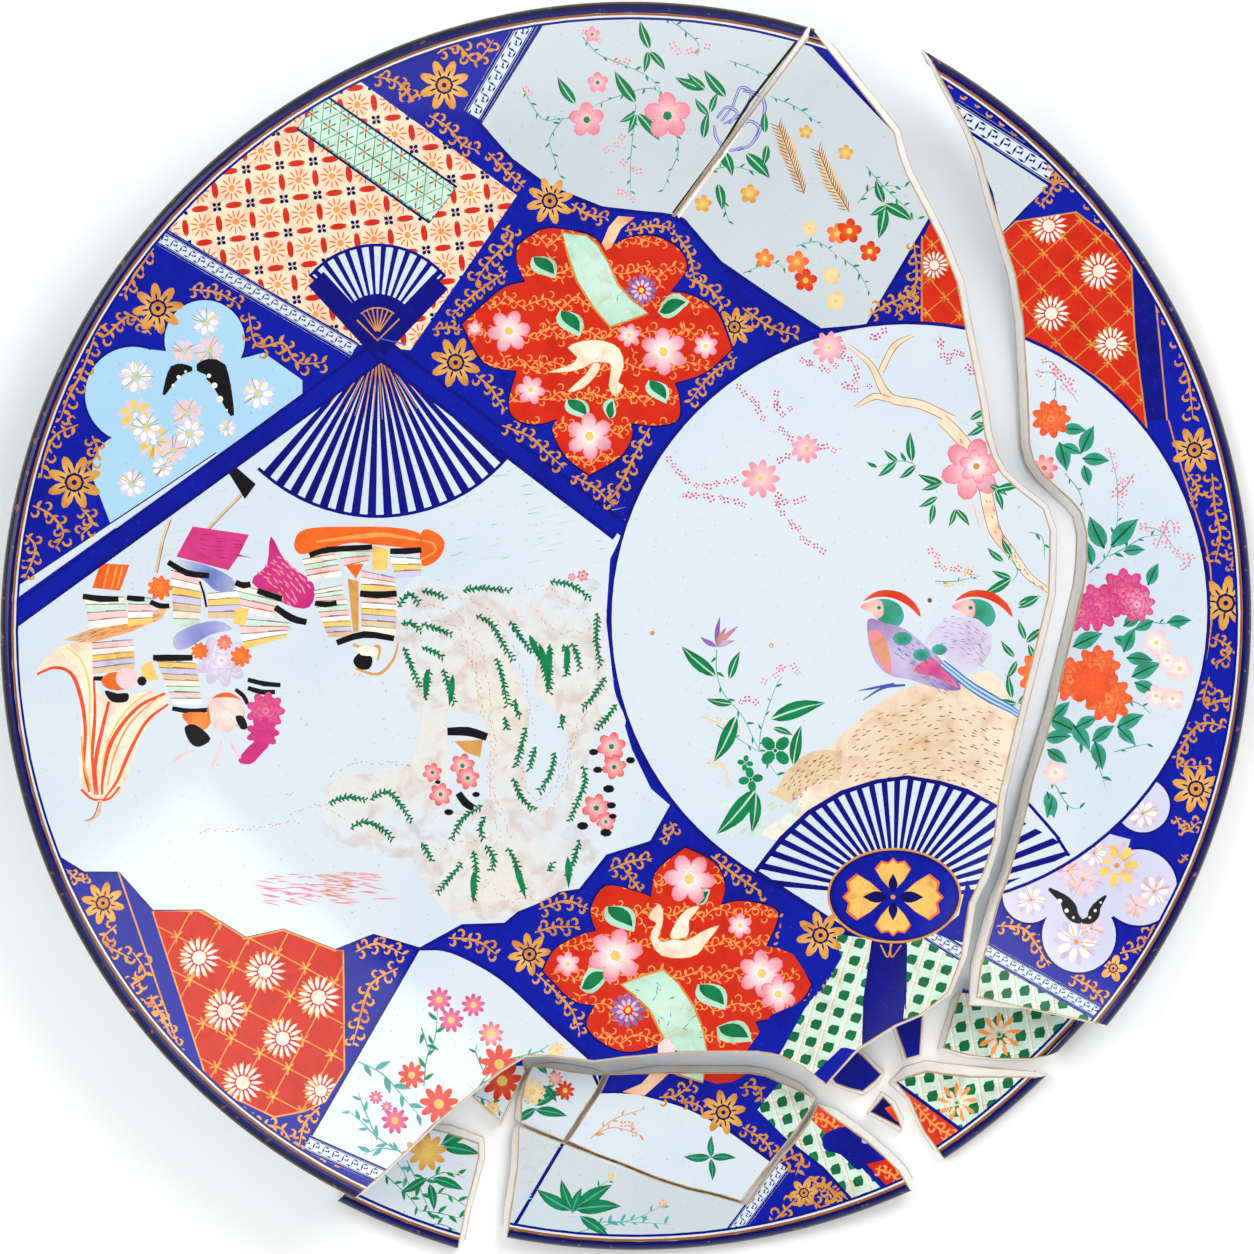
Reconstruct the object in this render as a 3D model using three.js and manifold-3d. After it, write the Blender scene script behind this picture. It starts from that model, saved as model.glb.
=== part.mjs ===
// A broken porcelain charger: one round footed dish in twelve shards, lying on a table where they fell.
// Millimetres, +Z up. The largest shard stands on its whole foot ring, and the others lie on their backs.
import * as THREE from 'three';
import { mergeVertices } from 'three/addons/utils/BufferGeometryUtils.js';
import Module from 'manifold-3d';

const wasm = await Module();
wasm.setup();

// Driving dimensions of the whole dish.
const plateRadius = 230;
const rimHeight = 50;
const wellRadius = 112;
const wellHeight = 17;
const wallCurve = 1.35; // 1 would be a straight wall
const wellThickness = 8.3;
const rimThickness = 6.5;
const lipRadius = 3;
const footOuterRadius = 128;
const footInnerRadius = 119;
const footEdge = 1.5;
const baseHeight = 9.2;

// How finely the round shapes are divided.
const turnSegments = 96;
const wallSteps = 9;
const lipSteps = 6;
const rimArcStep = THREE.MathUtils.degToRad(12);

// The cutting solid of a shard reaches past the dish on every side.
const cutMargin = 15;
const cutFloor = -40;
const cutCeiling = 110;

const porcelain = { roughness: 0.12, metalness: 0 };

// A break is a list of [x, y, spread]: a point on the glazed edge, and how far the broken face
// spreads outwards beneath it. A shard's breaks run counterclockwise, and where there is rim,
// it joins the end of one break to the start of the next.
// azimuth is the side of the dish that the shard comes from, in degrees, seat is the radius on
// its underside where it touches the table, and centre is where the dish's axis would stand.
const shards = [
  {
    name: 'main_shard',
    colour: 0xdfe6ee,
    centre: [0, 0],
    breaks: [
      [
        [-103, -209, 0.7], [-90, -197.5, 0.7], [-79.5, -187.5, 0.7], [-71, -179.5, 0.7], [-59, -169.5, 0.7],
        [-47.5, -160.5, 0.7], [-38.5, -155, 0.7], [-29.5, -155, 0.4], [-13.5, -157, 0.4], [-1.5, -155.5, 0.4],
        [20.5, -153.5, 0.4], [46.5, -153.5, 0.4], [55, -155, 0.4], [63, -159, 0.4], [71.5, -165.5, 0.4],
        [83, -152.5, 0.7], [96.5, -144, 0.7], [106, -140, 0.7], [116, -132, 1.5], [121, -118.5, 2.2],
        [124, -99, 2.6], [129, -88.5, 2.6], [133, -76, 2.6], [135, -59.5, 2.6], [142, -30.5, 2.6],
        [150, 1, 2.6], [153, 14, 2.6], [153.5, 37, 2.6], [151, 45, 2.2], [141.5, 52.5, 2.2],
        [136, 57.5, 2.2], [132.5, 64, 2.2], [130, 71, 2.6], [128, 84.5, 2.6], [123, 109, 2.6],
        [119.5, 127.5, 2.6], [113, 144, 2.6], [101, 167, 2.6], [98, 175, 2.6], [96.5, 182, 2.6],
        [69.5, 216, 2.6],
      ],
      [[65, 217, 0.4], [16, 152, 0], [15.5, 152, 0], [63, 217.5, 0]],
    ],
  },
  {
    name: 'right_shard',
    colour: 0xe3e6ea,
    centre: [-5.6, 6.5],
    azimuth: 5,
    seat: 178,
    breaks: [
      [
        [106.5, 214.5, 0.7], [114.5, 199.5, 1.5], [123, 184.5, 1.8], [127.5, 174.5, 2.2], [131, 161, 2.2],
        [140.5, 131, 2.6], [143.5, 114, 2.9], [145.5, 84.5, 3.3], [146, 68.5, 3.3], [147.5, 62.5, 3.3],
        [151, 57.5, 3.3], [161.5, 48, 3.3], [165, 43.5, 3.3], [167, 36, 3.7], [167, 26.5, 4], [166, 17, 4],
        [158, -15.5, 3.3], [154.5, -30.5, 3.3], [147, -55, 3.3], [144.5, -66.5, 3.3], [138.5, -88.5, 3.3],
        [134.5, -99, 3.7], [128, -122.5, 4], [126.5, -133.5, 4.4], [144.5, -137.5, 0.4], [174.5, -144, 0.4],
      ],
    ],
  },
  {
    name: 'lattice_rim_shard',
    colour: 0xb9cfc4,
    centre: [-8.8, 9.1],
    azimuth: -46,
    seat: 201,
    breaks: [
      [
        [171, -139.5, 0], [150, -135, 0], [121.5, -130.5, 0], [119.5, -135.5, 2.2], [114.5, -152.5, 2.2],
        [123.5, -155, 1.1], [134, -156.5, 0.7], [147, -156.5, 0.7], [155.5, -155, 0.4],
      ],
    ],
  },
  {
    name: 'corner_rim_shard',
    colour: 0xbccac0,
    centre: [-13.3, -0.2],
    azimuth: -55,
    seat: 212,
    breaks: [
      [
        [154, -161, 0.7], [149.5, -163, 1.8], [137.5, -163, 2.9], [124.5, -163, 4], [115.5, -162, 4],
        [108.5, -161, 4], [101.5, -163, 4], [97, -165, 2.6], [102, -171, 1.1], [107.5, -183, 1.1],
        [115, -193.5, 1.1],
      ],
    ],
  },
  {
    name: 'blue_chip',
    colour: 0x12187c,
    centre: [0, 0],
    azimuth: -55,
    seat: 178,
    breaks: [[[95, -139.5, 1.1], [101, -156.5, 1.5], [106, -155, 0.7], [107.5, -135.5, 0]]],
  },
  {
    name: 'red_blue_chip',
    colour: 0x2a1c6c,
    centre: [-2, 4],
    azimuth: -62,
    seat: 199,
    breaks: [
      [[92.5, -170, 1.8], [87.5, -176, 1.1], [99.5, -182, 1.5], [98.5, -179, 1.8], [95.5, -173, 1.8]],
    ],
  },
  {
    name: 'handle_chip',
    colour: 0x10146e,
    centre: [0, 2],
    azimuth: -63,
    seat: 180,
    breaks: [
      [
        [79, -151, 0], [70.5, -159, 0], [75, -165.5, 1.1], [80.5, -167.5, 1.1], [85, -168.5, 1.5],
        [90, -164.5, 1.5], [92, -162, 1.5], [85, -155, 1.1],
      ],
    ],
  },
  {
    name: 'left_panel_shard',
    colour: 0xd9e2e4,
    centre: [3.4, 5.4],
    azimuth: -99,
    seat: 173,
    breaks: [
      [
        [-36, -159, 0.4], [-38.5, -164.5, 1], [-40, -171.5, 2], [-40.2, -178.5, 2.4], [-40.5, -180, 0.3],
        [-24.5, -186.5, 0], [-12.5, -168, 0.2], [-9.5, -162, 0.3], [-14, -162, 2.2], [-22, -161, 2.6],
        [-29.5, -159.5, 2],
      ],
    ],
  },
  {
    name: 'fan_panel_shard',
    colour: 0xd5dfe8,
    centre: [5.4, 6.4],
    azimuth: -83,
    seat: 183,
    breaks: [
      [
        [-8, -162, 0.3], [-11, -168.5, 0.2], [-23, -186.5, 0], [-13, -191, 0], [-3.5, -194.5, 0],
        [10, -200, 0], [21, -203.5, 0], [32, -206, 0], [40.5, -208.5, 0.4], [51.5, -194, 0.7],
        [58, -186, 0.7], [63.5, -178.5, 0.7], [68, -171, 0.5], [61, -167.5, 2.6], [55, -165, 2.6],
        [49.5, -162.5, 2.6], [43, -161.5, 2.6], [9.5, -161.5, 2.6],
      ],
    ],
  },
  {
    name: 'bottom_rim_shard',
    colour: 0xd0dae6,
    centre: [3.4, 5.4],
    azimuth: -84,
    seat: 208,
    breaks: [
      [
        [102, -203.5, 2.9], [98.5, -197.5, 2.9], [93.5, -192.5, 2.9], [86, -186, 2.9], [80, -181.5, 2.9],
        [73.5, -177, 2.9], [68.5, -173, 0.5], [65.5, -179.5, 0.7], [60, -187, 0.7], [53.5, -194.5, 0.7],
        [43.5, -209.5, 0.4], [40.5, -209.3, 0], [32, -206.7, 0], [21, -204.2, 0], [10, -200.7, 0],
        [-3.5, -195.2, 0], [-13, -191.7, 0], [-24.5, -187.2, 0], [-40.9, -180.8, 0.3], [-41, -182.5, 2.4],
        [-41.5, -196, 2.6], [-44, -212.5, 2.6], [-45.5, -222.5, 1.8],
      ],
    ],
  },
  {
    name: 'leaf_chip',
    colour: 0xc9a98f,
    centre: [-2, 2],
    azimuth: -106,
    seat: 173,
    breaks: [
      [[-61.5, -167, 0.4], [-47.5, -179.5, 1.1], [-38.5, -161, 0.4], [-40, -154, 0], [-51.5, -157, 0]],
    ],
  },
  {
    name: 'floral_rim_shard',
    colour: 0xc6d3cf,
    centre: [-0.1, -3.2],
    azimuth: -111,
    seat: 217,
    breaks: [
      [
        [-63, -225.5, 1.8], [-60.5, -212.5, 1.8], [-57.5, -201, 1.8], [-55.5, -192.5, 2.2],
        [-55.5, -187.5, 2.9], [-66.5, -183.5, 2.9], [-73.5, -182, 2.2], [-77, -178.5, 0],
        [-85.5, -185.5, 0], [-94.5, -194.5, 0], [-106, -207, 0],
      ],
    ],
  },
];

// 0 at the edge of the flat well, 1 at the rim.
function upTheWall(radius) {
  return Math.max(0, (radius - wellRadius) / (plateRadius - wellRadius));
}

function glazeHeight(radius) {
  return wellHeight + (rimHeight - wellHeight) * Math.pow(upTheWall(radius), wallCurve);
}

function backHeight(radius) {
  return glazeHeight(radius) - THREE.MathUtils.lerp(wellThickness, rimThickness, upTheWall(radius));
}

function backSlope(radius) {
  const wallWidth = plateRadius - wellRadius;
  const rise = (rimHeight - wellHeight) * wallCurve * Math.pow(upTheWall(radius), wallCurve - 1);
  return (rise + wellThickness - rimThickness) / wallWidth;
}

// Radius and height, out along the glazed face, round the lip and back along the underside.
function dishProfile() {
  const points = [new THREE.Vector2(0, wellHeight)];
  const lipStart = plateRadius - lipRadius;
  const wallRadius = (start, step) => THREE.MathUtils.lerp(start, lipStart, step / wallSteps);
  for (let step = 0; step < wallSteps; step += 1) {
    const radius = wallRadius(wellRadius, step);
    points.push(new THREE.Vector2(radius, glazeHeight(radius)));
  }
  const lipMiddle = (glazeHeight(lipStart) + backHeight(lipStart)) / 2;
  const lipHalf = glazeHeight(lipStart) - lipMiddle;
  for (let step = 0; step <= lipSteps; step += 1) {
    const turn = Math.PI * (0.5 - step / lipSteps);
    const radius = lipStart + lipRadius * Math.cos(turn);
    points.push(new THREE.Vector2(radius, lipMiddle + lipHalf * Math.sin(turn)));
  }
  for (let step = wallSteps - 1; step >= 0; step -= 1) {
    const radius = wallRadius(footOuterRadius, step);
    points.push(new THREE.Vector2(radius, backHeight(radius)));
  }
  points.push(new THREE.Vector2(footOuterRadius - footEdge / 2, footEdge));
  points.push(new THREE.Vector2(footOuterRadius - footEdge, 0));
  points.push(new THREE.Vector2(footInnerRadius + footEdge, 0));
  points.push(new THREE.Vector2(footInnerRadius + footEdge / 2, footEdge));
  points.push(new THREE.Vector2(footInnerRadius, baseHeight));
  points.push(new THREE.Vector2(0, baseHeight));
  return points.reverse();
}

// Where the whole dish would stand, tipped over its rim so that the shard's seat is level on the table.
function placement(shard) {
  const place = new THREE.Matrix4();
  if (shard.seat !== undefined) {
    const azimuth = THREE.MathUtils.degToRad(shard.azimuth);
    const tilt = Math.atan(backSlope(shard.seat));
    const hinge = new THREE.Vector3(-Math.sin(azimuth), Math.cos(azimuth), 0);
    place.makeRotationAxis(hinge, tilt);
    const lift = shard.seat * Math.sin(tilt) - backHeight(shard.seat) * Math.cos(tilt);
    place.setPosition(shard.centre[0], shard.centre[1], lift);
  } else {
    place.setPosition(shard.centre[0], shard.centre[1], 0);
  }
  return place;
}

// The height of the placed dish's glazed face or underside above a point of the table.
function surfaceHeight(inverse, faceHeight, x, y) {
  const settlingRounds = 12;
  let height = 0;
  for (let round = 0; round < settlingRounds; round += 1) {
    const point = new THREE.Vector3(x, y, height).applyMatrix4(inverse);
    const radius = Math.min(Math.hypot(point.x, point.y), plateRadius);
    height += faceHeight(radius) - point.z;
  }
  return height;
}

// One break's points, each with the outer foot of its broken face.
function spreadBreak(breakLine, closed) {
  const count = breakLine.length;
  return breakLine.map(([x, y, spread], index) => {
    const before = closed ? breakLine[(index + count - 1) % count] : breakLine[Math.max(index - 1, 0)];
    const after = closed ? breakLine[(index + 1) % count] : breakLine[Math.min(index + 1, count - 1)];
    const outward = new THREE.Vector2(after[1] - before[1], before[0] - after[0]).normalize();
    return { edge: new THREE.Vector2(x, y), foot: new THREE.Vector2(x, y).addScaledVector(outward, spread) };
  });
}

// Points well clear of the rim, from one azimuth round to the next.
function clearOfRim(centre, from, to) {
  const sweep = THREE.MathUtils.euclideanModulo(to - from, 2 * Math.PI);
  const steps = Math.max(1, Math.ceil(sweep / rimArcStep));
  const points = [];
  for (let step = 0; step <= steps; step += 1) {
    const turn = from + (sweep * step) / steps;
    const point = new THREE.Vector2(Math.cos(turn), Math.sin(turn));
    point.multiplyScalar(plateRadius + cutMargin).add(centre);
    points.push({ edge: point, foot: point });
  }
  return points;
}

function shardOutline(shard) {
  const centre = new THREE.Vector2(...shard.centre);
  const azimuthOf = (point) => Math.atan2(point.y - centre.y, point.x - centre.x);
  const reach = (point) => point.distanceTo(centre);
  const rimReach = plateRadius * 0.93;
  const first = new THREE.Vector2(...shard.breaks[0][0]);
  const closed = shard.breaks.length === 1 && reach(first) < rimReach;
  const outline = [];
  shard.breaks.forEach((breakLine, index) => {
    const points = spreadBreak(breakLine, closed);
    outline.push(...points);
    if (!closed) {
      const next = shard.breaks[(index + 1) % shard.breaks.length][0];
      const from = azimuthOf(points[points.length - 1].edge);
      const to = azimuthOf(new THREE.Vector2(next[0], next[1]));
      outline.push(...clearOfRim(centre, from, to));
    }
  });
  return outline;
}

// A closed solid that is upright inside the shard's glazed edge and leans outwards across its thickness.
function shardCutter(shard, inverse) {
  const outline = shardOutline(shard);
  const rings = [
    outline.map(({ foot }) => [foot.x, foot.y, cutFloor]),
    outline.map(({ foot }) => [foot.x, foot.y, surfaceHeight(inverse, backHeight, foot.x, foot.y)]),
    outline.map(({ edge }) => [edge.x, edge.y, surfaceHeight(inverse, glazeHeight, edge.x, edge.y)]),
    outline.map(({ edge }) => [edge.x, edge.y, cutCeiling]),
  ];
  const count = outline.length;
  const faces = [];
  for (let ring = 0; ring + 1 < rings.length; ring += 1) {
    for (let index = 0; index < count; index += 1) {
      const next = (index + 1) % count;
      const [low, high] = [ring * count, (ring + 1) * count];
      faces.push([low + index, low + next, high + next], [low + index, high + next, high + index]);
    }
  }
  const lastRing = (rings.length - 1) * count;
  for (const [a, b, c] of THREE.ShapeUtils.triangulateShape(outline.map(({ foot }) => foot.clone()), [])) {
    faces.push([a, c, b]);
  }
  for (const [a, b, c] of THREE.ShapeUtils.triangulateShape(outline.map(({ edge }) => edge.clone()), [])) {
    faces.push([lastRing + a, lastRing + b, lastRing + c]);
  }
  const geometry = new THREE.BufferGeometry();
  geometry.setAttribute('position', new THREE.Float32BufferAttribute(rings.flat(2), 3));
  geometry.setIndex(faces.flat());
  return geometry;
}

function solidOf(geometry) {
  const bare = geometry.clone();
  bare.deleteAttribute('normal');
  bare.deleteAttribute('uv');
  const merged = mergeVertices(bare);
  const vertProperties = new Float32Array(merged.attributes.position.array);
  const triVerts = new Uint32Array(merged.index.array);
  return new wasm.Manifold(new wasm.Mesh({ numProp: 3, vertProperties, triVerts }));
}

function geometryOf(solid) {
  const mesh = solid.getMesh();
  const geometry = new THREE.BufferGeometry();
  geometry.setAttribute('position', new THREE.BufferAttribute(mesh.vertProperties, 3));
  geometry.setIndex(new THREE.BufferAttribute(mesh.triVerts, 1));
  geometry.computeVertexNormals();
  return geometry;
}

const dish = new THREE.LatheGeometry(dishProfile(), turnSegments).rotateX(Math.PI / 2);

function buildShard(shard) {
  const place = placement(shard);
  const inverse = place.clone().invert();
  const cutter = solidOf(shardCutter(shard, inverse));
  const solid = solidOf(dish.clone().applyMatrix4(place)).intersect(cutter);
  const material = new THREE.MeshStandardMaterial({ color: shard.colour, ...porcelain });
  const mesh = new THREE.Mesh(geometryOf(solid), material);
  mesh.name = shard.name;
  mesh.geometry.computeBoundingBox();
  mesh.position.z = -mesh.geometry.boundingBox.min.z; // down onto the table, facets and all
  return mesh;
}

const brokenPlate = new THREE.Group();
for (const shard of shards) {
  brokenPlate.add(buildShard(shard));
}

// The origin is on the table, under the middle of the whole spread of shards.
const middle = new THREE.Box3().setFromObject(brokenPlate).getCenter(new THREE.Vector3());
brokenPlate.position.set(-middle.x, -middle.y, 0);

export default brokenPlate;
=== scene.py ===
import math
import random

import bpy
import numpy as np
from bpy.props import FloatProperty, FloatVectorProperty, PointerProperty
from mathutils import Matrix, Vector
from mathutils.geometry import delaunay_2d_cdt
from mathutils.noise import noise


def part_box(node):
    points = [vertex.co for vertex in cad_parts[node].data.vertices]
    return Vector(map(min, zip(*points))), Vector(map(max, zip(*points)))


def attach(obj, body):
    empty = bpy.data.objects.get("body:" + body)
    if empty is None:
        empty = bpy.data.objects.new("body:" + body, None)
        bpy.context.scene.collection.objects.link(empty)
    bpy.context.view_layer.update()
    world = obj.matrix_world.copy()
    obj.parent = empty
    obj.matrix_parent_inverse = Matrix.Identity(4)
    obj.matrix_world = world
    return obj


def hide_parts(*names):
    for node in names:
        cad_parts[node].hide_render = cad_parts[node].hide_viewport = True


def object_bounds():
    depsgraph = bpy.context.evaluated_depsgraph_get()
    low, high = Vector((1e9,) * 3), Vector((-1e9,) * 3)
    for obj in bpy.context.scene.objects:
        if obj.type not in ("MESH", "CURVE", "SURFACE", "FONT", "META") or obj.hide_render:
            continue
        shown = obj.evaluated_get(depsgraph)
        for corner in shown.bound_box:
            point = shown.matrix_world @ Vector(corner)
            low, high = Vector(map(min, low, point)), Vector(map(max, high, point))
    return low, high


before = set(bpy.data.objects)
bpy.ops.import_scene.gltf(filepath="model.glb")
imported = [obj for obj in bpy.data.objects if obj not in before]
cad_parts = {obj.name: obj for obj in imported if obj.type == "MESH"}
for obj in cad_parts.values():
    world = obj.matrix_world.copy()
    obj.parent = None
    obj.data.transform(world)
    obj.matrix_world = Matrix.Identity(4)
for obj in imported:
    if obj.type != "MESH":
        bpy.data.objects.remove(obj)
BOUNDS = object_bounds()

bl_info = {
    "name": "Broken Charger",
    "version": (1, 0, 0),
    "blender": (4, 5, 0),
    "location": "View3D > Sidebar > Charger",
    "description": "Builds a broken painted porcelain charger over its construction model",
    "category": "Object",
}

# ---------------------------------------------------------------------------------------------
# The dish. Lengths are millimetres in the dish's own frame, whose origin is under its centre.
# ---------------------------------------------------------------------------------------------
MM = 0.001
PLATE_RADIUS = 230
RIM_HEIGHT = 50
WELL_RADIUS = 112
WELL_HEIGHT = 17
WALL_CURVE = 1.35
WELL_THICKNESS = 8.3
RIM_THICKNESS = 6.5
LIP_RADIUS = 3
LIP_START = PLATE_RADIUS - LIP_RADIUS
FOOT_OUTER = 128
FOOT_INNER = 119
FOOT_EDGE = 1.5
BASE_HEIGHT = 9.2

# How finely the surfaces are divided.
GRID_STEP = 8.0
SNAP = 0.06  # painted corners closer than this become one
BREAK_STEP = 1.3
RIM_STEP = math.radians(1.2)
MOST_SKEW = 7
SIDE_ROWS = 7
JAG = 0.16  # how far a broken glaze edge wanders from its line
CHIP = 0.55  # how deep the ripples of a broken face are
RIM_LINES = (  # from one radius to the next
    (223.4, 224.3, "line"), (224.3, 225.0, "white"), (225.0, 225.9, "gold_brown"), (225.9, 227.2, "night"))
BACK_RINGS = ((134, 135), (137, 137.5), (196, 197), (199, 199.5))  # blue rings painted on the back

# A break's points are [x, y, spread]: spread is how far the broken face reaches out below the glaze.
# azimuth is the side of the dish that a shard is from, seat the radius that it lies on, and centre
# the place where the dish's axis would stand. A shard with no seat stands on the foot ring.
SHARDS = [
    {
        "name": "main_shard",
        "seed": 17,
        "centre": [0, 0],
        "breaks": [
            [
                [-103, -209, 0.7], [-90, -197.5, 0.7], [-79.5, -187.5, 0.7], [-71, -179.5, 0.7], [-59,
                    -169.5, 0.7],
                [-47.5, -160.5, 0.7], [-38.5, -155, 0.7], [-29.5, -155, 0.4], [-13.5, -157, 0.4], [-1.5,
                    -155.5, 0.4],
                [20.5, -153.5, 0.4], [46.5, -153.5, 0.4], [55, -155, 0.4], [63, -159, 0.4], [71.5, -165.5,
                    0.4],
                [83, -152.5, 0.7], [96.5, -144, 0.7], [106, -140, 0.7], [116, -132, 1.5], [121, -118.5,
                    2.2],
                [124, -99, 2.6], [129, -88.5, 2.6], [133, -76, 2.6], [135, -59.5, 2.6], [142, -30.5, 2.6],
                [150, 1, 2.6], [153, 14, 2.6], [153.5, 37, 2.6], [151, 45, 2.2], [141.5, 52.5, 2.2],
                [136, 57.5, 2.2], [132.5, 64, 2.2], [130, 71, 2.6], [128, 84.5, 2.6], [123, 109, 2.6],
                [119.5, 127.5, 2.6], [113, 144, 2.6], [101, 167, 2.6], [98, 175, 2.6], [96.5, 182, 2.6],
                [69.5, 216, 2.6],
            ],
            [[65, 217, 0.4], [16, 152, 0], [15.5, 152, 0], [63, 217.5, 0]],
        ],
    },
    {
        "name": "right_shard",
        "seed": 34,
        "centre": [-5.6, 6.5],
        "azimuth": 5,
        "seat": 178,
        "breaks": [
            [
                [106.5, 214.5, 0.7], [114.5, 199.5, 1.5], [123, 184.5, 1.8], [127.5, 174.5, 2.2], [131,
                    161, 2.2],
                [140.5, 131, 2.6], [143.5, 114, 2.9], [145.5, 84.5, 3.3], [146, 68.5, 3.3], [147.5, 62.5,
                    3.3],
                [151, 57.5, 3.3], [161.5, 48, 3.3], [165, 43.5, 3.3], [167, 36, 3.7], [167, 26.5, 4],
                    [166, 17, 4],
                [158, -15.5, 3.3], [154.5, -30.5, 3.3], [147, -55, 3.3], [144.5, -66.5, 3.3], [138.5,
                    -88.5, 3.3],
                [134.5, -99, 3.7], [128, -122.5, 4], [126.5, -133.5, 4.4], [144.5, -137.5, 0.4], [174.5,
                    -144, 0.4],
            ],
        ],
    },
    {
        "name": "lattice_rim_shard",
        "seed": 51,
        "centre": [-8.8, 9.1],
        "azimuth": -46,
        "seat": 201,
        "breaks": [
            [
                [171, -139.5, 0], [150, -135, 0], [121.5, -130.5, 0], [119.5, -135.5, 2.2], [114.5,
                    -152.5, 2.2],
                [123.5, -155, 1.1], [134, -156.5, 0.7], [147, -156.5, 0.7], [155.5, -155, 0.4],
            ],
        ],
    },
    {
        "name": "corner_rim_shard",
        "seed": 68,
        "centre": [-13.3, -0.2],
        "azimuth": -55,
        "seat": 212,
        "breaks": [
            [
                [154, -161, 0.7], [149.5, -163, 1.8], [137.5, -163, 2.9], [124.5, -163, 4], [115.5, -162,
                    4],
                [108.5, -161, 4], [101.5, -163, 4], [97, -165, 2.6], [102, -171, 1.1], [107.5, -183, 1.1],
                [115, -193.5, 1.1],
            ],
        ],
    },
    {
        "name": "blue_chip",
        "seed": 85,
        "centre": [0, 0],
        "azimuth": -55,
        "seat": 178,
        "breaks": [[[95, -139.5, 1.1], [101, -156.5, 1.5], [106, -155, 0.7], [107.5, -135.5, 0]]],
    },
    {
        "name": "red_blue_chip",
        "seed": 102,
        "centre": [-2, 4],
        "azimuth": -62,
        "seat": 199,
        "breaks": [
            [[92.5, -170, 1.8], [87.5, -176, 1.1], [99.5, -182, 1.5], [98.5, -179, 1.8], [95.5, -173, 1.8]],
        ],
    },
    {
        "name": "handle_chip",
        "seed": 119,
        "centre": [0, 2],
        "azimuth": -63,
        "seat": 180,
        "breaks": [
            [
                [79, -151, 0], [70.5, -159, 0], [75, -165.5, 1.1], [80.5, -167.5, 1.1], [85, -168.5, 1.5],
                [90, -164.5, 1.5], [92, -162, 1.5], [85, -155, 1.1],
            ],
        ],
    },
    {
        "name": "left_panel_shard",
        "seed": 136,
        "centre": [3.4, 5.4],
        "azimuth": -99,
        "seat": 173,
        "breaks": [
            [
                [-36, -159, 0.4], [-38.5, -164.5, 1], [-40, -171.5, 2], [-40.2, -178.5, 2.4], [-40.5,
                    -180, 0.3],
                [-24.5, -186.5, 0], [-12.5, -168, 0.2], [-9.5, -162, 0.3], [-14, -162, 2.2], [-22, -161,
                    2.6],
                [-29.5, -159.5, 2],
            ],
        ],
    },
    {
        "name": "fan_panel_shard",
        "seed": 153,
        "centre": [5.4, 6.4],
        "azimuth": -83,
        "seat": 183,
        "breaks": [
            [
                [-8, -162, 0.3], [-11, -168.5, 0.2], [-23, -186.5, 0], [-13, -191, 0], [-3.5, -194.5, 0],
                [10, -200, 0], [21, -203.5, 0], [32, -206, 0], [40.5, -208.5, 0.4], [51.5, -194, 0.7],
                [58, -186, 0.7], [63.5, -178.5, 0.7], [68, -171, 0.5], [61, -167.5, 2.6], [55, -165, 2.6],
                [49.5, -162.5, 2.6], [43, -161.5, 2.6], [9.5, -161.5, 2.6],
            ],
        ],
    },
    {
        "name": "bottom_rim_shard",
        "seed": 170,
        "centre": [3.4, 5.4],
        "azimuth": -84,
        "seat": 208,
        "breaks": [
            [
                [102, -203.5, 2.9], [98.5, -197.5, 2.9], [93.5, -192.5, 2.9], [86, -186, 2.9], [80,
                    -181.5, 2.9],
                [73.5, -177, 2.9], [68.5, -173, 0.5], [65.5, -179.5, 0.7], [60, -187, 0.7], [53.5, -194.5,
                    0.7],
                [43.5, -209.5, 0.4], [40.5, -209.3, 0], [32, -206.7, 0], [21, -204.2, 0], [10, -200.7, 0],
                [-3.5, -195.2, 0], [-13, -191.7, 0], [-24.5, -187.2, 0], [-40.9, -180.8, 0.3], [-41,
                    -182.5, 2.4],
                [-41.5, -196, 2.6], [-44, -212.5, 2.6], [-45.5, -222.5, 1.8],
            ],
        ],
    },
    {
        "name": "leaf_chip",
        "seed": 187,
        "centre": [-2, 2],
        "azimuth": -106,
        "seat": 173,
        "breaks": [
            [[-61.5, -167, 0.4], [-47.5, -179.5, 1.1], [-38.5, -161, 0.4], [-40, -154, 0], [-51.5, -157,
                0]],
        ],
    },
    {
        "name": "floral_rim_shard",
        "seed": 204,
        "centre": [-0.1, -3.2],
        "azimuth": -111,
        "seat": 217,
        "breaks": [
            [
                [-63, -225.5, 1.8], [-60.5, -212.5, 1.8], [-57.5, -201, 1.8], [-55.5, -192.5, 2.2],
                [-55.5, -187.5, 2.9], [-66.5, -183.5, 2.9], [-73.5, -182, 2.2], [-77, -178.5, 0],
                [-85.5, -185.5, 0], [-94.5, -194.5, 0], [-106, -207, 0],
            ],
        ],
    },
]


def wall_share(radius):
    """0 at the edge of the flat well and 1 at the rim."""
    return np.maximum(0.0, (radius - WELL_RADIUS) / (PLATE_RADIUS - WELL_RADIUS))


def glaze_height(radius):
    """How high the glazed face stands at a radius."""
    return WELL_HEIGHT + (RIM_HEIGHT - WELL_HEIGHT) * wall_share(radius) ** WALL_CURVE


def wall_back(radius):
    """How high the back of the wall stands at a radius."""
    return glaze_height(radius) - WELL_THICKNESS + (WELL_THICKNESS - RIM_THICKNESS) * wall_share(radius)


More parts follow.
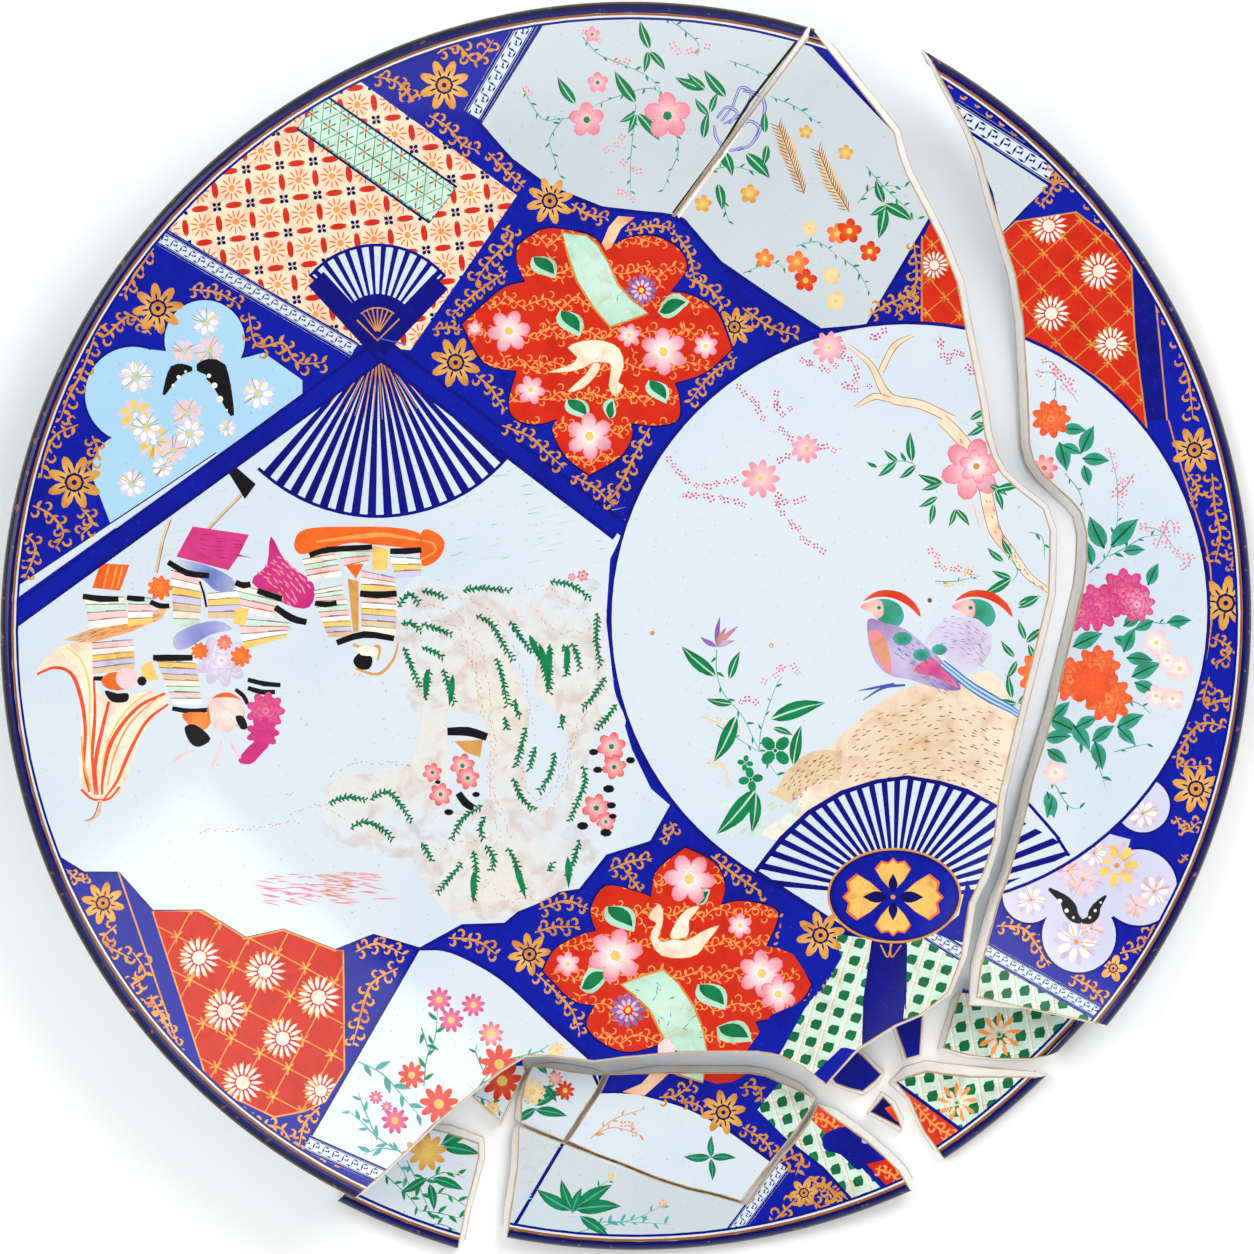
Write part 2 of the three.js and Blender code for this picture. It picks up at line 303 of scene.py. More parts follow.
def back_height(radius):
    """The underside with its foot ring."""
    steps = [0, FOOT_INNER, FOOT_INNER + FOOT_EDGE / 2, FOOT_INNER + FOOT_EDGE,
             FOOT_OUTER - FOOT_EDGE, FOOT_OUTER - FOOT_EDGE / 2, FOOT_OUTER]
    levels = [BASE_HEIGHT, BASE_HEIGHT, FOOT_EDGE, 0, 0, FOOT_EDGE, float(wall_back(FOOT_OUTER))]
    return np.where(radius < FOOT_OUTER, np.interp(radius, steps, levels), wall_back(radius))


def back_slope(radius):
    """How steeply the back of the wall rises at a radius."""
    rise = (RIM_HEIGHT - WELL_HEIGHT) * WALL_CURVE * wall_share(radius) ** (WALL_CURVE - 1)
    return (rise + WELL_THICKNESS - RIM_THICKNESS) / (PLATE_RADIUS - WELL_RADIUS)


class Placement:
    """Where the whole dish would stand if one shard kept its place in it."""

    def __init__(self, centre, azimuth=0.0, seat=None):
        side = math.radians(azimuth)
        tilt = math.atan(back_slope(seat)) if seat else 0.0
        lift = seat * math.sin(tilt) - float(wall_back(seat)) * math.cos(tilt) if seat else 0.0
        outward = np.array([math.cos(side), math.sin(side), 0.0])
        hinge = np.array([-math.sin(side), math.cos(side), 0.0])
        up = np.array([0.0, 0.0, 1.0])
        self.turn = (
            np.outer(outward * math.cos(tilt) - up * math.sin(tilt), outward)
            + np.outer(hinge, hinge)
            + np.outer(outward * math.sin(tilt) + up * math.cos(tilt), up)
        )
        self.origin = np.array([centre[0], centre[1], lift])

    def to_dish(self, points):
        """Table places in the frame of the shard's own dish."""
        return (points - self.origin) @ self.turn

    def to_table(self, points):
        """Places of the dish, laid down with the shard on the table."""
        return points @ self.turn.T + self.origin

    def drape(self, flat, height_of):
        """Lifts points of the table plan onto a face of the dish."""
        points = np.column_stack([flat, np.zeros(len(flat))])
        for _ in range(14):
            local = self.to_dish(points)
            radius = np.minimum(np.hypot(local[:, 0], local[:, 1]), PLATE_RADIUS)
            points[:, 2] += height_of(radius) - local[:, 2]
        return points

    def glaze_normals(self, points):
        """Which way the glaze faces at each place."""
        local = self.to_dish(points)
        radius = np.maximum(np.hypot(local[:, 0], local[:, 1]), 1e-6)
        slope = (glaze_height(radius + 0.5) - glaze_height(radius - 0.5))
        normals = np.column_stack([-slope * local[:, 0] / radius, -slope * local[:, 1] / radius,
                                   np.ones(len(local))])
        normals /= np.linalg.norm(normals, axis=1)[:, None]
        return normals @ self.turn.T

    def within_lip(self, points, height_of):
        """Moves points that lie past the lip back to where it starts."""
        local = self.to_dish(points)
        radius = np.hypot(local[:, 0], local[:, 1])
        past = radius > LIP_START
        local[past, :2] *= (LIP_START / radius[past])[:, None]
        local[past, 2] = height_of(LIP_START)
        return self.to_table(local)


def unit(vectors):
    """Each row made one long."""
    return vectors / np.maximum(np.linalg.norm(vectors, axis=-1, keepdims=True), 1e-9)


def outward_at(line, index, closed):
    """The plan direction out of the shard at a corner of its break."""
    last = len(line) - 1
    before = line[index - 1] if index > 0 else line[last - 1 if closed else 0]
    after = line[index + 1] if index < last else line[1 if closed else last]
    outward = np.array([after[1] - before[1], before[0] - after[0]])
    return outward / np.linalg.norm(outward)


def break_samples(line, closed, seed):
    """A break in short steps that wander a little: its glaze edge, and the foot of its broken face."""
    edges, feet = [], []
    for index in range(len(line) - 1):
        start, end = np.array(line[index][:2], float), np.array(line[index + 1][:2], float)
        foot_start = start + outward_at(line, index, closed) * line[index][2]
        foot_end = end + outward_at(line, index + 1, closed) * line[index + 1][2]
        length = np.linalg.norm(end - start)
        across = np.array([end[1] - start[1], start[0] - end[0]]) / length
        steps = max(1, round(length / BREAK_STEP))
        for step in range(steps + (index == len(line) - 2 and not closed)):
            share = step / steps
            place = start * (1 - share) + end * share
            wander = abs(noise(Vector((*place * 0.45, seed)))) + 0.6 * abs(noise(Vector((*place * 1.3,
                seed))))
            edges.append(place - across * wander * JAG)
            feet.append(foot_start * (1 - share) + foot_end * share)
    return np.array(edges), np.array(feet)


def clipped(values, radius):
    """The samples inside the lip, with one more at each end where the line crosses into it."""
    inside = np.flatnonzero(radius < LIP_START)
    first, last = inside[0], inside[-1]
    parts = [values[first:last + 1]]
    for end, beyond, front in ((first, first - 1, True), (last, last + 1, False)):
        if not 0 <= beyond < len(values):
            continue
        share = (LIP_START - radius[end]) / (radius[beyond] - radius[end])
        cross = (values[end] * (1 - share) + values[beyond] * share)[None]
        parts = [cross, *parts] if front else [*parts, cross]
    return np.vstack(parts)


def rim_end(place, crossing, inner):
    """The angle at which a break reaches the rim, and how far it runs along the lip as it crosses it."""
    local, before = place.to_dish(np.array([crossing, inner]))
    angle = math.atan2(local[1], local[0])
    radial = np.array([math.cos(angle), math.sin(angle)])
    tangent = np.array([-radial[1], radial[0]])
    heading = (local - before)[:2]
    skew = LIP_RADIUS * heading @ tangent / max(heading @ radial, 1e-3)
    return angle, float(np.clip(skew, -MOST_SKEW, MOST_SKEW))


def rim_samples(place, start, end):
    """Places round the lip between two breaks, each with the direction in which the lip stands out."""
    (angle, skew), (last, last_skew) = start, end
    sweep = (last - angle) % math.tau
    near = (max(skew, 0) + 0.3) / LIP_START
    far = sweep - (max(-last_skew, 0) + 0.3) / LIP_START
    steps = max(2, math.ceil((far - near) / RIM_STEP))
    turns = [0.2 / LIP_START, *np.linspace(near, far, steps + 1), sweep - 0.2 / LIP_START]
    leans = [skew, *[0.0] * (steps + 1), last_skew]
    spots, ways = [], []
    for turn, lean in zip(turns, leans):
        radial = np.array([math.cos(angle + turn), math.sin(angle + turn), 0.0])
        tangent = np.array([-radial[1], radial[0], 0.0])
        spots.append(radial * LIP_START)
        ways.append(radial + tangent * lean / LIP_RADIUS)
    spots = np.array(spots)
    up = np.array([0.0, 0.0, 1.0])
    top = place.to_table(spots + up * glaze_height(LIP_START))
    foot = place.to_table(spots + up * wall_back(LIP_START))
    return top, foot, np.array(ways) @ place.turn.T


def outline_of(shard, place):
    """The shard's outline: glaze edge, foot, the way out of the shard, and which samples are rim."""
    breaks = shard["breaks"]
    lines = []
    closed = all(np.hypot(*(np.array(p[:2]) - shard["centre"])) < LIP_START for p in breaks[0])
    for index, points in enumerate(breaks):
        line = points + points[:1] if closed else points
        edges, feet = break_samples(line, closed, shard["seed"] + index)
        local = place.to_dish(place.drape(edges, glaze_height))
        radius = np.hypot(local[:, 0], local[:, 1])
        edges, feet = clipped(np.hstack([edges, feet]), radius).reshape(-1, 2, 2).transpose(1, 0, 2)
        moved = np.linalg.norm(np.diff(edges, axis=0, prepend=edges[:1] + 9), axis=1) > 0.05
        top, foot = place.drape(edges[moved], glaze_height), place.drape(feet[moved], back_height)
        lines.append((top, place.within_lip(foot, wall_back)))
    tops, foots, ways, rim = [], [], [], []
    for index, (top, foot) in enumerate(lines):
        nearby = np.vstack([top[-1:], top, top[:1]]) if closed else np.vstack([top[:1], top, top[-1:]])
        along = nearby[2:] - nearby[:-2]
        tops.append(top)
        foots.append(foot)
        ways.append(unit(np.column_stack([along[:, 1], -along[:, 0], np.zeros(len(along))])))
        rim += [False] * len(top)
        if closed:
            continue
        follower = lines[(index + 1) % len(lines)][0]
        start, end = rim_end(place, top[-1], top[-3]), rim_end(place, follower[0], follower[2])
        for held, found in zip((tops, foots, ways), rim_samples(place, start, end)):
            held.append(found)
        rim += [True] * len(tops[-1])
    return np.vstack(tops), np.vstack(foots), np.vstack(ways), np.array(rim)




# ---------------------------------------------------------------------------------------------
# Paint. A pot is a kind of surface with a colour, and a canvas is a stack of painted areas.
# ---------------------------------------------------------------------------------------------
KINDS = ("glaze", "cobalt", "enamel", "gold", "fracture", "bare", "lip")
POTS = {
    "white": ("glaze", (213, 222, 230)),
    "grey_white": ("glaze", (200, 209, 213)),
    "ground": ("cobalt", (4, 22, 156)),
    "line": ("cobalt", (4, 10, 124)),
    "night": ("cobalt", (3, 5, 88)),
    "wash": ("cobalt", (86, 110, 190)),
    "gold": ("gold", (214, 146, 56)),
    "pale_gold": ("gold", (240, 190, 96)),
    "gold_brown": ("enamel", (150, 92, 34)),
    "red": ("enamel", (206, 40, 14)),
    "orange": ("enamel", (236, 104, 34)),
    "light_orange": ("enamel", (246, 158, 84)),
    "cream": ("enamel", (250, 222, 192)),
    "cream_light": ("enamel", (252, 238, 220)),
    "green": ("enamel", (14, 138, 84)),
    "dark_green": ("enamel", (6, 92, 52)),
    "pale_green": ("enamel", (176, 222, 196)),
    "mint": ("enamel", (206, 234, 218)),
    "pink": ("enamel", (232, 138, 158)),
    "pale_pink": ("enamel", (244, 204, 206)),
    "magenta": ("enamel", (208, 58, 132)),
    "purple": ("enamel", (142, 104, 172)),
    "lilac": ("enamel", (206, 198, 228)),
    "yellow": ("enamel", (238, 204, 110)),
    "sky": ("glaze", (172, 212, 236)),
    "cloud": ("glaze", (214, 210, 232)),
    "tan": ("enamel", (222, 198, 164)),
    "brown": ("enamel", (122, 78, 40)),
    "black": ("enamel", (14, 12, 16)),
    "petal_white": ("enamel", (250, 244, 240)),
    "teal": ("enamel", (78, 168, 160)),
    "edge": ("enamel", (196, 160, 112)),
    "grey_mist": ("enamel", (196, 204, 198)),
    "tan_mist": ("enamel", (226, 222, 212)),
    "rust": ("enamel", (214, 140, 110)),
    "rose": ("enamel", (226, 96, 100)),
    "ochre": ("enamel", (212, 158, 84)),
    "tan_dark": ("enamel", (176, 142, 98)),
    "orange_red": ("enamel", (230, 84, 48)),
    "deep_pink": ("enamel", (190, 36, 112)),
}


def linear(colour):
    """A colour of 0 to 255 in the scene's own linear light."""
    share = np.asarray(colour, float) / 255
    return np.where(share <= 0.04045, share / 12.92, ((share + 0.055) / 1.055) ** 2.4)


def smooth(points, closed=False, steps=5):
    """A rounded line through the points."""
    known = np.array(points, float)
    count = len(known)
    found = []
    for index in range(count if closed else count - 1):
        near = [known[(index + k) % count] if closed else known[min(max(index + k, 0), count - 1)]
                for k in (-1, 0, 1, 2)]
        for step in range(steps):
            t = step / steps
            found.append(0.5 * (2 * near[1] + (near[2] - near[0]) * t
                                + (2 * near[0] - 5 * near[1] + 4 * near[2] - near[3]) * t * t
                                + (3 * near[1] - near[0] - 3 * near[2] + near[3]) * t ** 3))
    if not closed:
        found.append(known[-1])
    return np.array(found)


def thinned(points, slack=0.08):
    """A closed outline without the places that hardly bend it."""
    for _ in range(3):
        ahead, behind = np.roll(points, -1, 0), np.roll(points, 1, 0)
        span = ahead - behind
        offset = points - behind
        away = np.abs(span[:, 0] * offset[:, 1] - span[:, 1] * offset[:, 0])
        needed = away > slack * np.maximum(np.linalg.norm(span, axis=1), 1e-6)
        needed[::2] = True
        if needed.sum() < 4:
            break
        points = np.roll(points[needed], 1, 0)
    return points


def ring(x, y, radius, count=24, tall=1.0, turn=0.0):
    """An ellipse as an outline."""
    angles = np.arange(count) * math.tau / count
    flat = np.column_stack([np.cos(angles) * radius, np.sin(angles) * radius * tall])
    return spun(flat, turn) + (x, y)


def spun(points, degrees):
    """The points turned about the origin."""
    angle = math.radians(degrees)
    turn = np.array([[math.cos(angle), math.sin(angle)], [-math.sin(angle), math.cos(angle)]])
    return np.asarray(points, float) @ turn


def arc(x, y, radius, start, end, count=16):
    """Points along part of a circle."""
    angles = np.radians(np.linspace(start, end, count))
    return np.column_stack([x + radius * np.cos(angles), y + radius * np.sin(angles)])


class Canvas:
    """Painted areas, later ones over earlier ones, some kept inside another area."""

    def __init__(self):
        self.areas = []
        self.inside = None

    def area(self, points, pot, rim_pot=None, heart=None):
        """Fills an outline. With rim_pot, the colour runs from pot at its heart to rim_pot at its edge."""
        points = thinned(np.asarray(points, float))
        turned = points[:, 0] @ np.roll(points[:, 1], -1) - points[:, 1] @ np.roll(points[:, 0], -1)
        points = points if turned > 0 else points[::-1]
        heart = points.mean(0) if heart is None else np.asarray(heart, float)
        reach = float(np.linalg.norm(points - heart, axis=1).max())
        self.areas.append((points, pot, rim_pot or pot, heart, reach, self.inside))
        return len(self.areas) - 1

    def keep_inside(self, area):
        """What is painted from now on shows only inside this area, or anywhere again if it is None."""
        self.inside = area

    def stroke(self, points, width, pot, taper=(1.0, 1.0), closed=False, rounded=True, steps=5):
        """A line of this width that may taper towards both ends."""
        line = smooth(points, closed, steps) if rounded else np.array(points, float)
        if closed:
            line = np.vstack([line, line[:1]])
        along = np.gradient(line, axis=0)
        if closed:
            along[0] = along[-1] = line[1] - line[-2]
        across = np.column_stack([-along[:, 1], along[:, 0]])
        across /= np.maximum(np.linalg.norm(across, axis=1), 1e-9)[:, None]
        share = np.linspace(0, 1, len(line))
        half = width / 2 * np.where(share < 0.5, taper[0] + (1 - taper[0]) * 2 * share,
                                    taper[1] + (1 - taper[1]) * 2 * (1 - share))
        left, right = line + across * half[:, None], line - across * half[:, None]
        if closed:
            middle = len(line) // 2
            for part in (slice(0, middle + 1), slice(middle, None)):
                self.area(np.vstack([left[part], right[part][::-1]]), pot)
        else:
            self.area(np.vstack([left, right[::-1]]), pot)

    def outlined(self, points, pot, line_pot, width, rim_pot=None):
        """A filled outline with a line round it."""
        found = self.area(points, pot, rim_pot)
        self.stroke(points, width, line_pot, closed=True, rounded=False)
        return found

    def leaf(self, x, y, heading, length, width, pot="green", rim_pot=None, vein=None, bend=0.15):
        """A pointed leaf that grows from x, y."""
        share = np.linspace(0, 1, 7)
        swell = np.sin(np.pi * share ** 0.8) * width / 2
        spine = np.column_stack([share * length, np.sin(share * np.pi / 2) * bend * length])
        outline = np.vstack([spine + np.column_stack([0 * share, swell]),
                             (spine - np.column_stack([0 * share, swell]))[::-1][1:-1]])
        self.area(spun(outline, heading) + (x, y), pot, rim_pot)
        if vein:
            self.stroke(spun(spine[::2], heading) + (x, y), width * 0.12, vein, (1, 0.2), rounded=False)

    def blossom(self, x, y, radius, petals, pot, rim_pot, heart_pot, turn=0.0, share=0.3, fat=0.95):
        """A flower of round petals seen from the front."""
        reach = radius * 0.58
        wide = math.sin(math.pi / petals) * reach * 2 * fat
        for petal in range(petals):
            angle = turn + 360 * petal / petals
            outline = spun(ring(reach, 0, radius - reach, 9, wide / 2 / (radius - reach)), angle) + (x, y)
            self.area(outline, rim_pot, pot, heart=spun([[radius * 0.2, 0]], angle)[0] + (x, y))
        self.area(ring(x, y, radius * share, 8), heart_pot)

    def polygons(self, faces):
        """Adds what a stencil returned: outlines with the pot that each is filled from."""
        for points, pot in faces:
            self.area(points, pot)


# ---------------------------------------------------------------------------------------------
# From a shard and its canvas to a mesh.
# ---------------------------------------------------------------------------------------------
def within(places, outline):
    """Which places lie inside an outline, even one that crosses itself."""
    x, y = places[:, :1], places[:, 1:]
    start, end = outline, np.roll(outline, -1, 0)
    side = (end[:, 0] - start[:, 0]) * (y - start[:, 1]) - (x - start[:, 0]) * (end[:, 1] - start[:, 1])
    rising = (start[:, 1] <= y) & (end[:, 1] > y) & (side > 0)
    falling = (start[:, 1] > y) & (end[:, 1] <= y) & (side < 0)
    return rising.sum(1) != falling.sum(1)


def divided(outline, places, edges, loops):
    """Triangles that fill a plan outline and keep to these edges and closed loops."""
    faces = [list(range(len(outline)))]
    places = [*outline, *places]
    for loop in loops:
        faces.append(list(range(len(places), len(places) + len(loop))))
        places += list(loop)
    found = delaunay_2d_cdt([Vector(place) for place in places], edges, faces, 1, 1e-4, True)
    flat, triangles = np.array([tuple(place) for place in found[0]]), np.array(found[2])
    middles = flat[triangles].mean(1)
    kept = within_many(middles, outline)
    triangles, middles = triangles[kept], middles[kept]
    order = np.argsort(middles[:, 0])
    return flat, triangles[order], middles[order]


def visible_edges(triangles, top, looks):
    """The edges that part two different looks."""
    owners = {}
    for number, trio in enumerate(triangles.tolist()):
        for start, end in ((0, 1), (1, 2), (2, 0)):
            pair = (min(trio[start], trio[end]), max(trio[start], trio[end]))
            owners.setdefault(pair, []).append(looks[top[number]])
    return [pair for pair, found in owners.items() if len(found) == 2 and found[0] != found[1]]


def painted_map(outline, canvas, steps=GRID_STEP):
    """Divides a plan outline along every visible painted edge: places, triangles,
        and the area on top of each."""
    low, high = outline.min(0), outline.max(0)
    shown = [number for number, entry in enumerate(canvas.areas)
             if (entry[0].min(0) < high).all() and (entry[0].max(0) > low).all()]
    flat, triangles, middles = divided(outline, [], [], [canvas.areas[number][0] for number in shown])
    top = topmost(canvas, shown, middles)
    looks = [entry[1] if entry[1] == entry[2] else str(number) for number,
        entry in enumerate(canvas.areas)] + ["bare"]
    edges = visible_edges(triangles, top, looks)
    ends = np.round(flat[np.array(edges, int).reshape(-1)] / SNAP) * SNAP
    spots, ends = np.unique(ends, axis=0, return_inverse=True)
    pairs = np.unique(ends.reshape(-1, 2), axis=0)
    pairs = pairs[pairs[:, 0] != pairs[:, 1]] + len(outline)
    grid = [(x, y) for row, y in enumerate(np.arange(low[1], high[1], steps))
            for x in np.arange(low[0] + steps * 0.5 * (row % 2), high[0], steps)]
    flat, triangles, middles = divided(outline, np.vstack([spots, grid]), pairs.tolist(), [])
    return flat, triangles, topmost(canvas, shown, middles)


def topmost(canvas, shown, middles):
    """The last area painted over each place, or -1. The places are in order from left to right."""
    top = np.full(len(middles), -1)
    masks = {entry[5] for entry in canvas.areas}
    covered = {}
    for number in shown:
        points, mask = canvas.areas[number][0], canvas.areas[number][5]
        first, last = np.searchsorted(middles[:, 0], (points[:, 0].min(), points[:, 0].max()))
        level = middles[first:last, 1]
        near = first + np.flatnonzero((level > points[:, 1].min()) & (level < points[:, 1].max()))
        near = near[within(middles[near], points)]
        if number in masks:
            covered[number] = np.zeros(len(top), bool)
            covered[number][near] = True
        if mask is not None:
            near = near[covered[mask][near]] if mask in covered else near[:0]
        top[near] = number
    return top


def within_many(places, outline):
    """within() for many places, in batches."""
    return np.concatenate([within(part, outline) for part in np.array_split(places,
        1 + len(places) // 4000)])


def corner_colours(flat, triangles, top, canvas, base):
    """A kind for each triangle and a colour for each of its corners."""
    kinds = np.zeros(len(top), int)
    colours = np.zeros((len(top), 3, 4))
    colours[..., 3] = 1.0
    kinds[:] = KINDS.index(POTS[base][0])
    colours[..., :3] = linear(POTS[base][1])
    for number in np.unique(top[top >= 0]):
        _, pot, rim_pot, heart, reach, _ = canvas.areas[number]
        chosen = top == number
        kinds[chosen] = KINDS.index(POTS[pot][0])
        near, far = linear(POTS[pot][1]), linear(POTS[rim_pot][1])
        if pot == rim_pot:
            colours[chosen, :, :3] = near
            continue
        away = np.linalg.norm(flat[triangles[chosen]] - heart, axis=2) / reach
        share = np.clip(away, 0, 1)[..., None]
        colours[chosen, :, :3] = near * (1 - share) + far * share
    return kinds, colours


class Builder:
    """Collects the triangles of one shard, with their kinds, colours, map places and normals."""

    def __init__(self):
        self.points, self.faces, self.kinds = [], [], []
        self.colours, self.uvs, self.normals = [], [], []
        self.count = 0

    def add(self, points, faces, kinds, colours, uvs, normals):
        """What goes with the triangles is given for each of their corners."""
        self.points.append(points)
        self.faces.append(np.asarray(faces) + self.count)
        self.kinds.append(np.asarray(kinds))
        self.colours.append(colours)
        self.uvs.append(uvs)
        self.normals.append(normals)
        self.count += len(points)

    def mesh(self, name):
        """Welds the parts along their shared edges and makes the mesh."""
        points, faces = np.vstack(self.points), np.vstack(self.faces)
        _, first, number = np.unique(np.round(points, 3), axis=0, return_index=True, return_inverse=True)
        faces = number.ravel()[faces]
        points = points[first]
        a, b, c = faces.T
        good = (a != b) & (b != c) & (a != c)
        used, faces = np.unique(faces[good], return_inverse=True)
        mesh = bpy.data.meshes.new(name)
        mesh.from_pydata(points[used] * MM, [], faces.reshape(-1, 3).tolist())
        mesh.polygons.foreach_set("material_index", np.concatenate(self.kinds)[good].astype(np.int32))
        paint = mesh.color_attributes.new("paint", "FLOAT_COLOR", "CORNER")
        paint.data.foreach_set("color", np.vstack(self.colours)[good].ravel())
        uv = mesh.uv_layers.new(name="OFBake")
        uv.uv.foreach_set("vector", np.vstack(self.uvs)[good].ravel())
        mesh.shade_smooth()
        mesh.normals_split_custom_set(np.vstack(self.normals)[good].reshape(-1, 3).tolist())
        mesh.update()
        return mesh


def side_rows(top, foot, outward, rim, seed):
    """Rows of points from the glazed edge down the broken face, or round the lip on a rim."""
    rows = []
    middle, half = (top + foot) / 2, (top - foot) / 2
    for row in range(SIDE_ROWS + 1):
        share = row / SIDE_ROWS
        turn = math.pi * (0.5 - share)
        lip = middle + half * math.sin(turn) + outward * LIP_RADIUS * math.cos(turn)
        level = top * (1 - share) + foot * share
        ripple = [CHIP * (noise(Vector(place * 0.16) + Vector((0, 0, seed))) - 0.25)
                  + CHIP * 0.35 * noise(Vector(place * 0.9) + Vector((0, seed, 0))) for place in level]
        face = level + outward * (np.array(ripple) * math.sin(math.pi * share))[:, None]
        rows.append(np.where(rim[:, None], lip, face))
    return np.array(rows)


def planar(points, low, size, corner, scale):
    """Where points of the plan go on the bake map."""
    return corner + (points - low) / size * scale


def trimmed(canvas, place, outline, outward, rim, worn):
    """The canvas with its rim lines, and the thin worn line that the glaze shows along every break."""
    edged = Canvas()
    edged.areas = list(canvas.areas)
    count = len(outline)
    for inner_edge, outer_edge, pot in RIM_LINES:
        for start in range(0, 360, 12):
            loops = []
            for radius in (inner_edge, outer_edge):
                spots = arc(0, 0, radius, start, start + 12, 9)
                spots = np.column_stack([spots, np.full(9, float(glaze_height(radius)))])
                loops.append(place.to_table(spots)[:, :2])
            edged.area(np.vstack([loops[0], loops[1][::-1]]), pot)
    for start in range(0, count, 12):
        run = [i % count for i in range(start, min(start + 12, count) + 1)]
        run = [i for i in run if not rim[i]]
        if len(run) > 1:
            inner = outline[run] - outward[run, :2] * worn
            edged.area(np.vstack([outline[run] + outward[run, :2] * 0.4, inner[::-1]]), "edge")
    return edged


def glazed_face(builder, place, outline, canvas, low, size):
    """The painted face, divided along its painting and laid over the dish."""
    flat, triangles, number = painted_map(outline, canvas)
    points = place.drape(flat, glaze_height)
    kinds, colours = corner_colours(flat, triangles, number, canvas, "ground")
    uvs = planar(flat, low, size, 0.005, 0.84)
    normals = place.glaze_normals(points)
    builder.add(points, triangles, kinds, colours, uvs[triangles], normals[triangles])


def broken_sides(builder, rows, rim):
    """The faces between the glaze and the back: broken porcelain, or the lip along the rim."""
    count = rows.shape[1]
    along = np.roll(rows, -1, 1) - np.roll(rows, 1, 1)
    normals = unit(np.cross(np.gradient(rows, axis=0), along))
    ring_length = np.linalg.norm(np.roll(rows[0], -1, 0) - rows[0], axis=1)
    run = np.append(0, np.cumsum(ring_length)) / ring_length.sum()
    faces, kinds, corners, sides = [], [], [], []
    for row in range(SIDE_ROWS):
        for index in range(count):
            after = (index + 1) % count
            quad = ((row, index), (row + 1, index), (row + 1, after), (row, after))
            kind = KINDS.index("lip" if rim[index] and rim[after] else "fracture")
            for trio in ((0, 1, 2), (0, 2, 3)):
                faces.append([quad[k][0] * count + quad[k][1] for k in trio])
                corners.append([quad[k][0] / SIDE_ROWS for k in trio])
                sides.append([run[index + (k > 1)] for k in trio])
                kinds.append(kind)
    corners, sides = np.array(corners), np.array(sides)
    colours = np.stack([corners, corners, corners, np.ones_like(corners)], -1)
    uvs = np.stack([0.87 + 0.12 * corners, 0.2 + 0.79 * sides], -1)
    builder.add(rows.reshape(-1, 3), faces, kinds, colours, uvs, normals.reshape(-1, 3)[faces])


def underside(builder, place, foot, low, size, standing):
    """The back. Its rings are meant to shape the foot, and each gives an edge only where looks part.

    painted_map drops an edge between two areas of one look, and these rings are all of one look, so
    the foot comes out uneven. Rings with looks of their own, or a map that keeps every edge, mend it.
    """
    rings = Canvas()
    steps = (0, FOOT_EDGE / 2, FOOT_EDGE)
    for radius in [FOOT_INNER + s for s in steps] + [FOOT_OUTER - s for s in steps] if standing else []:
        rings.area(ring(*place.origin[:2], radius, 160), "white")
    if standing:
        for start, end in BACK_RINGS:
            rings.area(ring(*place.origin[:2], start, 160), "white")
            rings.area(ring(*place.origin[:2], end, 160), "white")
    flat, triangles, _ = painted_map(foot[:, :2], rings, 9.0)
    points = place.drape(flat, back_height)
    middle = place.to_dish(points[triangles].mean(1))
    radius = np.hypot(middle[:, 0], middle[:, 1])
    bare = (radius > FOOT_INNER) & (radius < FOOT_OUTER) & (middle[:, 2] < BASE_HEIGHT / 2)
    kinds = np.where(bare, KINDS.index("bare"), KINDS.index("glaze"))
    colours = np.ones((len(triangles), 3, 4))
    colours[..., :3] = linear(POTS["white"][1])
    for start, end in BACK_RINGS:
        inked = (radius > start) & (radius < end)
        colours[inked, :, :3] = linear(POTS["line"][1])
    corners = points[triangles]
    flat_normals = unit(np.cross(corners[:, 2] - corners[:, 0], corners[:, 1] - corners[:, 0]))
    normals = np.repeat(flat_normals[:, None], 3, 1)
    slope = -place.glaze_normals(points)[triangles]
    smooth_wall = (np.abs((slope * normals).sum(-1)) > 0.985)[..., None]
    normals = np.where(smooth_wall, slope, normals)
    uvs = planar(flat, low, size, np.array([0.86, 0.005]), 0.13)[triangles]
    builder.add(points, triangles[:, ::-1], kinds, colours, uvs[:, ::-1], normals[:, ::-1])


def build_shard(shard, canvas, worn):
    """One shard as a mesh in millimetres of the dish's frame. Its worn glaze edge is this wide."""
    standing = not shard.get("seat")
    place = Placement(shard["centre"], shard.get("azimuth", 0.0), shard.get("seat"))
    top, foot, outward, rim = outline_of(shard, place)
    low, size = top[:, :2].min(0), float(np.ptp(top[:, :2], axis=0).max())
    builder = Builder()
    glazed_face(builder, place, top[:, :2], trimmed(canvas, place, top[:, :2], outward, rim, worn), low,
        size)
    broken_sides(builder, side_rows(top, foot, outward, rim, shard["seed"]), rim)
    underside(builder, place, foot, low, size, standing)
    return builder.mesh(shard["name"] + "_looks")




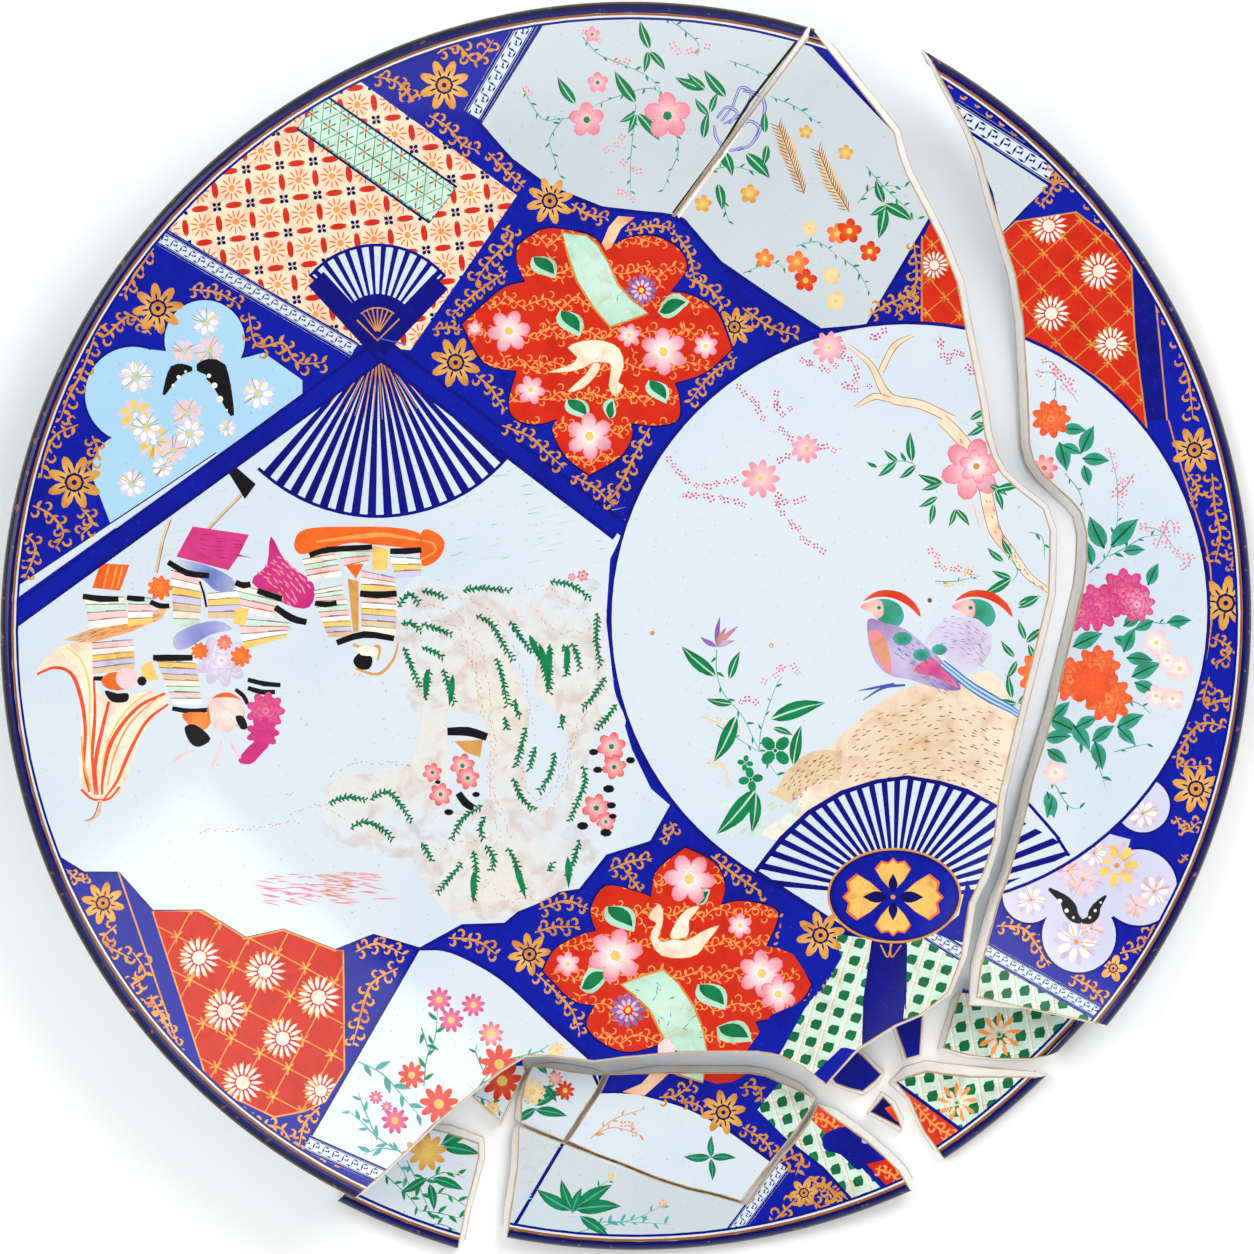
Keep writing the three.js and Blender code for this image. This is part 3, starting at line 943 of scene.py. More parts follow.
# ---------------------------------------------------------------------------------------------
# Node trees.
# ---------------------------------------------------------------------------------------------
class Value:
    """An output socket that can be used in sums."""

    def __init__(self, graph, socket):
        self.graph, self.socket = graph, socket

    def other(self, name):
        return Value(self.graph, self.socket.node.outputs[name])

    def maths(self, operation, *numbers):
        return self.graph.add("ShaderNodeMath", {"operation": operation}, dict(enumerate(numbers)))

    def __add__(self, number):
        return self.maths("ADD", self, number)

    def __sub__(self, number):
        return self.maths("SUBTRACT", self, number)

    def __rsub__(self, number):
        return self.maths("SUBTRACT", number, self)

    def __mul__(self, number):
        return self.maths("MULTIPLY", self, number)

    def __truediv__(self, number):
        return self.maths("DIVIDE", self, number)

    __radd__ = __add__
    __rmul__ = __mul__

    def band(self, low, high):
        """0 below low, 1 above high, and smooth between."""
        sockets = {"Value": self, "From Min": low, "From Max": high}
        return self.graph.add("ShaderNodeMapRange", {"interpolation_type": "SMOOTHSTEP"}, sockets)


class Graph:
    """A node tree being written."""

    def __init__(self, tree):
        self.tree = tree
        self.tree.nodes.clear()

    def node(self, kind, settings=None, sockets=None):
        made = self.tree.nodes.new(kind)
        for name, value in (settings or {}).items():
            setattr(made, name, value)
        for name, value in (sockets or {}).items():
            if isinstance(value, Value):
                self.tree.links.new(value.socket, made.inputs[name])
            else:
                made.inputs[name].default_value = value
        return made

    def add(self, kind, settings=None, sockets=None):
        return Value(self, self.node(kind, settings, sockets).outputs[0])

    def mix(self, share, first, second, blend="MIX"):
        """Mixes two colours."""
        made = self.node("ShaderNodeMix", {"data_type": "RGBA", "blend_type": blend})
        for place, value in ((0, share), (6, first), (7, second)):
            if isinstance(value, Value):
                self.tree.links.new(value.socket, made.inputs[place])
            else:
                made.inputs[place].default_value = value
        return Value(self, made.outputs[2])

    def noise(self, coords, scale, detail=3.0, rough=0.5, stretch=0.0):
        sockets = {"Vector": coords, "Scale": scale, "Detail": detail, "Roughness": rough,
            "Distortion": stretch}
        return self.add("ShaderNodeTexNoise", {"noise_dimensions": "3D"}, sockets)


def shade(colour, alpha=1.0):
    """A colour as a shader takes it."""
    return (*linear(colour), alpha)


def glazed(name, dip, mottle, mottle_scale, roughness, shine, metallic=0.0, relief=0.0, lift=None):
    """A fired surface whose colour is the paint on it, darkened by dip and varied by mottle."""
    material = bpy.data.materials.new(name)
    material.use_nodes = True
    graph = Graph(material.node_tree)
    coords = graph.add("ShaderNodeTexCoord").other("Object")
    paint = graph.add("ShaderNodeAttribute", {"attribute_name": "paint"})
    broad = graph.noise(coords, mottle_scale, 4.0, 0.55, 0.6)
    fine = graph.noise(coords, mottle_scale * 9, 3.0, 0.6)
    amount = broad.band(0.42, 0.72) * mottle
    colour = graph.mix(amount, paint, graph.mix(1.0, paint, shade(dip), "MULTIPLY"))
    if lift:
        colour = graph.mix(fine.band(0.55, 0.75) * lift[1], colour, shade(lift[0]))
    speck = graph.noise(coords, 900.0, 1.0).band(0.735, 0.76) * 0.35
    colour = graph.mix(speck, colour, shade((96, 70, 48)))
    rough = fine * 0.05 + roughness
    sockets = {"Base Color": colour, "Roughness": rough, "Metallic": metallic, "IOR": 1.5,
               "Specular IOR Level": shine}
    height = graph.noise(coords, 220.0, 2.0) * 0.25 + graph.noise(coords, 34.0, 2.0)
    sockets["Normal"] = graph.add("ShaderNodeBump", {}, {"Strength": 0.06 + relief, "Distance": 0.0002,
                                                         "Height": height})
    shader = graph.add("ShaderNodeBsdfPrincipled", {}, sockets)
    graph.node("ShaderNodeOutputMaterial", {}, {"Surface": shader})
    return material


def broken_face(name, body, edge_brown, roughness):
    """Bare broken porcelain, turning brown towards where it meets the glaze on either face."""
    material = bpy.data.materials.new(name)
    material.use_nodes = True
    graph = Graph(material.node_tree)
    coords = graph.add("ShaderNodeTexCoord").other("Object")
    depth = graph.add("ShaderNodeAttribute", {"attribute_name": "paint"}).other("Fac")
    wander = (graph.noise(coords, 60.0, 3.0) - 0.5) * 0.22
    edge = (depth + wander).band(0.16, 0.02) + (depth + wander).band(0.84, 0.99)
    grain = graph.noise(coords, 700.0, 4.0, 0.6)
    colour = graph.mix(grain.band(0.4, 0.7) * 0.35, shade(body), shade((236, 228, 214)))
    colour = graph.mix(graph.noise(coords, 45.0, 3.0).band(0.55, 0.75) * 0.35, colour, shade((226, 208,
        178)))
    # The broken face turns brown along both of its edges, where the glaze meets it.
    colour = graph.mix(edge * 0.75, colour, shade(edge_brown))
    height = grain * 0.4 + graph.noise(coords, 130.0, 3.0)
    bump = graph.add("ShaderNodeBump", {}, {"Strength": 0.5, "Distance": 0.0004, "Height": height})
    sockets = {"Base Color": colour, "Roughness": roughness, "Normal": bump}
    graph.node("ShaderNodeOutputMaterial", {}, {"Surface": graph.add("ShaderNodeBsdfPrincipled", {},
        sockets)})
    return material


def bare_foot(name):
    """The unglazed ring that the dish stands on, worn and a little dirty."""
    material = bpy.data.materials.new(name)
    material.use_nodes = True
    graph = Graph(material.node_tree)
    coords = graph.add("ShaderNodeTexCoord").other("Object")
    grain = graph.noise(coords, 800.0, 4.0, 0.7)
    dirt = graph.noise(coords, 30.0, 4.0)
    colour = graph.mix(dirt.band(0.45, 0.7) * 0.6, shade((232, 222, 204)), shade((168, 144, 112)))
    colour = graph.mix(grain.band(0.6, 0.75) * 0.4, colour, shade((120, 98, 74)))
    bump = graph.add("ShaderNodeBump", {}, {"Strength": 0.6, "Distance": 0.0004, "Height": grain})
    sockets = {"Base Color": colour, "Roughness": 0.85, "Normal": bump}
    graph.node("ShaderNodeOutputMaterial", {}, {"Surface": graph.add("ShaderNodeBsdfPrincipled", {},
        sockets)})
    return material


def lip_glaze(name):
    """The rim's edge: blue on top, then near black round the lip's outer curve as painted shade, then an
    iron-brown dressing, then plain glaze underneath.
    """
    material = bpy.data.materials.new(name)
    material.use_nodes = True
    graph = Graph(material.node_tree)
    coords = graph.add("ShaderNodeTexCoord").other("Object")
    depth = graph.add("ShaderNodeAttribute", {"attribute_name": "paint"}).other("Fac")
    depth = depth + (graph.noise(coords, 70.0, 3.0) - 0.5) * 0.1
    # Painted shade: just below the top, the lip's outer curve turns near black, as if in shadow.
    colour = graph.mix(depth.band(0.12, 0.2), shade(POTS["night"][1]), shade((28, 16, 14)))
    colour = graph.mix(depth.band(0.5, 0.66), colour, shade((96, 60, 34)))
    colour = graph.mix(depth.band(0.72, 0.82), colour, shade(POTS["white"][1]))
    worn = graph.noise(coords, 260.0, 3.0).band(0.62, 0.72) * 0.5
    colour = graph.mix(worn, colour, shade((170, 120, 66)))
    sockets = {"Base Color": colour, "Roughness": 0.16}
    graph.node("ShaderNodeOutputMaterial", {}, {"Surface": graph.add("ShaderNodeBsdfPrincipled", {},
        sockets)})
    return material


def finishes():
    """One material for each kind of surface, in the order of KINDS."""
    return [
        glazed("clear glaze", (230, 238, 246), 0.5, 9.0, 0.07, 0.4),
        glazed("cobalt under glaze", (130, 140, 205), 0.7, 26.0, 0.07, 0.16, lift=((10, 60, 200), 0.16)),
        glazed("enamel", (232, 206, 196), 0.7, 130.0, 0.2, 0.18, relief=0.12),
        glazed("gold", (214, 170, 120), 0.7, 150.0, 0.3, 0.4, metallic=0.2, relief=0.12),
        broken_face("broken porcelain", (252, 249, 243), (148, 108, 64), 0.62),
        bare_foot("bare foot ring"),
        lip_glaze("dressed lip with painted shade"),
    ]


class Stencil:
    """A geometry tree that repeats a motif. Its faces come back as outlines with pots of paint."""

    def __init__(self, name, numbers, pots):
        self.tree = bpy.data.node_groups.new(name, "GeometryNodeTree")
        self.graph = Graph(self.tree)
        sockets = self.tree.interface
        sockets.new_socket("Geometry", in_out="INPUT", socket_type="NodeSocketGeometry")
        sockets.new_socket("Geometry", in_out="OUTPUT", socket_type="NodeSocketGeometry")
        self.names = {}
        for label, kind in numbers.items():
            made = sockets.new_socket(label, in_out="INPUT", socket_type="NodeSocket" + kind)
            self.names[label] = made.identifier
        self.whole = {label for label, kind in numbers.items() if kind == "Int"}
        for label in pots:
            made = sockets.new_socket(label, in_out="INPUT", socket_type="NodeSocketMaterial")
            self.names[label] = made.identifier
        self.given = self.graph.add("NodeGroupInput")

    def get(self, label):
        return self.given.other(label)

    def repeated(self, points, motif, pot, turn, size):
        """The motif on every point, made real and filled from a pot."""
        rotation = self.graph.add("ShaderNodeCombineXYZ", {}, {"Z": turn})
        placed = self.graph.add("GeometryNodeInstanceOnPoints", {}, {
            "Points": points, "Instance": motif, "Rotation": rotation, "Scale": size})
        real = self.graph.add("GeometryNodeRealizeInstances", {}, {"Geometry": placed})
        return self.graph.add("GeometryNodeSetMaterial", {}, {"Geometry": real, "Material": self.get(pot)})

    def oval(self, corners, long, wide, away):
        """A flat filled oval, moved out along X."""
        disc = self.graph.add("GeometryNodeMeshCircle", {"fill_type": "NGON"}, {"Vertices": corners,
            "Radius": 0.5})
        scale = self.graph.add("ShaderNodeCombineXYZ", {}, {"X": long, "Y": wide, "Z": 1.0})
        place = self.graph.add("ShaderNodeCombineXYZ", {}, {"X": away})
        return self.graph.add("GeometryNodeTransform", {}, {"Geometry": disc, "Scale": scale,
            "Translation": place})

    def finish(self, *parts):
        joined = self.graph.node("GeometryNodeJoinGeometry")
        for part in parts:
            self.tree.links.new(part.socket, joined.inputs[0])
        self.graph.node("NodeGroupOutput", {}, {"Geometry": Value(self.graph, joined.outputs[0])})
        return self

    def named(self, label, kind="FLOAT"):
        return self.graph.add("GeometryNodeInputNamedAttribute", {"data_type": kind}, {"Name": label})

    def stamp(self, spots, pots, **numbers):
        """Runs the tree on spots of (x, y, size, turn in degrees)."""
        mesh = bpy.data.meshes.new("spots")
        mesh.from_pydata([(spot[0], spot[1], 0) for spot in spots], [], [])
        for label, column in (("size", 2), ("turn", 3)):
            values = [math.radians(s[3]) if column == 3 else s[2] for s in spots]
            mesh.attributes.new(label, "FLOAT", "POINT").data.foreach_set("value", values)
        holder = bpy.data.objects.new("stencil", mesh)
        bpy.context.scene.collection.objects.link(holder)
        modifier = holder.modifiers.new("repeat", "NODES")
        modifier.node_group = self.tree
        for label, value in numbers.items():
            title = label.replace("_", " ").title()
            modifier[self.names[title]] = int(value) if title in self.whole else float(value)
        for label, pot in pots.items():
            modifier[self.names[label]] = pot_material(pot)
        done = holder.evaluated_get(bpy.context.evaluated_depsgraph_get())
        result = bpy.data.meshes.new_from_object(done)
        faces = []
        for face in result.polygons:
            points = np.array([result.vertices[v].co[:2] for v in face.vertices])
            faces.append((points, result.materials[face.material_index].name))
        bpy.data.objects.remove(holder)
        bpy.data.meshes.remove(result)
        bpy.data.meshes.remove(mesh)
        return faces


def pot_material(name):
    """A pot of paint is a material with its name."""
    return bpy.data.materials.get(name) or bpy.data.materials.new(name)


def rosettes():
    """Flowers of round petals about a heart."""
    numbers = {"Petals": "Int", "Corners": "Int", "Reach": "Float", "Long": "Float", "Wide": "Float",
               "Heart": "Float"}
    stencil = Stencil("Rosettes", numbers, ("Petal Pot", "Heart Pot"))
    graph, get = stencil.graph, stencil.get
    index = graph.add("GeometryNodeInputIndex")
    wheel = graph.add("GeometryNodeMeshLine", {}, {"Count": get("Petals"), "Offset": (0, 0, 0)})
    turn = graph.add("ShaderNodeCombineXYZ", {}, {"Z": index * math.tau / get("Petals")})
    petal = stencil.oval(get("Corners"), get("Long"), get("Wide"), get("Reach"))
    petals = graph.add("GeometryNodeInstanceOnPoints", {}, {"Points": wheel, "Instance": petal,
        "Rotation": turn})
    heart = stencil.oval(8, get("Heart"), get("Heart"), 0.0)
    place = (get("Geometry"),)
    sized = (stencil.named("turn"), stencil.named("size"))
    return stencil.finish(stencil.repeated(*place, petals, "Petal Pot", *sized),
                          stencil.repeated(*place, heart, "Heart Pot", *sized))


def lattices():
    """Rows of one oval or lozenge, each turned the same way, round every spot."""
    numbers = {"Columns": "Int", "Rows": "Int", "Pitch X": "Float", "Pitch Y": "Float", "Corners": "Int",
               "Long": "Float", "Wide": "Float", "Lean": "Float"}
    stencil = Stencil("Lattices", numbers, ("Pot",))
    graph, get = stencil.graph, stencil.get
    grid = graph.add("GeometryNodeMeshGrid", {}, {
        "Size X": (get("Columns") - 1) * get("Pitch X"), "Size Y": (get("Rows") - 1) * get("Pitch Y"),
        "Vertices X": get("Columns"), "Vertices Y": get("Rows")})
    motif = stencil.oval(get("Corners"), get("Long"), get("Wide"), 0.0)
    turn = graph.add("ShaderNodeCombineXYZ", {}, {"Z": get("Lean")})
    sheet = graph.add("GeometryNodeInstanceOnPoints", {}, {"Points": grid, "Instance": motif,
        "Rotation": turn})
    return stencil.finish(stencil.repeated(get("Geometry"), sheet, "Pot", stencil.named("turn"),
                                           stencil.named("size")))


def rays():
    """Tapered bars that fan out from every spot."""
    numbers = {"Count": "Int", "Start": "Float", "Sweep": "Float", "Near": "Float", "Far": "Float",
               "Near Width": "Float", "Far Width": "Float"}
    stencil = Stencil("Rays", numbers, ("Pot",))
    graph, get = stencil.graph, stencil.get
    bar = graph.add("GeometryNodeMeshGrid", {}, {"Size X": 1.0, "Size Y": 1.0, "Vertices X": 2,
        "Vertices Y": 2})
    corner = graph.add("GeometryNodeInputPosition")
    split = graph.add("ShaderNodeSeparateXYZ", {}, {"Vector": corner})
    along = split + 0.5
    width = get("Near Width") + along * (get("Far Width") - get("Near Width"))
    place = graph.add("ShaderNodeCombineXYZ", {}, {
        "X": get("Near") + along * (get("Far") - get("Near")), "Y": split.other("Y") * width})
    shaped = graph.add("GeometryNodeSetPosition", {}, {"Geometry": bar, "Position": place})
    index = graph.add("GeometryNodeInputIndex")
    wheel = graph.add("GeometryNodeMeshLine", {}, {"Count": get("Count"), "Offset": (0, 0, 0)})
    turn = graph.add("ShaderNodeCombineXYZ", {}, {
        "Z": get("Start") + index * get("Sweep") / (get("Count") - 1)})
    fan = graph.add("GeometryNodeInstanceOnPoints", {}, {"Points": wheel, "Instance": shaped,
        "Rotation": turn})
    return stencil.finish(stencil.repeated(get("Geometry"), fan, "Pot", stencil.named("turn"),
                                           stencil.named("size")))


# ---------------------------------------------------------------------------------------------
# Motifs that the painting is made of.
# ---------------------------------------------------------------------------------------------
def unrolled(points, step):
    """Places a step apart along a rounded line, with the heading there in degrees."""
    line = smooth(points)
    lengths = np.linalg.norm(np.diff(line, axis=0), axis=1)
    run = np.append(0, np.cumsum(lengths))
    marks = np.arange(step / 2, run[-1], step)
    spots = np.column_stack([np.interp(marks, run, line[:, 0]), np.interp(marks, run, line[:, 1])])
    ahead = np.column_stack([np.interp(marks + 0.5, run, line[:, 0]), np.interp(marks + 0.5, run, line[:,
        1])])
    behind = np.column_stack([np.interp(marks - 0.5, run, line[:, 0]), np.interp(marks - 0.5, run, line[:,
        1])])
    return [(x, y, h) for (x, y), h in zip(spots, np.degrees(np.arctan2(*(ahead - behind).T[::-1])))]


def scatter(canvas, spots, petals, petal_pot, heart_pot, long=0.56, wide=0.4, reach=0.66, heart=0.4,
    corners=9):
    """Like flowers on spots of (x, y, radius, turn), petals first and hearts over them."""
    spots = [(*spot, 0) if len(spot) == 3 else spot for spot in spots]
    faces = cached(rosettes).stamp(
        spots, {"Petal Pot": petal_pot, "Heart Pot": heart_pot}, petals=petals, corners=corners,
        reach=reach, long=long, wide=wide, heart=heart)
    canvas.polygons(sorted(faces, key=lambda face: face[1] == heart_pot))


def lattice(canvas, x, y, turn, columns, rows, pitch, long, wide, lean, pot, corners=4):
    """Rows of one oval or lozenge."""
    canvas.polygons(cached(lattices).stamp(
        [(x, y, 1, turn)], {"Pot": pot}, columns=columns, rows=rows, pitch_x=pitch[0], pitch_y=pitch[1],
        corners=corners, long=long, wide=wide, lean=math.radians(lean)))


def ribs(canvas, x, y, start, sweep, count, near, far, near_width, far_width, pot):
    """The ribs of a fan."""
    canvas.polygons(cached(rays).stamp(
        [(x, y, 1, 0)], {"Pot": pot}, count=count, start=math.radians(start), sweep=math.radians(sweep),
        near=near, far=far, near_width=near_width, far_width=far_width))


def grid_spots(x, y, turn, columns, rows, pitch, size, shift=0.0):
    """Spots in rows, every other row shifted along."""
    spots = []
    for row in range(rows):
        for column in range(columns):
            flat = [((column - (columns - 1) / 2 + shift * (row % 2)) * pitch[0],
                (row - (rows - 1) / 2) * pitch[1])]
            place = spun(flat, turn)[0]
            spots.append((x + place[0], y + place[1], size, turn))
    return spots


def vine(canvas, points, seed, curl=3.0, pot="gold", width=0.95):
    """A gilt stem with hooked tendrils and small leaves to either side."""
    chance = random.Random(seed)
    canvas.stroke(points, width, pot, (0.5, 0.3), steps=4)
    for number, (x, y, heading) in enumerate(unrolled(points, curl * 0.95)):
        side = 1 if number % 2 else -1
        size = curl * chance.uniform(0.75, 1.1)
        angles = np.radians(heading - side * 60 + side * np.linspace(0, chance.uniform(190, 250), 6))
        radii = size * np.linspace(0.5, 0.34, 6)
        middle = np.array([x, y]) - radii[0] * np.array([math.cos(angles[0]), math.sin(angles[0])])
        middle = middle + spun([[size * 0.2, side * size * 0.25]], heading)[0]
        hook = middle + np.column_stack([np.cos(angles) * radii, np.sin(angles) * radii])
        canvas.stroke(hook, width * 1.15, pot, (0.7, 0.25), rounded=False)
        canvas.leaf(x, y, heading - side * chance.uniform(30, 70), size * 0.95, size * 0.42, pot)


def gilt_flower(canvas, x, y, radius, petals=7, turn=0.0):
    """A gold flower with veined petals and an inked heart."""
    canvas.blossom(x, y, radius, petals, "gold", "pale_gold", "night", turn, 0.36, 0.86)
    for petal in range(petals):
        angle = turn + 360 * petal / petals
        start = spun([[radius * 0.3, 0]], angle)[0] + (x, y)
        canvas.leaf(start[0], start[1], angle, radius * 0.34, radius * 0.08, "night", bend=0)
    canvas.area(ring(x, y, radius * 0.26, 10), "gold")
    canvas.area(ring(x, y, radius * 0.1, 7), "night")


def soft_blossom(canvas, x, y, radius, pot="pale_pink", heart="yellow", petals=5, turn=0.0, ink="pink"):
    """A pale open blossom with a darker line round each petal."""
    canvas.blossom(x, y, radius, petals, ink, ink, ink, turn, 0.3, 1.12)
    canvas.blossom(x, y, radius * 0.93, petals, ink, pot, heart, turn, 0.2, 1.02)


def peony(canvas, x, y, radius, pots, turn=0.0):
    """Rings of petals that darken towards their roots, one over another."""
    deep, pale = pots
    for ring_number, (share, petals) in enumerate(((1.0, 9), (0.8, 8), (0.58, 6), (0.36, 5))):
        canvas.blossom(x, y, radius * share, petals, deep, deep, deep, turn + 17 * ring_number, 0.4, 1.2)
        canvas.blossom(x, y, radius * share * 0.95, petals, deep, pale, deep, turn + 17 * ring_number,
            0.2, 1.05)


def crescent(canvas, x, y, radius, turn):
    """A green leaf lying on a paler one."""
    canvas.leaf(x, y, turn, radius * 2, radius * 1.5, "pale_green", bend=0.32)
    canvas.leaf(x + radius * 0.1, y, turn + 4, radius * 1.7, radius * 0.85, "green", "dark_green", bend=0.3)


def spray(canvas, points, seed, leaf=3.0, pot="green", stem="green", width=0.35, every=3.0, plump=0.34):
    """A thin stem with leaves at its sides."""
    chance = random.Random(seed)
    canvas.stroke(points, width, stem, (1.0, 0.4), steps=4)
    for number, (x, y, heading) in enumerate(unrolled(points, every)):
        side = 1 if number % 2 else -1
        length = leaf * chance.uniform(0.7, 1.15)
        canvas.leaf(x, y, heading + side * chance.uniform(30, 60), length, length * plump, pot, bend=0.1)


def twig(canvas, points, seed, pot="magenta", size=1.5, every=3.4, stem="tan", petals=4):
    """A thin twig with small blossoms along it."""
    chance = random.Random(seed)
    canvas.stroke(points, 0.3, stem, (1.0, 0.5), steps=4)
    spots = []
    for x, y, _ in unrolled(points, every):
        away = chance.uniform(0, 360)
        off = spun([[chance.uniform(0.2, 1.0) * size, 0]], away)[0]
        spots.append((x + off[0], y + off[1], size * chance.uniform(0.7, 1.1), away))
    scatter(canvas, spots, petals, pot, "yellow", wide=0.62, heart=0.22, corners=6)


def dashes(canvas, points, pot, length=1.3, gap=2.4, width=0.4, seed=0, wander=0.5):
    """Short broken strokes along a line."""
    chance = random.Random(seed)
    for x, y, heading in unrolled(points, gap):
        x, y = x + chance.uniform(-wander, wander), y + chance.uniform(-wander, wander)
        canvas.leaf(x, y, heading + chance.uniform(-12, 12), length * chance.uniform(0.6, 1.3), width,
            pot, bend=0)


def pines(canvas, points, seed, size=2.0, pot="dark_green", glow="green"):
    """A bough of needles: short dark strokes that stand out from a greener one."""
    chance = random.Random(seed)
    canvas.stroke(points, size * 0.62, glow, (0.5, 0.3), steps=3)
    for number, (x, y, heading) in enumerate(unrolled(points, size * 0.42)):
        side = 1 if number % 2 else -1
        canvas.leaf(x, y, heading + side * chance.uniform(35, 75), size * chance.uniform(0.7, 1.2),
                    size * 0.42, pot, bend=0)


def wisps(canvas, box, pot, count, seed, lean=0.0, length=6.0, width=0.25):
    """Faint level strokes scattered over a box of (left, bottom, right, top)."""
    chance = random.Random(seed)
    for _ in range(count):
        x, y = chance.uniform(box[0], box[2]), chance.uniform(box[1], box[3])
        canvas.leaf(x, y, lean + chance.uniform(-8, 8), length * chance.uniform(0.4, 1.2), width, pot,
            bend=0.02)


def fret(canvas, start, end, width):
    """A white band with a blue key pattern between ink lines."""
    start, end = np.array(start, float), np.array(end, float)
    along = end - start
    length = np.linalg.norm(along)
    across = np.array([-along[1], along[0]]) / length * width / 2
    band = canvas.area([start - across, end - across, end + across, start + across], "white")
    canvas.keep_inside(band)
    turn = math.degrees(math.atan2(along[1], along[0]))
    pitch = width * 0.62
    count = int(length / pitch) + 2
    middle = (start + end) / 2
    key = width * 0.5
    bar = width * 0.1
    for shift, lift, long, lean in ((0, 0, key, 90), (0.25, 0.22, pitch * 0.6, 0), (-0.25, -0.22,
        pitch * 0.6, 0),
                                    (0.5, 0.05, key * 0.5, 90), (0.3, 0.0, pitch * 0.4, 20)):
        x, y = middle + along / length * shift * pitch + across * 2 * lift
        lattice(canvas, x, y, turn, count, 1, (pitch, 1), long, bar, lean, "line")
    for lift, wide in ((0.86, 0.12), (-0.86, 0.12), (0.66, 0.045), (-0.66, 0.045)):
        canvas.stroke([start + across * lift, end + across * lift], width * wide, "line", rounded=False)
    canvas.keep_inside(None)


def gold_net(canvas, panel, x, y, turn, span, pitch, pot="gold"):
    """A gold net of crossing lines with a star in every mesh, kept inside a panel."""
    canvas.keep_inside(panel)
    count = int(span / pitch)
    for lean in (0, 90):
        canvas.polygons([(spun(face, lean + turn) + (x, y), name) for face, name in [
            (np.array([(-span / 2, s - 0.2), (span / 2, s - 0.2), (span / 2, s + 0.2), (-span / 2,
                s + 0.2)]), pot)
            for s in (np.arange(count) - (count - 1) / 2) * pitch]])
    spots = grid_spots(x, y, turn, count, count, (pitch, pitch), pitch * 0.24)
    scatter(canvas, spots, 5, "gold", "pale_gold", long=1.0, wide=0.26, reach=0.5, heart=0.3, corners=5)
    canvas.keep_inside(None)


def daisies(canvas, spots):
    """White many-petalled flowers with a gold ring of anthers."""
    scatter(canvas, [(x, y, size * 1.15) for x, y, size in spots], 16, "gold", "gold", 0.5, 0.1, 0.72,
        0.3, 5)
    scatter(canvas, spots, 15, "petal_white", "cream_light", 0.6, 0.17, 0.68, 0.72, 7)


def green_net(canvas, panel, x, y, turn, span, pitch=6.6):
    """White net with a green lozenge in every mesh, kept inside a panel."""
    canvas.keep_inside(panel)
    count = int(span / pitch)
    for lean in (0, 90):
        for lift, pot in ((0.0, "tan"), (0.6, "petal_white")):
            canvas.polygons([(spun(face, lean + turn) + (x, y), name) for face, name in [
                (np.array([(-span / 2, s), (span / 2, s), (span / 2, s + 0.35), (-span / 2, s + 0.35)]),
                    pot)
                for s in (np.arange(count) - (count - 1) / 2) * pitch + lift - 0.3]])
    green = [(px + pitch * 0.5, py) for px, py, _, _ in grid_spots(x, y, turn, count, count, (pitch,
        pitch), 1)]
    for gx, gy in green:
        canvas.area(spun([(-1.8, -1.7), (1.2, -1.9), (1.9, -0.2), (1.7, 1.9), (-1.0, 1.7), (-2.0, 0.5)],
            turn)
                    * (pitch / 6.6) + (gx, gy), "green", "dark_green")
    canvas.keep_inside(None)


def clover(canvas, x, y, wide, tall):
    """The gold four-lobed flower on the fan's hub."""
    for turn, reach in ((0, wide), (90, tall), (180, wide), (270, tall)):
        petal = np.array([(0.12, 0), (0.45, -0.3), (0.72, -0.46), (0.92, -0.3), (0.88, -0.12), (1.0, 0),
                          (0.88, 0.12), (0.92, 0.3), (0.72, 0.46), (0.45, 0.3)]) * reach
        canvas.area(spun(petal * 1.04, turn) + (x, y), "orange")
        canvas.area(spun(petal * 0.96 + (reach * 0.02, 0), turn) + (x, y), "pale_gold")
        canvas.leaf(*(spun([[reach * 0.12, 0]], turn)[0] + (x, y)), turn, reach * 0.5, reach * 0.24,
            "night", bend=0)
    canvas.area(ring(x, y, 0.9, 8), "gold")


def striped(canvas, corners, pots, seed, bands=7):
    """A robe's panel: four corners, filled with uneven stripes from its first edge to its last."""
    chance = random.Random(seed)
    a, b, c, d = (np.array(corner, float) for corner in corners)
    for number in range(bands):
        low, high = number / bands, (number + 1) / bands
        left, right = a + (d - a) * low, b + (c - b) * low
        far_left, far_right = a + (d - a) * high, b + (c - b) * high
        pot = pots[number % len(pots)]
        canvas.area([left, right, far_right, far_left], pot)
        share = chance.uniform(0.15, 0.6)
        ink = chance.choice(("orange", "teal", "brown", "wash", "pale_green"))
        line = [left + (right - left) * share, left + (right - left) * 0.96]
        canvas.stroke(np.array(line) + (0, 0.3), 0.45, ink, (0.6, 0.3), rounded=False)
        canvas.stroke([left, right], 0.3, "brown", (1, 0.6), rounded=False)


def sash(canvas, points, width, pot="black"):
    """A robe's dark sash."""
    canvas.stroke(points, width, pot, (0.85, 0.85), steps=3)


def lobed(canvas, lobes, pot, others=()):
    """A cloud panel of round lobes, with an ink line round it."""
    for grow, fill in ((0.9, "line"), (0.0, pot)):
        for x, y, radius in lobes:
            canvas.area(ring(x, y, radius + grow, 44), fill)
        for points in others:
            canvas.area(points, pot)


ROBES = ("cream_light", "mint", "pale_pink", "petal_white", "yellow", "lilac", "tan")


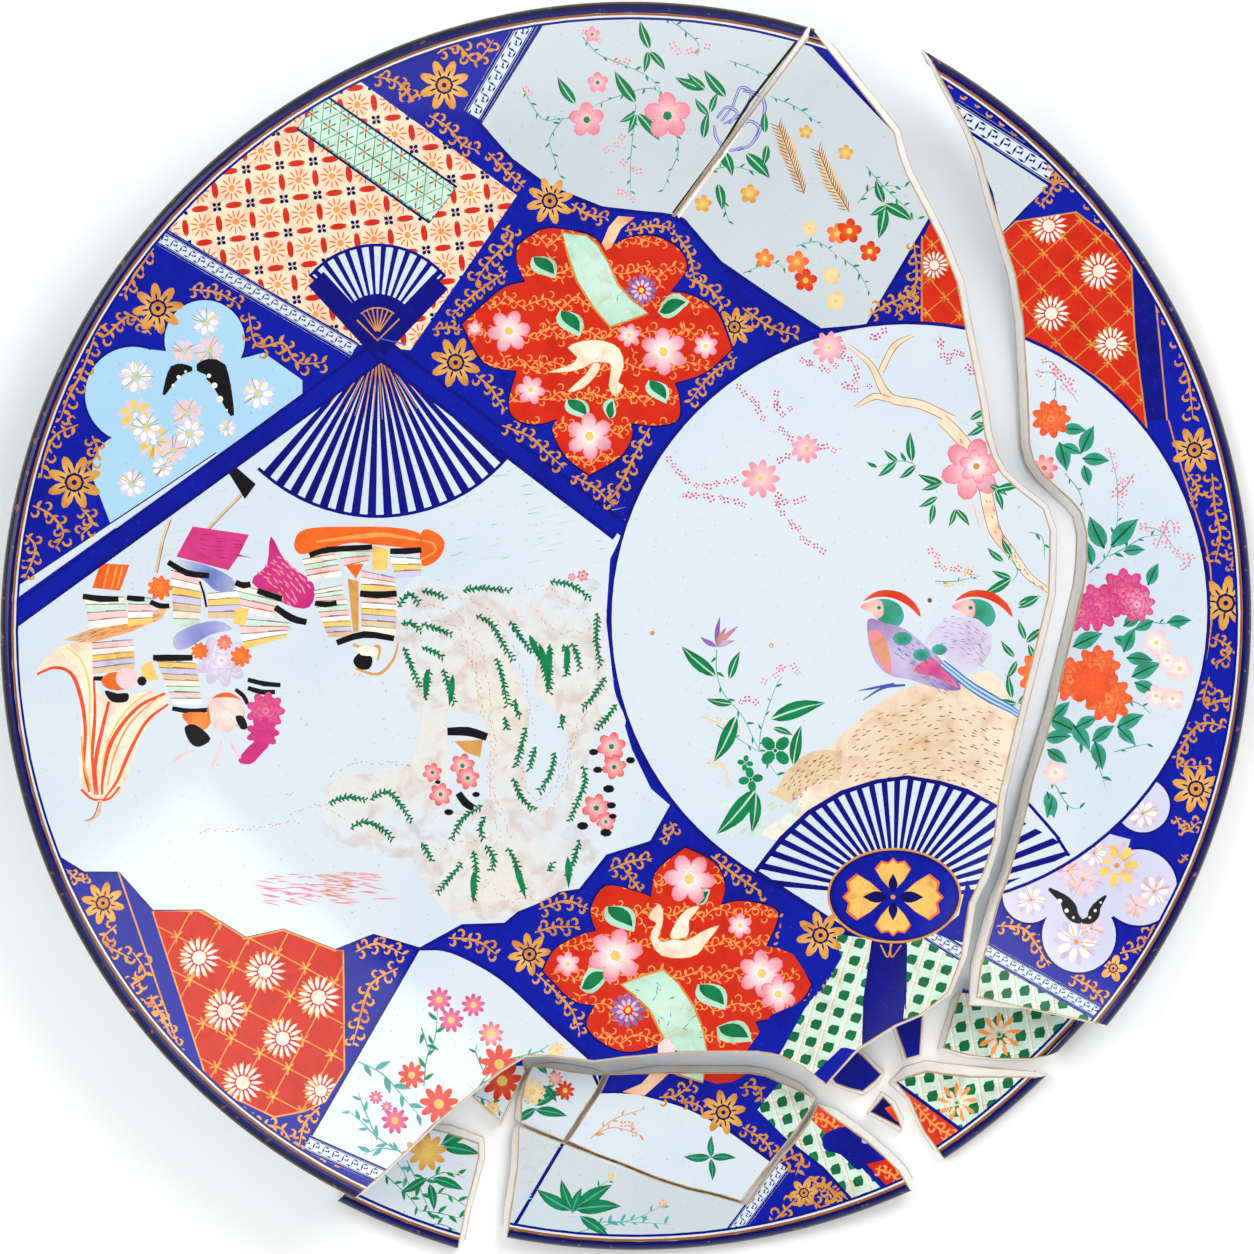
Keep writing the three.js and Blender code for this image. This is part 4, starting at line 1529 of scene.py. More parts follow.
# ---------------------------------------------------------------------------------------------
# The painting on the largest shard.
# ---------------------------------------------------------------------------------------------
def paint_diaper(canvas):
    """Orange and red diaper on the upper left, with a green strip laid across it."""
    panel = canvas.area([(-101, 202.5), (-41.5, 159.5), (-80.5, 103), (-99, 105), (-170, 147.5), (-197,
        143), (-156.5, 209)], "cream")
    canvas.keep_inside(panel)
    pitch, turn = 12.3, 7
    x, y = -126.5, 158
    half = spun([[pitch / 2, 0], [0, pitch / 2]], turn)
    scatter(canvas, grid_spots(*(half.sum(0) + (x, y)), turn, 13, 13, (pitch, pitch), pitch * 0.4),
            11, "orange", "light_orange", 0.62, 0.12, 0.62, 0.5, 6)
    lattice(canvas, x + half[0][0], y + half[0][1], turn, 13, 13, (pitch, pitch), 6.6, 2.4, 0, "red", 9)
    lattice(canvas, x + half[1][0], y + half[1][1], turn, 13, 13, (pitch, pitch), 6.6, 2.4, 90, "red", 9)
    nodes = grid_spots(x, y, turn, 13, 13, (pitch, pitch), 4)
    scatter(canvas, nodes, 8, "pale_green", "pale_green", 0.8, 0.1, 0.6, 0.2, 4)
    scatter(canvas, [(a, b, 2, t + 45) for a, b, _, t in nodes], 4, "night", "red", 0.85, 0.75, 0.6, 0.3, 6)
    canvas.keep_inside(None)
    strip = canvas.area([(-112.5, 196.5), (-121.5, 183.5), (-73.5, 149.5), (-63.5, 162.5)], "mint")
    canvas.keep_inside(strip)
    for turn in (-35.3, 24, 84):
        lattice(canvas, -94, 173, turn, 1, 21, (1, 6.6), 94.9, 0.35, 0, "green")
    stars = grid_spots(-94, 173, -35.3, 12, 5, (7.8, 6.6), 2.2, 0.5)
    scatter(canvas, stars, 6, "green", "orange", 1.1, 0.3, 0.8, 0.62, 5)
    canvas.keep_inside(None)
    canvas.stroke([(-112.5, 196.5), (-121.5, 183.5), (-73.5, 149.5), (-63.5, 162.5)], 0.9, "night",
        closed=True, rounded=False)


def paint_fans_above(canvas):
    """The two blue and white fans and the thick bars that cross at their pivot."""
    x, y = -92.5, 105
    canvas.area(np.vstack([[(x, y)], arc(x, y, 63.2, 226, 321, 40)]), "white")
    ribs(canvas, x, y, 229.5, 88, 17, 4, 63.2, 0.9, 3.2, "line")
    canvas.stroke(arc(x, y, 62.8, 226, 321, 40), 1.2, "line", rounded=False)
    ribs(canvas, x, y, 231, 85, 13, 2, 27.4, 0.8, 0.25, "gold")
    bar_end, right_end = (-228, 3.5), (-4, 37)
    across = unit(np.array([[-0.59, 0.81]]))[0]
    near = np.array([-148.5, 61.5]) + across * 4
    far = np.array([-228, 3.5]) + across * 4.7
    canvas.area([near, far, far + across * 4, near + across * 1.1], "white")
    canvas.stroke([near + across * 0.9, far + across * 4], 0.5, "line", rounded=False)
    canvas.stroke([bar_end, (-91.5, 103)], 8, "line", rounded=False)
    canvas.stroke([bar_end, (-91.5, 103)], 5.8, "ground", rounded=False)
    canvas.stroke([right_end, (-93, 105)], 8.4, "line", rounded=False)
    canvas.stroke([right_end, (-93, 105)], 5.5, "ground", rounded=False)
    x, y = -92.5, 109
    canvas.area(np.vstack([[(x, y)], arc(x, y, 32.9, 40, 140, 36)]), "line")
    canvas.area(np.vstack([arc(x, y, 31.8, 42, 138, 36), arc(x, y, 14.6, 42, 138, 20)[::-1]]), "white")
    ribs(canvas, x, y, 45, 90, 12, 13.1, 32.1, 0.9, 2.0, "line")
    canvas.stroke([(-91.5, 103.5), (-115, 129)], 7.7, "line", rounded=False)
    canvas.stroke([(-93, 103.5), (-69.5, 128)], 7.7, "line", rounded=False)
    canvas.stroke(arc(x, y, 9.5, 50, 130, 12), 0.5, "gold", rounded=False)
    ribs(canvas, x, y, 54, 72, 7, 1, 9.5, 0.5, 0.5, "gold")
    canvas.stroke([(-100, 114), (-92.5, 106.5), (-84.5, 114.5)], 0.6, "gold", rounded=False)
    canvas.stroke([(-92.5, 107.5), (-82, 105)], 0.5, "wash", rounded=False)


def paint_top_panel(canvas):
    """The white fan-shaped panel of flowers that the crack runs through."""
    shape = [(-30.5, 224.5), (-10.5, 227.5), (18.5, 226.5), (40.5, 223.5), (60.5, 217), (63.5, 217),
        (96.5, 182.5), (109.5, 151), (86.5, 112), (69.5, 110.5), (53.5, 121), (33, 135), (22.5, 147),
        (15.5, 152), (-10.5, 155), (-30.5, 163), (-43.5, 172.5), (-55, 185.5)]
    canvas.outlined(shape, "grey_white", "line", 1.2)
    canvas.stroke([(-55, 185.5), (-43.5, 172.5), (-30.5, 163), (-10.5, 155), (15.5, 152), (22.5, 147),
        (33, 135), (53.5, 121), (69.5, 110.5)], 1.3, "line")
    for points, seed in (([(-39.5, 198.5), (-32.5, 187.5), (-25.5, 187.5), (-15.5, 187.5)], 1), ([(-24.5,
        187.5), (-29.5, 180), (-27.5, 172), (-25.5, 166)], 2),
                         ([(-17.5, 217), (-12, 211), (-4, 207.5), (8, 201.5), (15.5, 189.5)], 3), ([(15.5,
                             189.5), (8, 198.5), (-10, 193.5), (-17.5, 189.5)], 4),
                         ([(11.5, 225), (17.5, 221), (24.5, 215), (24.5, 210)], 5), ([(2, 192.5), (1,
                             182), (0, 172), (0, 158.5)], 6),
                         ([(15.5, 187.5), (17.5, 176), (14.5, 168), (11.5, 160.5)], 7), ([(36, 208.5),
                             (44, 205.5), (51, 202.5)], 8)):
        spray(canvas, points, seed, 2.4, "green", "teal", 0.35, 4.2)
    for x, y, heading, length in ((-20, 192.5, 115, 12), (2, 193, 115, 14), (7, 212.5, 100, 11),
                                  (6.5, 212, 250, 8), (7, 212, 300, 9), (27.5, 198, 150, 12),
                                  (35, 195, 120, 13), (2, 189.5, 200, 7), (2.5, 189.5, 300, 13),
                                  (2, 189.5, 240, 8), (28.5, 188.5, 120, 8), (29, 189.5, 60, 8),
                                  (26.5, 180, 70, 10), (27.5, 198, 130, 9), (36, 169, 110, 8)):
        canvas.leaf(x, y, heading, length, length * 0.32, "green", "dark_green", "pale_green")
    for x, y, size in ((13.5, 188.5, 8.8), (-16, 187, 6.6), (-12, 200.5, 4), (-14, 218, 2.9)):
        soft_blossom(canvas, x, y, size, heart="green", turn=20)
    for points, seed in (([(15.5, 215), (19.5, 211), (27.5, 213)], 11), ([(-9, 175), (-5, 178), (-2,
        180)], 12),
                         ([(-4, 171), (1, 169), (5, 166)], 13), ([(-6, 159.5), (-2, 160.5), (2, 158.5)],
                             14),
                         ([(-39, 199.5), (-38, 196.5), (-37, 194.5)], 15), ([(-17.5, 219), (-13.5, 216),
                             (-10, 214)], 16),
                         ([(-5, 209), (-2, 207.5), (0, 206.5)], 17)):
        twig(canvas, points, seed, "pink", 1.5, 3.0)
    for a, b, c in (([(33, 186.5), (37, 191.5), (40, 198.5), (44, 196.5), (41, 189.5), (34,
        185.5)],) + (0.8, "wash"),
                    ([(39, 176), (44, 178), (47, 184), (43, 186.5), (40, 183)],) + (0.9, "wash"),
                    ([(30.5, 185), (31.5, 180), (36, 176), (41, 177)],) + (0.8, "wash"),
                    ([(41, 197.5), (46, 196.5), (49, 192.5), (48, 185.5), (46, 180)],) + (0.9, "wash"),
                    ([(31.5, 187.5), (35, 191.5), (39, 189.5), (36, 185.5)],) + (0.8, "wash")):
        canvas.stroke(a, b * 1.5, c, (0.7, 0.7))
        canvas.stroke(a, b * 0.6, "lilac", (0.5, 0.5))
    for spine in ([(54, 185), (57.5, 176), (63.5, 160)], [(68.5, 176), (73.5, 164), (80, 153.5)]):
        feathered = unrolled(spine, 1.5)
        canvas.stroke(spine, 6.5, "tan", (0.3, 0.1))
        for x, y, heading in feathered:
            for side in (-1, 1):
                canvas.leaf(x, y, heading + side * 140, 4.2, 0.35, "brown", bend=0.1)
        canvas.stroke(spine, 0.35, "brown", rounded=False)
    for points, seed in (([(51, 195.5), (60.5, 191.5), (70.5, 184)], 21), ([(27.5, 168), (37, 170), (49,
        167)], 22),
                         ([(33, 162.5), (34, 156.5), (36, 149.5)], 23), ([(60.5, 141), (68.5, 142.5), (76,
                             137)], 24),
                         ([(77, 137), (83, 132), (88, 123)], 25), ([(86, 170), (92.5, 162.5), (105.5,
                             150.5)], 26),
                         ([(83, 156.5), (89, 162.5), (100.5, 162.5)], 27), ([(41, 131), (51, 135), (56.5,
                             133)], 28)):
        spray(canvas, points, seed, 2.6, "green", "teal", 0.35, 3.6)
    for x, y, size, pot, rim in ((26.5, 156.5, 3.3, "gold", "yellow"), (43.5, 160, 3.7, "gold", "yellow"),
                                 (64, 182.5, 2.6, "gold", "yellow"), (49, 136.5, 3.7, "orange",
                                     "light_orange"),
                                 (61, 135, 4.4, "orange", "light_orange"), (64, 128.5, 4.4, "red",
                                     "orange"),
                                 (75.5, 145.5, 4, "orange", "light_orange"), (80, 146.5, 4.7, "red",
                                     "orange"),
                                 (87.5, 139, 4, "red", "orange"), (65.5, 147.5, 2.9, "yellow", "cream"),
                                 (73.5, 130, 3.3, "yellow", "cream"), (75, 121, 3.7, "yellow", "cream"),
                                 (78.5, 175, 2.9, "gold", "yellow")):
        canvas.blossom(x, y, size, 5, pot, rim, "yellow", 10, 0.24, 1.1)
    for x, y, heading, length in ((92.5, 156.5, 100, 9), (93, 155.5, 250, 12), (92.5, 156.5, 320, 12),
                                  (93.5, 155.5, 200, 7), (34, 176, 280, 10), (42, 175, 305, 13),
                                  (32, 164, 270, 10), (49, 182, 80, 8), (50, 178, 250, 8)):
        canvas.leaf(x, y, heading, length, length * 0.36, "green", "dark_green", "pale_green")


def paint_landscape(canvas):
    """The wide white panel with robed figures, a striped lily, cliffs and pines."""
    canvas.area([(-229.5, -1.5), (-94, 98.5), (-69, 84.5), (-3.5, 35), (-7.5, 26.5), (-9, 4.5), (-6, -21),
        (0.5, -43), (7.5, -57.5), (14.5, -63.5), (7.5, -77), (-8.5, -82), (-18.5, -94.5), (-34, -97),
        (-46, -107), (-61.5, -107.5), (-77, -116), (-94, -111), (-108, -116.5), (-127, -109), (-140.5,
        -112), (-156.5, -102), (-174.5, -102), (-187, -88), (-199.5, -88), (-211.5, -80.5), (-222.5,
        -61.5)], "white")
    ink = [(-211.5, -80.5), (-199.5, -88), (-187, -88), (-174.5, -102), (-156.5, -102), (-140.5, -112),
        (-127, -109), (-108, -116.5), (-94, -111), (-77, -116), (-61.5, -107.5), (-46, -107), (-34, -97),
        (-18.5, -94.5), (-8.5, -82), (7.5, -77), (15, -63.5)]
    canvas.stroke(ink, 1.2, "line", rounded=False)
    wisps(canvas, (-175, 26.5, -138.5, 55.5), "grey_mist", 26, 31, 12)
    wisps(canvas, (-69, 26.5, -10.5, 59), "teal", 18, 32, 12, 7)
    wisps(canvas, (-69, 24.5, -7, 48), "grey_mist", 34, 33, 12, 8)
    wisps(canvas, (-138.5, -99.5, -94.5, -87.5), "pink", 70, 34, -8, 9, 0.5)
    wisps(canvas, (-120, -98, -103.5, -89), "rust", 40, 35, -8, 6, 0.45)
    paint_cliffs(canvas)
    paint_lily(canvas)
    paint_figures(canvas)


def paint_cliffs(canvas):
    """Pale cliffs drawn in fine broken lines, hung with pines and blossom."""
    land = ("tan_mist", "white")
    canvas.area(smooth([(-83, 15), (-71, 13), (-69.5, -76), (-109.5, -76), (-111.5, -63.5), (-109.5,
        -53.5), (-83, -49.5), (-77, -33), (-83, -10.5)], True), land[0], land[1])
    canvas.area(smooth([(-85, 13), (-60.5, 17), (-44, 15), (-29.5, 18.5), (-13.5, 19.5), (-9, 10), (-9,
        -10.5), (-5, -24.5), (-2, -34), (-13.5, -38), (-17.5, -69.5), (-21.5, -76), (-82, -76), (-88,
        -64.5), (-55, -63.5), (-53, -35), (-62.5, -29), (-82, -26.5)], True), land[0], land[1])
    canvas.area(smooth([(-76.5, -76), (-13.5, -76), (-21.5, -91.5), (-39, -101.5), (-56.5, -105.5),
        (-70.5, -99.5)], True), land[0], land[1])
    canvas.area(smooth([(-44, 3), (-34.5, -5.5), (-35, -20.5), (-29.5, -26.5), (-23.5, -36), (-21.5,
        -49.5), (-27.5, -61.5), (-34.5, -63.5), (-38, -57.5), (-39, -45), (-37, -32), (-40, -20.5), (-44,
        -8.5)], True), "white")
    for points, seed in (([(-76.5, 10), (-64.5, 7), (-55, -5.5), (-52, -20.5), (-51, -40), (-52, -59.5),
        (-47, -75)], 41),
                         ([(-76.5, 6), (-63.5, 1), (-57.5, -10.5), (-54, -28), (-49, -40), (-51, -54.5),
                             (-44, -75)], 42),
                         ([(-65.5, 14), (-51, 7), (-43, -6.5), (-38, -20.5), (-36, -33)], 43),
                         ([(-38, 15), (-33.5, 17), (-25.5, 13), (-17.5, 7), (-12.5, 0)], 44),
                         ([(-8, -20.5), (-15.5, -28), (-21.5, -40), (-25.5, -52.5), (-33.5, -61.5), (-38,
                             -57.5), (-40, -47)], 45),
                         ([(-6, -16.5), (-13.5, -23.5), (-18.5, -33), (-21.5, -43), (-23.5, -54.5),
                             (-29.5, -65.5), (-39, -65.5)], 46),
                         ([(-76.5, -82), (-66.5, -78), (-51, -76)], 47), ([(-58.5, -101.5), (-53, -91.5),
                             (-44, -98.5), (-35, -95.5)], 48),
                         ([(-70.5, -1), (-61.5, -5.5), (-56.5, -16.5), (-55, -30)], 49), ([(-35, 9),
                             (-27.5, 0), (-13.5, 1)], 50),
                         ([(-110.5, -53.5), (-102.5, -49), (-91, -48), (-81, -49)], 51), ([(-126, -66.5),
                             (-112.5, -63.5), (-104.5, -69.5)], 52),
                         ([(-129, -58.5), (-127, -59.5), (-124, -58.5)], 53), ([(-159, -73), (-141.5,
                             -72), (-122, -69.5)], 54)):
        dashes(canvas, points, "rust" if seed % 3 == 0 else "ochre", 1.3, 1.5, 0.38, seed, 0.7)
    boughs = ([(-61.5, 15), (-55, 16), (-44, 15)], [(-29.5, 18.5), (-21.5, 17), (-14.5, 12)], [(-76.5, 3),
        (-70.5, 1), (-65.5, -1)],
              [(-56.5, 6), (-51, 3), (-47, -4), (-43, -10.5)], [(-44, 4), (-41, -1), (-36, -7.5)], [(-36,
                  -3), (-32.5, -10.5), (-29.5, -22.5)],
              [(-29.5, -4.5), (-29.5, -12.5), (-29.5, -20.5)], [(-24.5, -4.5), (-23, -10.5), (-23.5,
                  -16.5)], [(-21.5, -4), (-19.5, -8.5), (-18.5, -13.5)],
              [(-12, 7), (-12.5, -3), (-11, -12.5)], [(-49, -9.5), (-47, -16.5), (-45, -27)], [(-42,
                  -24.5), (-42, -28), (-40.5, -31)],
              [(-9, -16.5), (-13.5, -23.5), (-17.5, -28)], [(-5, -26.5), (-9, -32), (-12.5, -36)], [(-38,
                  -35), (-40, -42), (-42, -49.5)],
              [(-34.5, -42), (-36, -46), (-37, -50.5)], [(-27.5, -44), (-29.5, -52.5), (-33.5, -58.5)],
                  [(-43, -53.5), (-40, -60.5), (-35, -65.5)],
              [(-17.5, -49), (-16.5, -54.5), (-19.5, -62.5), (-22.5, -69.5)], [(-76.5, -5.5), (-71.5,
                  -7.5), (-68.5, -9.5)], [(-73.5, -13.5), (-74.5, -18.5), (-75, -24.5)],
              [(-68.5, -13.5), (-66.5, -20.5), (-64.5, -26.5)], [(-54, -63.5), (-61.5, -68.5), (-65.5,
                  -76)], [(-53, -67.5), (-55, -72), (-54, -76)],
              [(-110.5, -62.5), (-103.5, -60.5), (-96.5, -61.5)], [(-95.5, -61.5), (-89, -58.5), (-84,
                  -63.5), (-80, -69.5)],
              [(-102.5, -72), (-97.5, -69.5), (-91, -72), (-87, -76)], [(-83, -5.5), (-81, -10.5), (-77,
                  -20.5)],
              [(-85, 9), (-81, 14), (-77, 10)], [(-84, 3), (-80, 3), (-76.5, 0)], [(-76.5, 15), (-71.5,
                  14), (-67.5, 12)],
              [(-57.5, -80), (-56.5, -87.5), (-57.5, -97.5)], [(-53, -78), (-50, -83), (-51, -87.5)],
                  [(-45, -79), (-42, -84.5), (-39, -94.5)],
              [(-18.5, -76), (-20.5, -83), (-23, -89.5)], [(-61.5, -84.5), (-66.5, -90.5), (-70.5,
                  -95.5)], [(-30.5, -87.5), (-29.5, -86.5), (-28.5, -84.5)],
              [(-76.5, -77), (-74.5, -80), (-72.5, -84)], [(-25.5, -30), (-24.5, -32), (-25.5, -35)],
                  [(-46, -31), (-45.5, -34), (-45, -36)])
    for number, points in enumerate(boughs):
        pines(canvas, points, 60 + number, 1.9)
    for x, y, heading, length in ((-29.5, -4, 265, 19), (-23, -4.5, 265, 12), (-74.5, -13.5, 265, 12),
                                  (-65, -15.5, 262, 12), (-37, -1, 290, 10), (-33.5, -4, 285, 14),
                                  (-57.5, -87.5, 268, 12), (-42.5, -84, 285, 15), (-23, -82, 270, 12)):
        canvas.leaf(x, y, heading, length, 2.4, "green", "dark_green", bend=0.03)
    for x, y, size in ((-7, -42, 5.5), (-6, -49.5, 4.7), (-12.5, -64.5, 5.5), (-61.5, -49, 4.7),
                       (-59.5, -53.5, 4.4), (-69.5, -59.5, 4.4), (-72.5, -51.5, 3.7), (-9, -69.5, 3.7),
                       (-17.5, 20.5, 2.2), (-21.5, 20, 1.5)):
        soft_blossom(canvas, x, y, size, "pale_pink", "green", 6, 15, "rose")
    for x, y, size in ((-13.5, -44, 1.8), (-8, -57.5, 2.2), (0, -47, 1.8), (-12, -50.5, 1.8),
                       (-17.5, -71, 2.2), (-9, -73.5, 2.2), (-7, -63.5, 1.8), (-6.5, -67.5, 1.5),
                       (-66.5, -66, 1.8), (-70.5, -55, 1.1), (-56.5, -59.5, 1.5)):
        canvas.area(ring(x, y, size, 7, 0.7), "black")
    sash(canvas, [(-67, -36.5), (-59.5, -36.5), (-52.5, -38.5)], 3.4)
    canvas.area([(-64.5, -40), (-54, -39.5), (-55, -46), (-60.5, -44)], "ochre")
    sash(canvas, [(-63, -59), (-60.5, -62.5), (-57.5, -64.5)], 3)


def paint_lily(canvas):
    """The striped lily with a bent lip, hanging head down."""
    body = [(-217, -15), (-210, -6.5), (-197.5, -3), (-196.5, -10.5), (-194.5, -20.5), (-188.5, -24.5),
        (-175, -21.5), (-169, -25.5), (-177, -35), (-182.5, -49.5), (-186.5, -58.5), (-193.5, -62.5),
        (-199.5, -58.5), (-201.5, -49.5), (-200.5, -35), (-201.5, -22.5), (-206, -13.5), (-212, -12.5)]
    canvas.area(smooth(body, True, 3), "cream_light", "cream")
    for points, width, pot in (([(-216.5, -15.5), (-210, -13), (-204, -15.5), (-200.5, -24.5), (-199,
        -36), (-199.5, -49.5), (-197.5, -58.5)], 1.5, "orange_red"),
                               ([(-206, -5.5), (-200.5, -10.5), (-197.5, -20.5), (-197.5, -35), (-196.5,
                                   -49.5)], 0.8, "yellow"),
                               ([(-196, -16.5), (-195.5, -30), (-196.5, -45), (-195.5, -59.5)], 1.3,
                                   "orange_red"),
                               ([(-190.5, -25.5), (-193.5, -38), (-195.5, -49.5), (-194.5, -59.5)], 1.6,
                                   "orange_red"),
                               ([(-170, -22.5), (-180.5, -28), (-189.5, -40), (-192.5, -52.5), (-193,
                                   -59.5)], 1.6, "orange_red"),
                               ([(-169, -26.5), (-177, -33), (-183.5, -45), (-187.5, -54.5), (-192.5,
                                   -61.5)], 1.4, "orange_red"),
                               ([(-175, -21.5), (-183.5, -28), (-190.5, -39), (-193, -49.5)], 0.8,
                                   "yellow"),
                               ([(-172, -23.5), (-182.5, -33), (-188.5, -45), (-191, -56.5)], 0.8,
                                   "light_orange"),
                               ([(-200.5, -38), (-199.5, -49), (-196.5, -58.5)], 0.8, "light_orange")):
        canvas.stroke(points, width, pot, (0.6, 0.5))
    canvas.stroke([(-200.5, -57.5), (-196.5, -61), (-190.5, -61), (-186.5, -56.5)], 0.9, "orange_red")
    canvas.stroke([(-193.5, -61.5), (-194.5, -66.5), (-198.5, -69.5)], 1.6, "tan", (1, 0.5))
    canvas.stroke([(-194, -62), (-196, -67.5), (-199.5, -69)], 0.4, "brown", (1, 0.5))
    canvas.area([(-207.5, -3), (-186.5, 5), (-169, 9), (-171, 5), (-182.5, 0), (-196.5, -4)],
        "light_orange", "tan")
    for a in (0, 1, 2):
        dashes(canvas, [(-204, -2.5), (-190.5, 2), (-175, 6.5)] + np.array([(0, -1.2 * a)] * 3), "brown",
            5, 4, 0.25, 90 + a)


def paint_figures(canvas):
    """Robed figures seen upside down, with flags and a cushion, in loose blocks of pattern."""
    for points in ([(-147.5, 59), (-140.5, 52), (-154.5, 37.5)], [(-168.5, 41), (-171, 33.5), (-173.5,
        21.5)]):
        canvas.stroke(points, 1.2, "tan", rounded=False)
        canvas.stroke(np.array(points) + (0.6, 0), 0.3, "brown", rounded=False)
    canvas.area([(-147.5, 59), (-144.5, 60.5), (-137, 54), (-141, 48.5)], "black")
    canvas.area(smooth([(-123, 32.5), (-119, 37.5), (-102.5, 38.5), (-85, 38), (-76.5, 35.5), (-76.5,
        30.5), (-90, 31.5), (-102.5, 32.5), (-114, 29.5), (-121, 28.5)], True), "orange")
    canvas.stroke([(-115, 33), (-102.5, 34.5), (-90, 35.5), (-77, 33.5)], 1.8, "light_orange", (0.4, 0.4))
    canvas.area(smooth([(-76.5, 36.5), (-71.5, 36.5), (-68, 32.5), (-70.5, 26.5), (-76.5, 24.5)], True),
        "orange")
    canvas.stroke([(-76.5, 33.5), (-72.5, 32.5), (-71.5, 29.5), (-76.5, 26.5)], 1.0, "light_orange", (0.6,
        0.6))
    canvas.area([(-160, 38.5), (-139.5, 35.5), (-143.5, 27.5), (-147, 22.5), (-166, 27.5)], "magenta",
        "magenta")
    canvas.area(smooth([(-131.5, 35), (-126, 25.5), (-116, 17.5), (-117.5, 9), (-126, 10), (-138.5, 18),
        (-133, 24.5)], True, 3), "magenta", "deep_pink")
    for a in range(5):
        dashes(canvas, [(-161, 36), (-151.5, 34.5), (-141.5, 34)] + np.array([(0, -1.7 * a)] * 3),
            "deep_pink", 7, 6, 0.5, 95 + a)
    for a in range(6):
        dashes(canvas, [(-133, 26.5), (-127, 22.5), (-120, 14)] + np.array([(-1.6 * a + 3,
            -1.2 * a + 2)] * 3), "pink", 3, 2.5, 0.7, 200 + a)
    canvas.area([(-193.5, 25), (-183, 24.5), (-186.5, 15), (-196.5, 16)], "orange")
    for a in (400, 430, 450):
        canvas.stroke([(-190.5, 24), (-192.5, 16)] + np.array([((a - 400) * 0.1, 0)] * 2), 0.7,
            "light_orange", rounded=False)
    blocks = (
        ([(-199.5, 13), (-184.5, 12.5), (-183.5, 3), (-197.5, 1)], 4), ([(-183.5, 13), (-174, 12), (-175,
            3), (-183.5, 2)], 4),
        ([(-168, 22.5), (-156.5, 19.5), (-157.5, 2), (-167, 2)], 7), ([(-154.5, 14), (-143.5, 15),
            (-141.5, 5), (-154.5, 5)], 4),
        ([(-144.5, 17.5), (-127, 13), (-131, 5), (-141.5, 7)], 4), ([(-143.5, 5), (-124, 3), (-126, -2),
            (-141.5, -6.5)], 4),
        ([(-196.5, -4), (-181.5, -3), (-181, -13.5), (-196.5, -15.5)], 5), ([(-174, -8.5), (-159, -9.5),
            (-156.5, -26.5), (-167, -26.5)], 8),
        ([(-120, 26.5), (-107.5, 28.5), (-105.5, 20.5), (-118, 18.5)], 4), ([(-107.5, 29.5), (-94.5,
            29.5), (-96.5, 24.5), (-103.5, 21.5)], 3),
        ([(-98.5, 22.5), (-86, 19.5), (-86, 15), (-98.5, 15)], 3), ([(-88, 27.5), (-76.5, 26.5), (-76.5,
            20.5), (-86, 19.5)], 3),
        ([(-116, 15), (-105.5, 17), (-103.5, 10), (-114, 10)], 4), ([(-115, 9), (-103.5, 10), (-101.5,
            -2), (-110.5, -2)], 6),
        ([(-98.5, 13), (-85.5, 12), (-86, -1), (-98.5, 0)], 6))
    for number, (corners, bands) in enumerate(blocks):
        striped(canvas, corners, ROBES[number % 4:] + ROBES[:number % 4], 100 + number, bands)
    canvas.area([(-103.5, 19.5), (-99.5, 18.5), (-99.5, 0), (-101.5, 0)], "ochre")
    canvas.area([(-94.5, 31.5), (-88.5, 30.5), (-89, 22.5), (-94.5, 22.5)], "yellow")
    canvas.area([(-104.5, 24.5), (-97.5, 25), (-100.5, 19.5)], "orange")
    canvas.area(smooth([(-167, 26.5), (-155.5, 24.5), (-145.5, 19.5), (-145.5, 15), (-151.5, 15), (-155.5,
        18.5), (-161, 22.5)], True, 3), "wash", "white")
    canvas.area(smooth([(-167, -2), (-161, 2), (-151.5, 4), (-145.5, 1), (-153.5, -1), (-161, -5.5),
        (-166, -6.5)], True, 3), "wash", "lilac")
    canvas.area([(-144.5, 9), (-139.5, 8.5), (-141, 2), (-145.5, 3)], "yellow")
    canvas.area([(-179, -12.5), (-175, -10.5), (-172.5, -17.5), (-178, -18)], "yellow")
    for points, width in (([(-200, 13), (-193.5, 12), (-187, 12)], 3.2), ([(-184, 12.5), (-180.5, 12),
        (-177.5, 12)], 2.8),
                          ([(-175.5, 11), (-172, 9.5), (-168.5, 9.5)], 2.8), ([(-169, 25.5), (-162, 21.5),
                              (-154, 20.5)], 3.2),
                          ([(-144.5, 18), (-141.5, 17), (-139, 17.5)], 3.2), ([(-136.5, 15), (-132, 13.5),
                              (-127.5, 12)], 3.2),
                          ([(-130, 9), (-124, 5), (-118.5, 3.5)], 3.6), ([(-174.5, -9.5), (-167, -9.5),
                              (-160, -9.5)], 3.4),
                          ([(-167.5, -28), (-161, -29), (-154, -28.5)], 2.6), ([(-196, -17), (-192, -17),
                              (-188.5, -15.5)], 2.4),
                          ([(-140, -17.5), (-134, -19), (-128, -19.5)], 2.6), ([(-140, -20.5), (-135,
                              -22), (-130, -22)], 2.6),
                          ([(-117.5, 28), (-110.5, 30), (-94.5, 31)], 3.0), ([(-88, 29.5), (-82, 29.5),
                              (-76.5, 30)], 3.2),
                          ([(-99, 14), (-92.5, 13.5), (-85.5, 14)], 3.6), ([(-115.5, 10.5), (-111.5, 10),
                              (-107.5, 10.5)], 3.0),
                          ([(-107.5, -4), (-97.5, -1), (-86.5, -2.5)], 3.4), ([(-157.5, 18.5), (-156, 14),
                              (-155, 9)], 1.2),
                          ([(-144.5, -21), (-141.5, -23.5), (-140, -26.5)], 2.2)):
        sash(canvas, points, width * 0.75)
